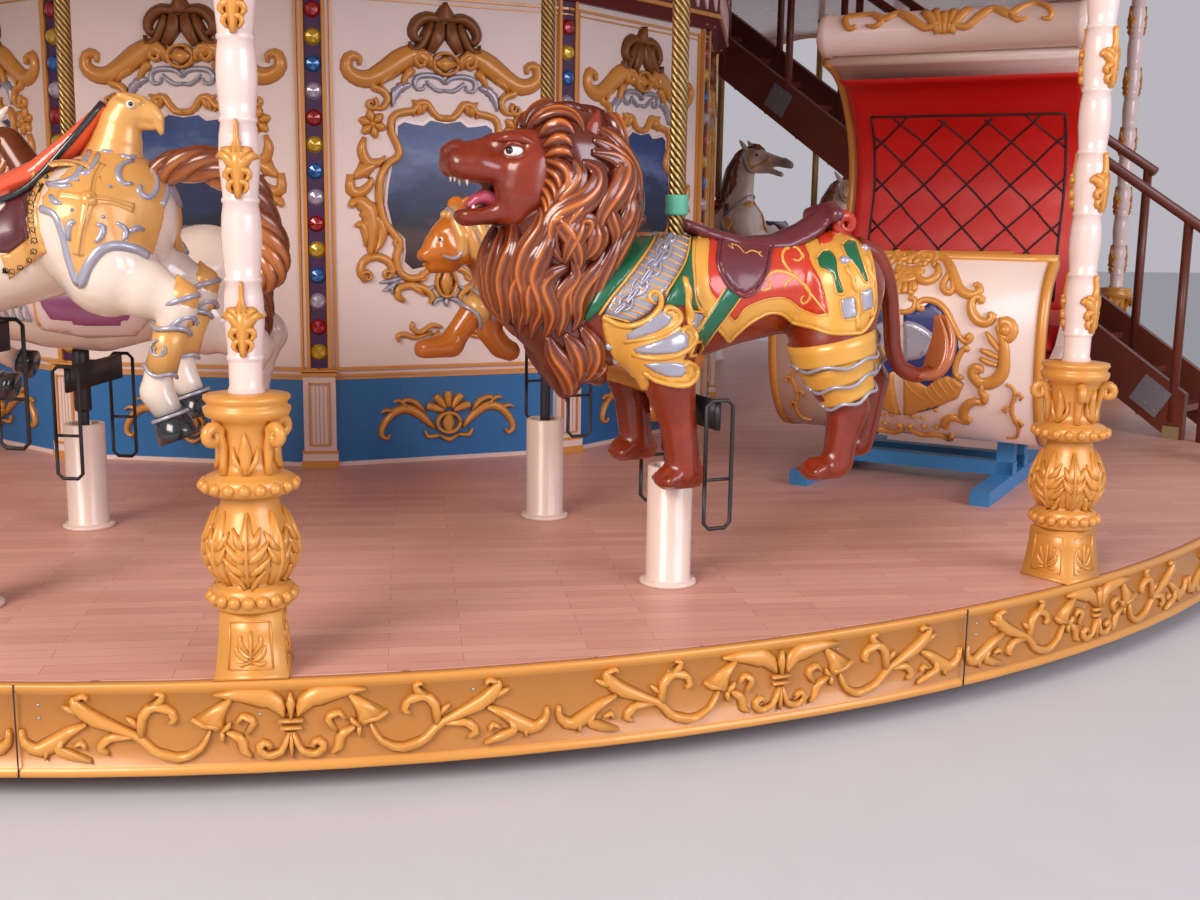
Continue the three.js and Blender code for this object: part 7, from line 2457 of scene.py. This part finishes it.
chariotMarks = {
    "roll": [([(600, 98), (580, 60), (548, 28)], 0.05), ([(606, 98), (596, 50), (582, 12)], 0.045),
             ([(617, 100), (617, 50), (617, 6)], 0.05), ([(628, 98), (640, 50), (652, 12)], 0.045),
             ([(634, 98), (654, 60), (688, 28)], 0.05),
             ([(600, 70), (560, 84), (520, 60), (480, 40), (435, 58), (395, 40), (350, 36),
               (318, 62), (330, 86), (352, 80)], [0.03, 0.05, 0.045, 0.03, 0.015]),
             ([(480, 42), (458, 20), (430, 16)], [0.03, 0.03, 0.01]),
             ([(435, 60), (410, 80), (380, 78)], [0.03, 0.03, 0.01]),
             ([(634, 70), (680, 80), (720, 50), (765, 26), (812, 42), (850, 22), (900, 12),
               (938, 30), (934, 56), (910, 54)], [0.03, 0.05, 0.045, 0.03, 0.015]),
             ([(765, 28), (790, 8), (820, 4)], [0.03, 0.03, 0.01]),
             ([(812, 44), (840, 60), (868, 52)], [0.03, 0.03, 0.01])],
    "ring": [([(1016, 66), (1050, 110), (1110, 140), (1175, 132), (1196, 98), (1176, 92)],
              [0.03, 0.034, 0.03, 0.024]),
             ([(1186, 172), (1172, 150), (1196, 120), (1262, 140), (1305, 235), (1345, 325),
               (1420, 362), (1476, 335), (1466, 296), (1440, 306)], [0.026, 0.03, 0.05, 0.05, 0.036, 0.028]),
             ([(1196, 170), (1205, 225), (1150, 270), (1085, 262), (1050, 215), (1078, 186), (1102, 206)],
              [0.03, 0.046, 0.04, 0.028]),
             ([(1268, 232), (1232, 300), (1262, 344), (1300, 326), (1292, 180)], [0.03, 0.036, 0.03, 0.02]),
             ([(1504, 396), (1460, 372), (1422, 408), (1424, 470), (1466, 530), (1528, 540),
               (1562, 500), (1534, 486)],
              [0.03, 0.04, 0.05, 0.044, 0.03]),
             ([(1610, 610), (1650, 650), (1690, 600), (1660, 540), (1600, 545)], [0.03, 0.05, 0.06, 0.05]),
             ([(1592, 560), (1628, 660), (1636, 770), (1622, 870), (1560, 930), (1480, 935),
               (1428, 880), (1440, 834), (1478, 836), (1482, 864)],
              [0.03, 0.05, 0.062, 0.062, 0.05, 0.04, 0.03]),
             ([(1520, 600), (1556, 660), (1606, 724)], [0.016, 0.036, 0.02]),
             ([(1480, 716), (1540, 742), (1600, 770)], [0.02, 0.034, 0.02]),
             ([(1478, 770), (1530, 800), (1590, 816)], [0.02, 0.03, 0.02]),
             ([(1500, 944), (1482, 990), (1512, 1024), (1496, 1062)], [0.04, 0.03, 0.044, 0.034]),
             ([(1504, 1064), (1440, 1052), (1382, 1092), (1366, 1150), (1396, 1186), (1414, 1160)],
              [0.03, 0.044, 0.05, 0.04, 0.026]),
             ([(1384, 1190), (1320, 1158), (1262, 1168), (1244, 1210), (1276, 1222)],
              [0.03, 0.044, 0.044, 0.026]),
             ([(1296, 1262), (1280, 1296), (1240, 1276), (1190, 1264), (1090, 1262), (1016, 1226)],
              [0.026, 0.04, 0.036, 0.034, 0.03])],
    "bosses": [(1476, 330, 0.02), (1486, 396, 0.02), (1548, 500, 0.02), (1640, 590, 0.032),
               (1460, 862, 0.017), (1194, 1218, 0.017), (1110, 1216, 0.017), (1020, 1212, 0.017),
               (960, 1214, 0.017), (1080, 200, 0.018), (1184, 168, 0.02), (1276, 1290, 0.02),
               (1098, 450, 0.016), (1402, 636, 0.019), (1392, 712, 0.016), (1350, 898, 0.015),
               (1036, 388, 0.014), (1190, 1110, 0.012), (1098, 1160, 0.012), (1038, 1148, 0.015),
               (1404, 1168, 0.017), (1262, 1206, 0.016)],
    "frame": [([(955, 470), (1010, 470), (1052, 436), (1052, 388), (1026, 376), (1014, 396)],
               [0.024, 0.034, 0.028, 0.016]),
              ([(1112, 440), (1086, 456), (1070, 420), (1110, 392), (1190, 406), (1254, 462),
                (1306, 560), (1346, 636), (1392, 668), (1422, 636), (1398, 616)],
               [0.02, 0.03, 0.034, 0.03, 0.026, 0.024]),
              ([(1398, 696), (1358, 724), (1322, 800), (1316, 872), (1352, 908)],
               [0.024, 0.03, 0.03, 0.022])],
    "flower": [([(925, 224), (985, 196), (1046, 224), (990, 262), (925, 226)], [0.05, 0.06, 0.05]),
               ([(960, 280), (940, 330), (948, 356)], [0.04, 0.034]),
               ([(990, 290), (986, 330), (980, 350)], [0.036, 0.03]),
               ([(1030, 276), (1054, 310), (1030, 336)], [0.036, 0.03]),
               ([(1000, 60), (1016, 110), (1016, 160)], [0.05, 0.03]),
               ([(975, 80), (960, 130), (945, 170)], [0.03, 0.024])],
    "vine": [([(1650, 944), (1690, 964), (1704, 1020), (1684, 1080), (1690, 1150), (1728, 1220),
               (1716, 1284), (1654, 1288)],
              [0.014, 0.02, 0.022, 0.02, 0.012]),
             ([(1704, 1014), (1738, 1002), (1756, 1030), (1738, 1046)], [0.012, 0.018, 0.012]),
             ([(1682, 1110), (1648, 1090), (1630, 1112), (1646, 1128)], [0.012, 0.018, 0.012]),
             ([(1698, 1190), (1734, 1178), (1756, 1206), (1738, 1222)], [0.012, 0.018, 0.012])],
    "field": [(975, 476), (1050, 462), (1090, 446), (1160, 400), (1220, 446), (1282, 540),
              (1330, 650), (1340, 720), (1312, 800), (1320, 900), (1372, 940), (1340, 1020), (1200, 1094),
              (1100, 1124), (975, 1146)],
    "dome": [(975, 520), (1040, 530), (1110, 558), (1170, 604), (1186, 660), (1150, 730),
             (1090, 780), (975, 800)],
    "domeLines": [[(975, 560), (1040, 570), (1100, 602), (1130, 646)],
                  [(1166, 620), (1140, 680), (1096, 740)]],
    "fan": [(975, 850), (1040, 900), (1130, 952), (1200, 900), (1262, 882), (1322, 900),
            (1372, 948), (1332, 1036), (1200, 1090), (1110, 1112), (1040, 1140), (975, 1146)],
    "fanLines": [[(1120, 968), (1150, 1020), (1200, 1056)], [(1160, 934), (1196, 990), (1240, 1034)],
                 [(1202, 908), (1240, 970), (1280, 1014)], [(1246, 892), (1284, 946), (1316, 986)],
                 [(1290, 896), (1322, 930), (1346, 960)],
                 [(985, 900), (1020, 960), (1080, 1010), (1130, 1040)]],
}


def makeChariots(owners):
    v = chariot
    place = riderFrame(owners[0])
    half = v["half"]
    shell = ribbonShape(v["line"], v["shell"], -half + 0.002, half - 0.002)
    walls = [slabShape([(x * 0.99, z + 0.002) for x, z in v["side"]], side[0], side[1])
             for side in ((-half + 0.003, -half + v["wall"] - 0.002),
                          (half - v["wall"] + 0.002, half - 0.003))]
    roll = fixNormals(rollShape())

    def part(name, shapes, finish, slotName, node, **more):
        riderPiece(name, shapes, finish, owners, slotName, both=more.pop("both", False),
                   replaced=node, **more)

    part("shell", [shell], creamPaint, "white_paint", "_tub")
    part("sides", walls, creamPaint, "white_paint", "_tub", smooth=False)
    part("head_roll", [roll], creamPaint, "white_paint", "_tub")
    trims = [ribbonShape(v["line"], v["shell"], low, high, 64, 0.004)
             for low, high in ((-half, -half + 0.04), (half - 0.04, half))]
    lip = tubeShape([[0.345, y, 1.115] for y in (-half + 0.004, -0.2, 0.2, half - 0.004)], 0.027, 12, 12)
    x, z = v["rollAt"]
    ends = []
    for side in (-1, 1):
        turns = spiral((x, z), 0.085, 0.012, 2.1, 200, 40)
        ends.append(tubeShape([[p, side * (half - 0.002), q] for p, q in turns],
                              [0.012, 0.012, 0.01, 0.008], 6))
    part("edges", trims + [lip] + ends, goldPaint, "gold_paint", "_tub")
    skin, rollSkin = treeOf(shell), treeOf(roll)
    m = chariotMarks

    def drawn(base, items, rise, grid=frontGrid):
        return [lineOn(base, place, fromPicture(path, grid), width, rise, sides=8) for path, width in items]

    crest = drawn(rollSkin, m["roll"], 0.018, chariotGrid)
    part("roll_carving", crest, goldPaint, "gold_paint", "_tub", thin=0.4)
    relief = drawn(skin, m["ring"], 0.024) + drawn(skin, m["frame"], 0.02) + drawn(skin, m["flower"], 0.022)
    relief += drawn(skin, m["vine"], 0.014)
    relief += [studOn(skin, place, *fromPicture([spot[:2]], frontGrid)[0], spot[2], spot[2] * 1.1)
               for spot in m["bosses"]]
    relief += [plateShape(skin, place, fromPicture(m["fan"], frontGrid), 0.016)]
    relief += drawn(skin, [(path, 0.013) for path in m["fanLines"]], 0.022)
    part("carving", relief, goldPaint, "gold_paint", "_tub", both=True, thin=0.3)
    field = plateShape(skin, place, fromPicture(m["field"], frontGrid), 0.005)
    part("picture_field", [field], fieldBlue, "blue_paint", "_tub", both=True, thin=0.5)
    dome = [plateShape(skin, place, fromPicture(m["dome"], frontGrid), 0.016, round=5)]
    dome += drawn(skin, [(path, 0.014) for path in m["domeLines"]], 0.021)
    part("picture_dome", dome, tackSilver, "gold_paint", "_tub", both=True, thin=0.5)
    part("back_pad", [quiltedBack()], redCloth, "red_padding", "_seat", pad=0.85)
    part("pad_threads_and_crease_shade", quiltThreads(), threadAndCreaseShade, "red_padding", "_seat", thin=0.5)
    bench = slabShape(v["bench"], -half + v["wall"] + 0.001, half - v["wall"] - 0.001)
    part("bench", [bench], redCloth, "red_padding", "_seat", smooth=False)
    part("bench_pad", [benchCushion()], redCloth, "red_padding", "_seat", pad=0.8)
    steel = [boxShape((-0.65, y - 0.045, 0.0), (0.65, y + 0.045, 0.07)) for y in (-0.44, 0.44)]
    steel += [boxShape((s - 0.04, -0.485, 0.062), (s + 0.04, 0.485, 0.13)) for s in (-0.13, 0.13)]
    steel += [boxShape((s - 0.04, y - 0.04, 0.06), (s + 0.04, y + 0.04, 0.24)) for s in (-0.13, 0.13)
              for y in (-0.44, 0.44)]
    part("cradle_steel", steel, cradleBlue, "blue_paint", "_cradle", smooth=False)


makeChariots(["chariot_1", "chariot_2"])
print("chariots made")


# Stairs: brown stringers spliced with riveted steel plates, treads between them, round handrails on balusters
stair = {
    "bearing": 125.9, "inner": 2.875, "width": 0.565, "foot": -4.63, "slope": 0.6336, "risers": 18,
    "board": 0.045, "depth": 0.28, "rise": 0.28, "tread": 0.038, "rail": 1.2, "headroom": 2.64,
    "handRadius": 0.031, "balusterRadius": 0.028, "newelRadius": 0.034, "landing": 0.0597,
    "splices": (-1.447, -4.42),
}


def stairShapes(v):
    floor = deckTop + 0.0003
    riser = (upperFloorTop - deckTop) / v["risers"]
    going = riser / v["slope"]
    head = v["foot"] + going * (v["risers"] - 1) + v["landing"]
    inner, outer = -v["inner"], -v["inner"] - v["width"]

    def edge(x, above=0.0):
        return floor + above + (x - v["foot"]) * v["slope"]

    lift = v["depth"] * math.sqrt(1 + v["slope"] ** 2)
    outline = [(v["foot"], floor), (v["foot"], edge(v["foot"], v["rise"])), (head, edge(head, v["rise"])),
               (head, edge(head, v["rise"]) - lift), (v["foot"] + (lift - v["rise"]) / v["slope"], floor)]
    brown = [slabShape(outline, inner - v["board"], inner), slabShape(outline, outer, outer + v["board"])]
    for k in range(v["risers"] - 1):
        x, z = v["foot"] + 0.06 + k * going, floor + (k + 1) * riser
        low, high = outer + v["board"] - 0.003, inner - v["board"] + 0.003
        brown.append(boxShape((x - 0.01, low, z - v["tread"]), (x + going * 0.96, high, z)))
        for y in (low, high - 0.03):
            brown.append(boxShape((x + 0.03, y, z - v["tread"] - 0.035),
                                  (x + going - 0.05, y + 0.03, z - v["tread"] + 0.002)))
    end = v["foot"] + v["headroom"] / v["slope"]
    rails = []
    for y, start in ((inner - v["board"] / 2, v["foot"] + 0.08), (outer + v["board"] / 2, v["foot"] + 0.59)):
        spots = np.arange(start, end - 0.03, 2 * going)
        for x in spots:
            rails.append(tubeShape([(x, y, edge(x, 0.05)), (x, y, edge(x, v["rail"] + 0.055))],
                                   v["balusterRadius"], 10))
        first, last = start - (0.22 if y > outer + v["board"] else 0.05), spots[-1] + 0.02
        line = [(first, y, edge(first, v["rail"] + 0.06)), (last, y, edge(last, v["rail"] + 0.06))]
        rails.append(tubeShape(line, v["handRadius"], 12))
    newel, y = v["foot"] - 0.11, inner - v["board"] / 2
    rails.append(tubeShape([(newel, y, floor), (newel, y, edge(newel, v["rail"] + 0.055))], v["newelRadius"],
                           12))
    feet = [boxShape((v["foot"] + 0.02, inner - 0.002, floor),
                     (v["foot"] + 0.12, inner + 0.005, floor + 0.075))]
    steel = []
    ahead = np.array([1, 0, v["slope"]]) / math.hypot(1, v["slope"])
    above = np.array([-ahead[2], 0, ahead[0]])
    for x in v["splices"]:
        middle = np.array([x, inner, edge(x, v["rise"] - lift / 2)])
        corners = [middle + ahead * a + above * b
                   for a, b in ((-0.1, -0.09), (0.1, -0.09), (0.1, 0.09), (-0.1, 0.09))]
        plate = slabShape([(p[0], p[2]) for p in corners], inner - 0.002, inner + 0.006)
        steel.append(plate)
        for a in (-0.07, 0.0, 0.07):
            for b in (-0.06, 0.06):
                points, faces = stud((0, 0), 0.009, 0.006, 8, 2)
                at = middle + ahead * a + above * b
                steel.append((np.stack([at[0] + points[:, 0], inner + 0.006 + points[:, 2],
                                        at[2] + points[:, 1]], 1), faces))
    return brown, rails, steel, feet


def makeStairs(v):
    brown, rails, steel, feet = stairShapes(v)
    for number, turn in ((1, 0), (2, 180)):
        placed = Matrix.Rotation(math.radians(v["bearing"] + turn), 4, "Z")
        for part, shapes, finish, slotName in (("boards", brown, stairPaint, "stair_paint"),
                                               ("rails", rails, stairPaint, "stair_paint"),
                                               ("splices", steel, platePaint, "dark_steel"),
                                               ("feet", feet, footBrass, "dark_steel")):
            made = newPiece("stair_%d_%s" % (number, part), *joinShapes([fixNormals(s) for s in shapes]),
                            finish, smooth=part == "rails")
            made.data.transform(placed)
            finishPiece(made, "platform", ["stair_%d" % number])


footBrass = paintFinish("zinc_yellow_bracket", "#b8ad80", "#9a8f66", 0.4, 0.5)
makeStairs(stair)
print("stairs made")

# Rounding board with its scalloped lower edge, floor and ceiling, railing, upper drum and roof
upper = {"board": 5.8603, "boardLow": 3.3, "boardTop": 3.88, "inner": 5.8003, "scallops": 48, "drop": 0.06,
         "posts": 5.7, "eave": 6.37, "peak": 7.87, "roof": 5.9}


def scallopedBoard(v):
    sides = v["scallops"] * 6
    reach = v["inner"] + 0.026
    points, edge = [], []
    for j in range(sides):
        angle = tau * j / sides
        arch = abs(math.sin(angle * v["scallops"] / 2))
        low = v["boardLow"] + 0.012 + v["drop"] * arch
        ring = [(v["inner"] + 0.002, low), (v["inner"] + 0.05, low), (v["inner"] + 0.055, ceilingLow),
                (v["inner"] + 0.085, v["boardTop"] - 0.001), (v["inner"] + 0.002, v["boardTop"] - 0.001)]
        points += [[r * math.sin(angle), -r * math.cos(angle), z] for r, z in ring]
        edge.append([reach * math.sin(angle), -reach * math.cos(angle), low])
    rope = tubeShape(edge + edge[:1], 0.012, 6)
    return (np.array(points), loopFaces(sides, len(ring))), rope


# Ring of rectangular section
def hoop(inner, outer, z, tall, sides):
    return bandShape([(inner, z), (outer, z), (outer, z + tall), (inner, z + tall)], sides)


def makeUpper(v):
    board, rope = scallopedBoard(v)
    newPiece("rounding_panels", *board, creamPaint, "platform", "white_paint", smooth=False,
             replaced=["rounding_board"])
    newPiece("rounding_rope", *rope, goldPaint, "platform", "gold_paint")
    bands = [hoop(v["inner"] + 0.05 + lean, v["inner"] + 0.066 + lean, z, tall, 144)
             for lean, z, tall in ((0.0, 3.42, 0.022), (0.012, 3.6, 0.014), (0.02, 3.84, 0.03))]
    newPiece("rounding_mouldings", *joinShapes(bands), goldPaint, "platform", "gold_paint")
    bolts = joinShapes([onDrum(mirrorShape(stud((u, 0), 0.007, 0.004, 6, 2), 2), v["inner"], 0, 3.36)
                        for u in (-0.3, 0.3)])
    aroundPiece("rounding_bolts", bolts, silverPaint, 24)
    low, top = upperFloorTop + 0.0003, v["eave"] - 0.0003
    post = [(0.05, low), (0.058, low + 0.01), (0.058, low + 0.1), (0.045, low + 0.12), (0.038, low + 0.3),
            (0.046, low + 0.6), (0.04, low + 0.95), (0.056, low + 1.0), (0.056, low + 1.04),
            (0.036, low + 1.1), (0.046, low + 1.7), (0.036, low + 2.3), (0.05, low + 2.42), (0.048, top)]
    posts = turnedShape(post, 12)
    posts[0][:, 1] -= v["posts"]
    aroundPiece("roof_posts", posts, whitePaint, 12, replaced=["upper_railing"])
    rails = [hoop(v["posts"] - half, v["posts"] + half, z, tall, 24)
             for half, z, tall in ((0.025, low + 0.955, 0.044), (0.02, low + 0.09, 0.04))]
    newPiece("upper_rails", *joinShapes(rails), goldPaint, "platform", "gold_paint", smooth=False)
    baluster = [(0.012, low + 0.12), (0.02, low + 0.2), (0.026, low + 0.34), (0.014, low + 0.5),
                (0.02, low + 0.7), (0.012, low + 0.96)]
    spindles = []
    for k in range(1, 16):
        bearing = 30 * k / 16
        reach = v["posts"] * math.cos(math.radians(7.5)) / math.cos(math.radians((bearing % 15) - 7.5))
        spindles.append(moveShape(turnedShape(baluster, 6), *polar(reach, bearing)))
    aroundPiece("upper_balusters", joinShapes(spindles), goldPaint, 12)
    # roof panels stay as built, with gilt ribs along their hips and mouldings on the fascia
    hips = []
    for k in range(12):
        start, end = polar(v["roof"] - 0.09, 30 * k, v["eave"] + 0.09), polar(0.72, 30 * k, v["peak"] - 0.01)
        hips.append(tubeShape([start, (start + end) / 2, end], 0.03, 8))
    newPiece("roof_ribs", *joinShapes(hips), goldPaint, "platform", "gold_paint")
    apothem, wide = v["roof"] * math.cos(math.pi / 12), v["roof"] * math.sin(math.pi / 12)
    strips = [atCorner(boxShape((-wide + 0.025, -0.01, z), (wide - 0.025, 0.006, z + 0.03)),
                       apothem, v["eave"])
              for z in (-0.199, -0.08, 0.2, 0.299)]
    aroundPiece("roof_mouldings", joinShapes(strips), goldPaint, 12, start=15, smooth=False)
    for name, finish in (("ceiling", whitePaint), ("upper_floor", laminate), ("upper_drum", panelPaint),
                         ("roof", roofPaint), ("roof_finial", goldPaint), ("base_frame", rubberDark)):
        node = frame["nodes"][name]
        node.data.materials.clear()
        node.data.materials.append(finish)


makeUpper(upper)
print("upper storey made")


# Floor and studio light
stage = {
    "floor": "#cfd0d3", "size": 60.0, "sky": 0.55,
    "lights": {"key_light": ((-7, -15, 8), (0, -4, 1.5), (7, 6), 1800.0, "#fff2ea"),
               "fill_light": ((9, -13, 5), (1, -4, 1.5), (8, 5), 800.0, "#f3f0ff")},
}


def areaLight(name, place, target, size, power, colour):
    lamp = bpy.data.lights.new(name, "AREA")
    lamp.shape = "RECTANGLE"
    lamp.size, lamp.size_y = size
    lamp.energy = power
    lamp.color = toLinear(colour)[:3]
    made = bpy.data.objects.new(name, lamp)
    made.location = place
    made.rotation_euler = (Vector(target) - Vector(place)).to_track_quat("-Z", "Y").to_euler()
    bpy.context.scene.collection.objects.link(made)


def makeStage(values):
    half = values["size"] / 2
    points = [(-half, -half, 0), (half, -half, 0), (half, half, 0), (-half, half, 0)]
    floorPaint = paintFinish("studio_floor", values["floor"], "#c6c7ca", 0.7, peel=0.05)
    floor = newPiece("studio_floor", points, [[0, 1, 2, 3]], floorPaint, smooth=False)
    world = bpy.data.worlds.new("sky")
    bpy.context.scene.world = world
    world.use_nodes = True
    back = world.node_tree.nodes["Background"]
    back.inputs[0].default_value = toLinear("#f1eef6")
    back.inputs[1].default_value = values["sky"]
    for name, light in values["lights"].items():
        areaLight(name, *light)


makeStage(stage)
bpy.context.scene.view_settings.view_transform = "Standard"
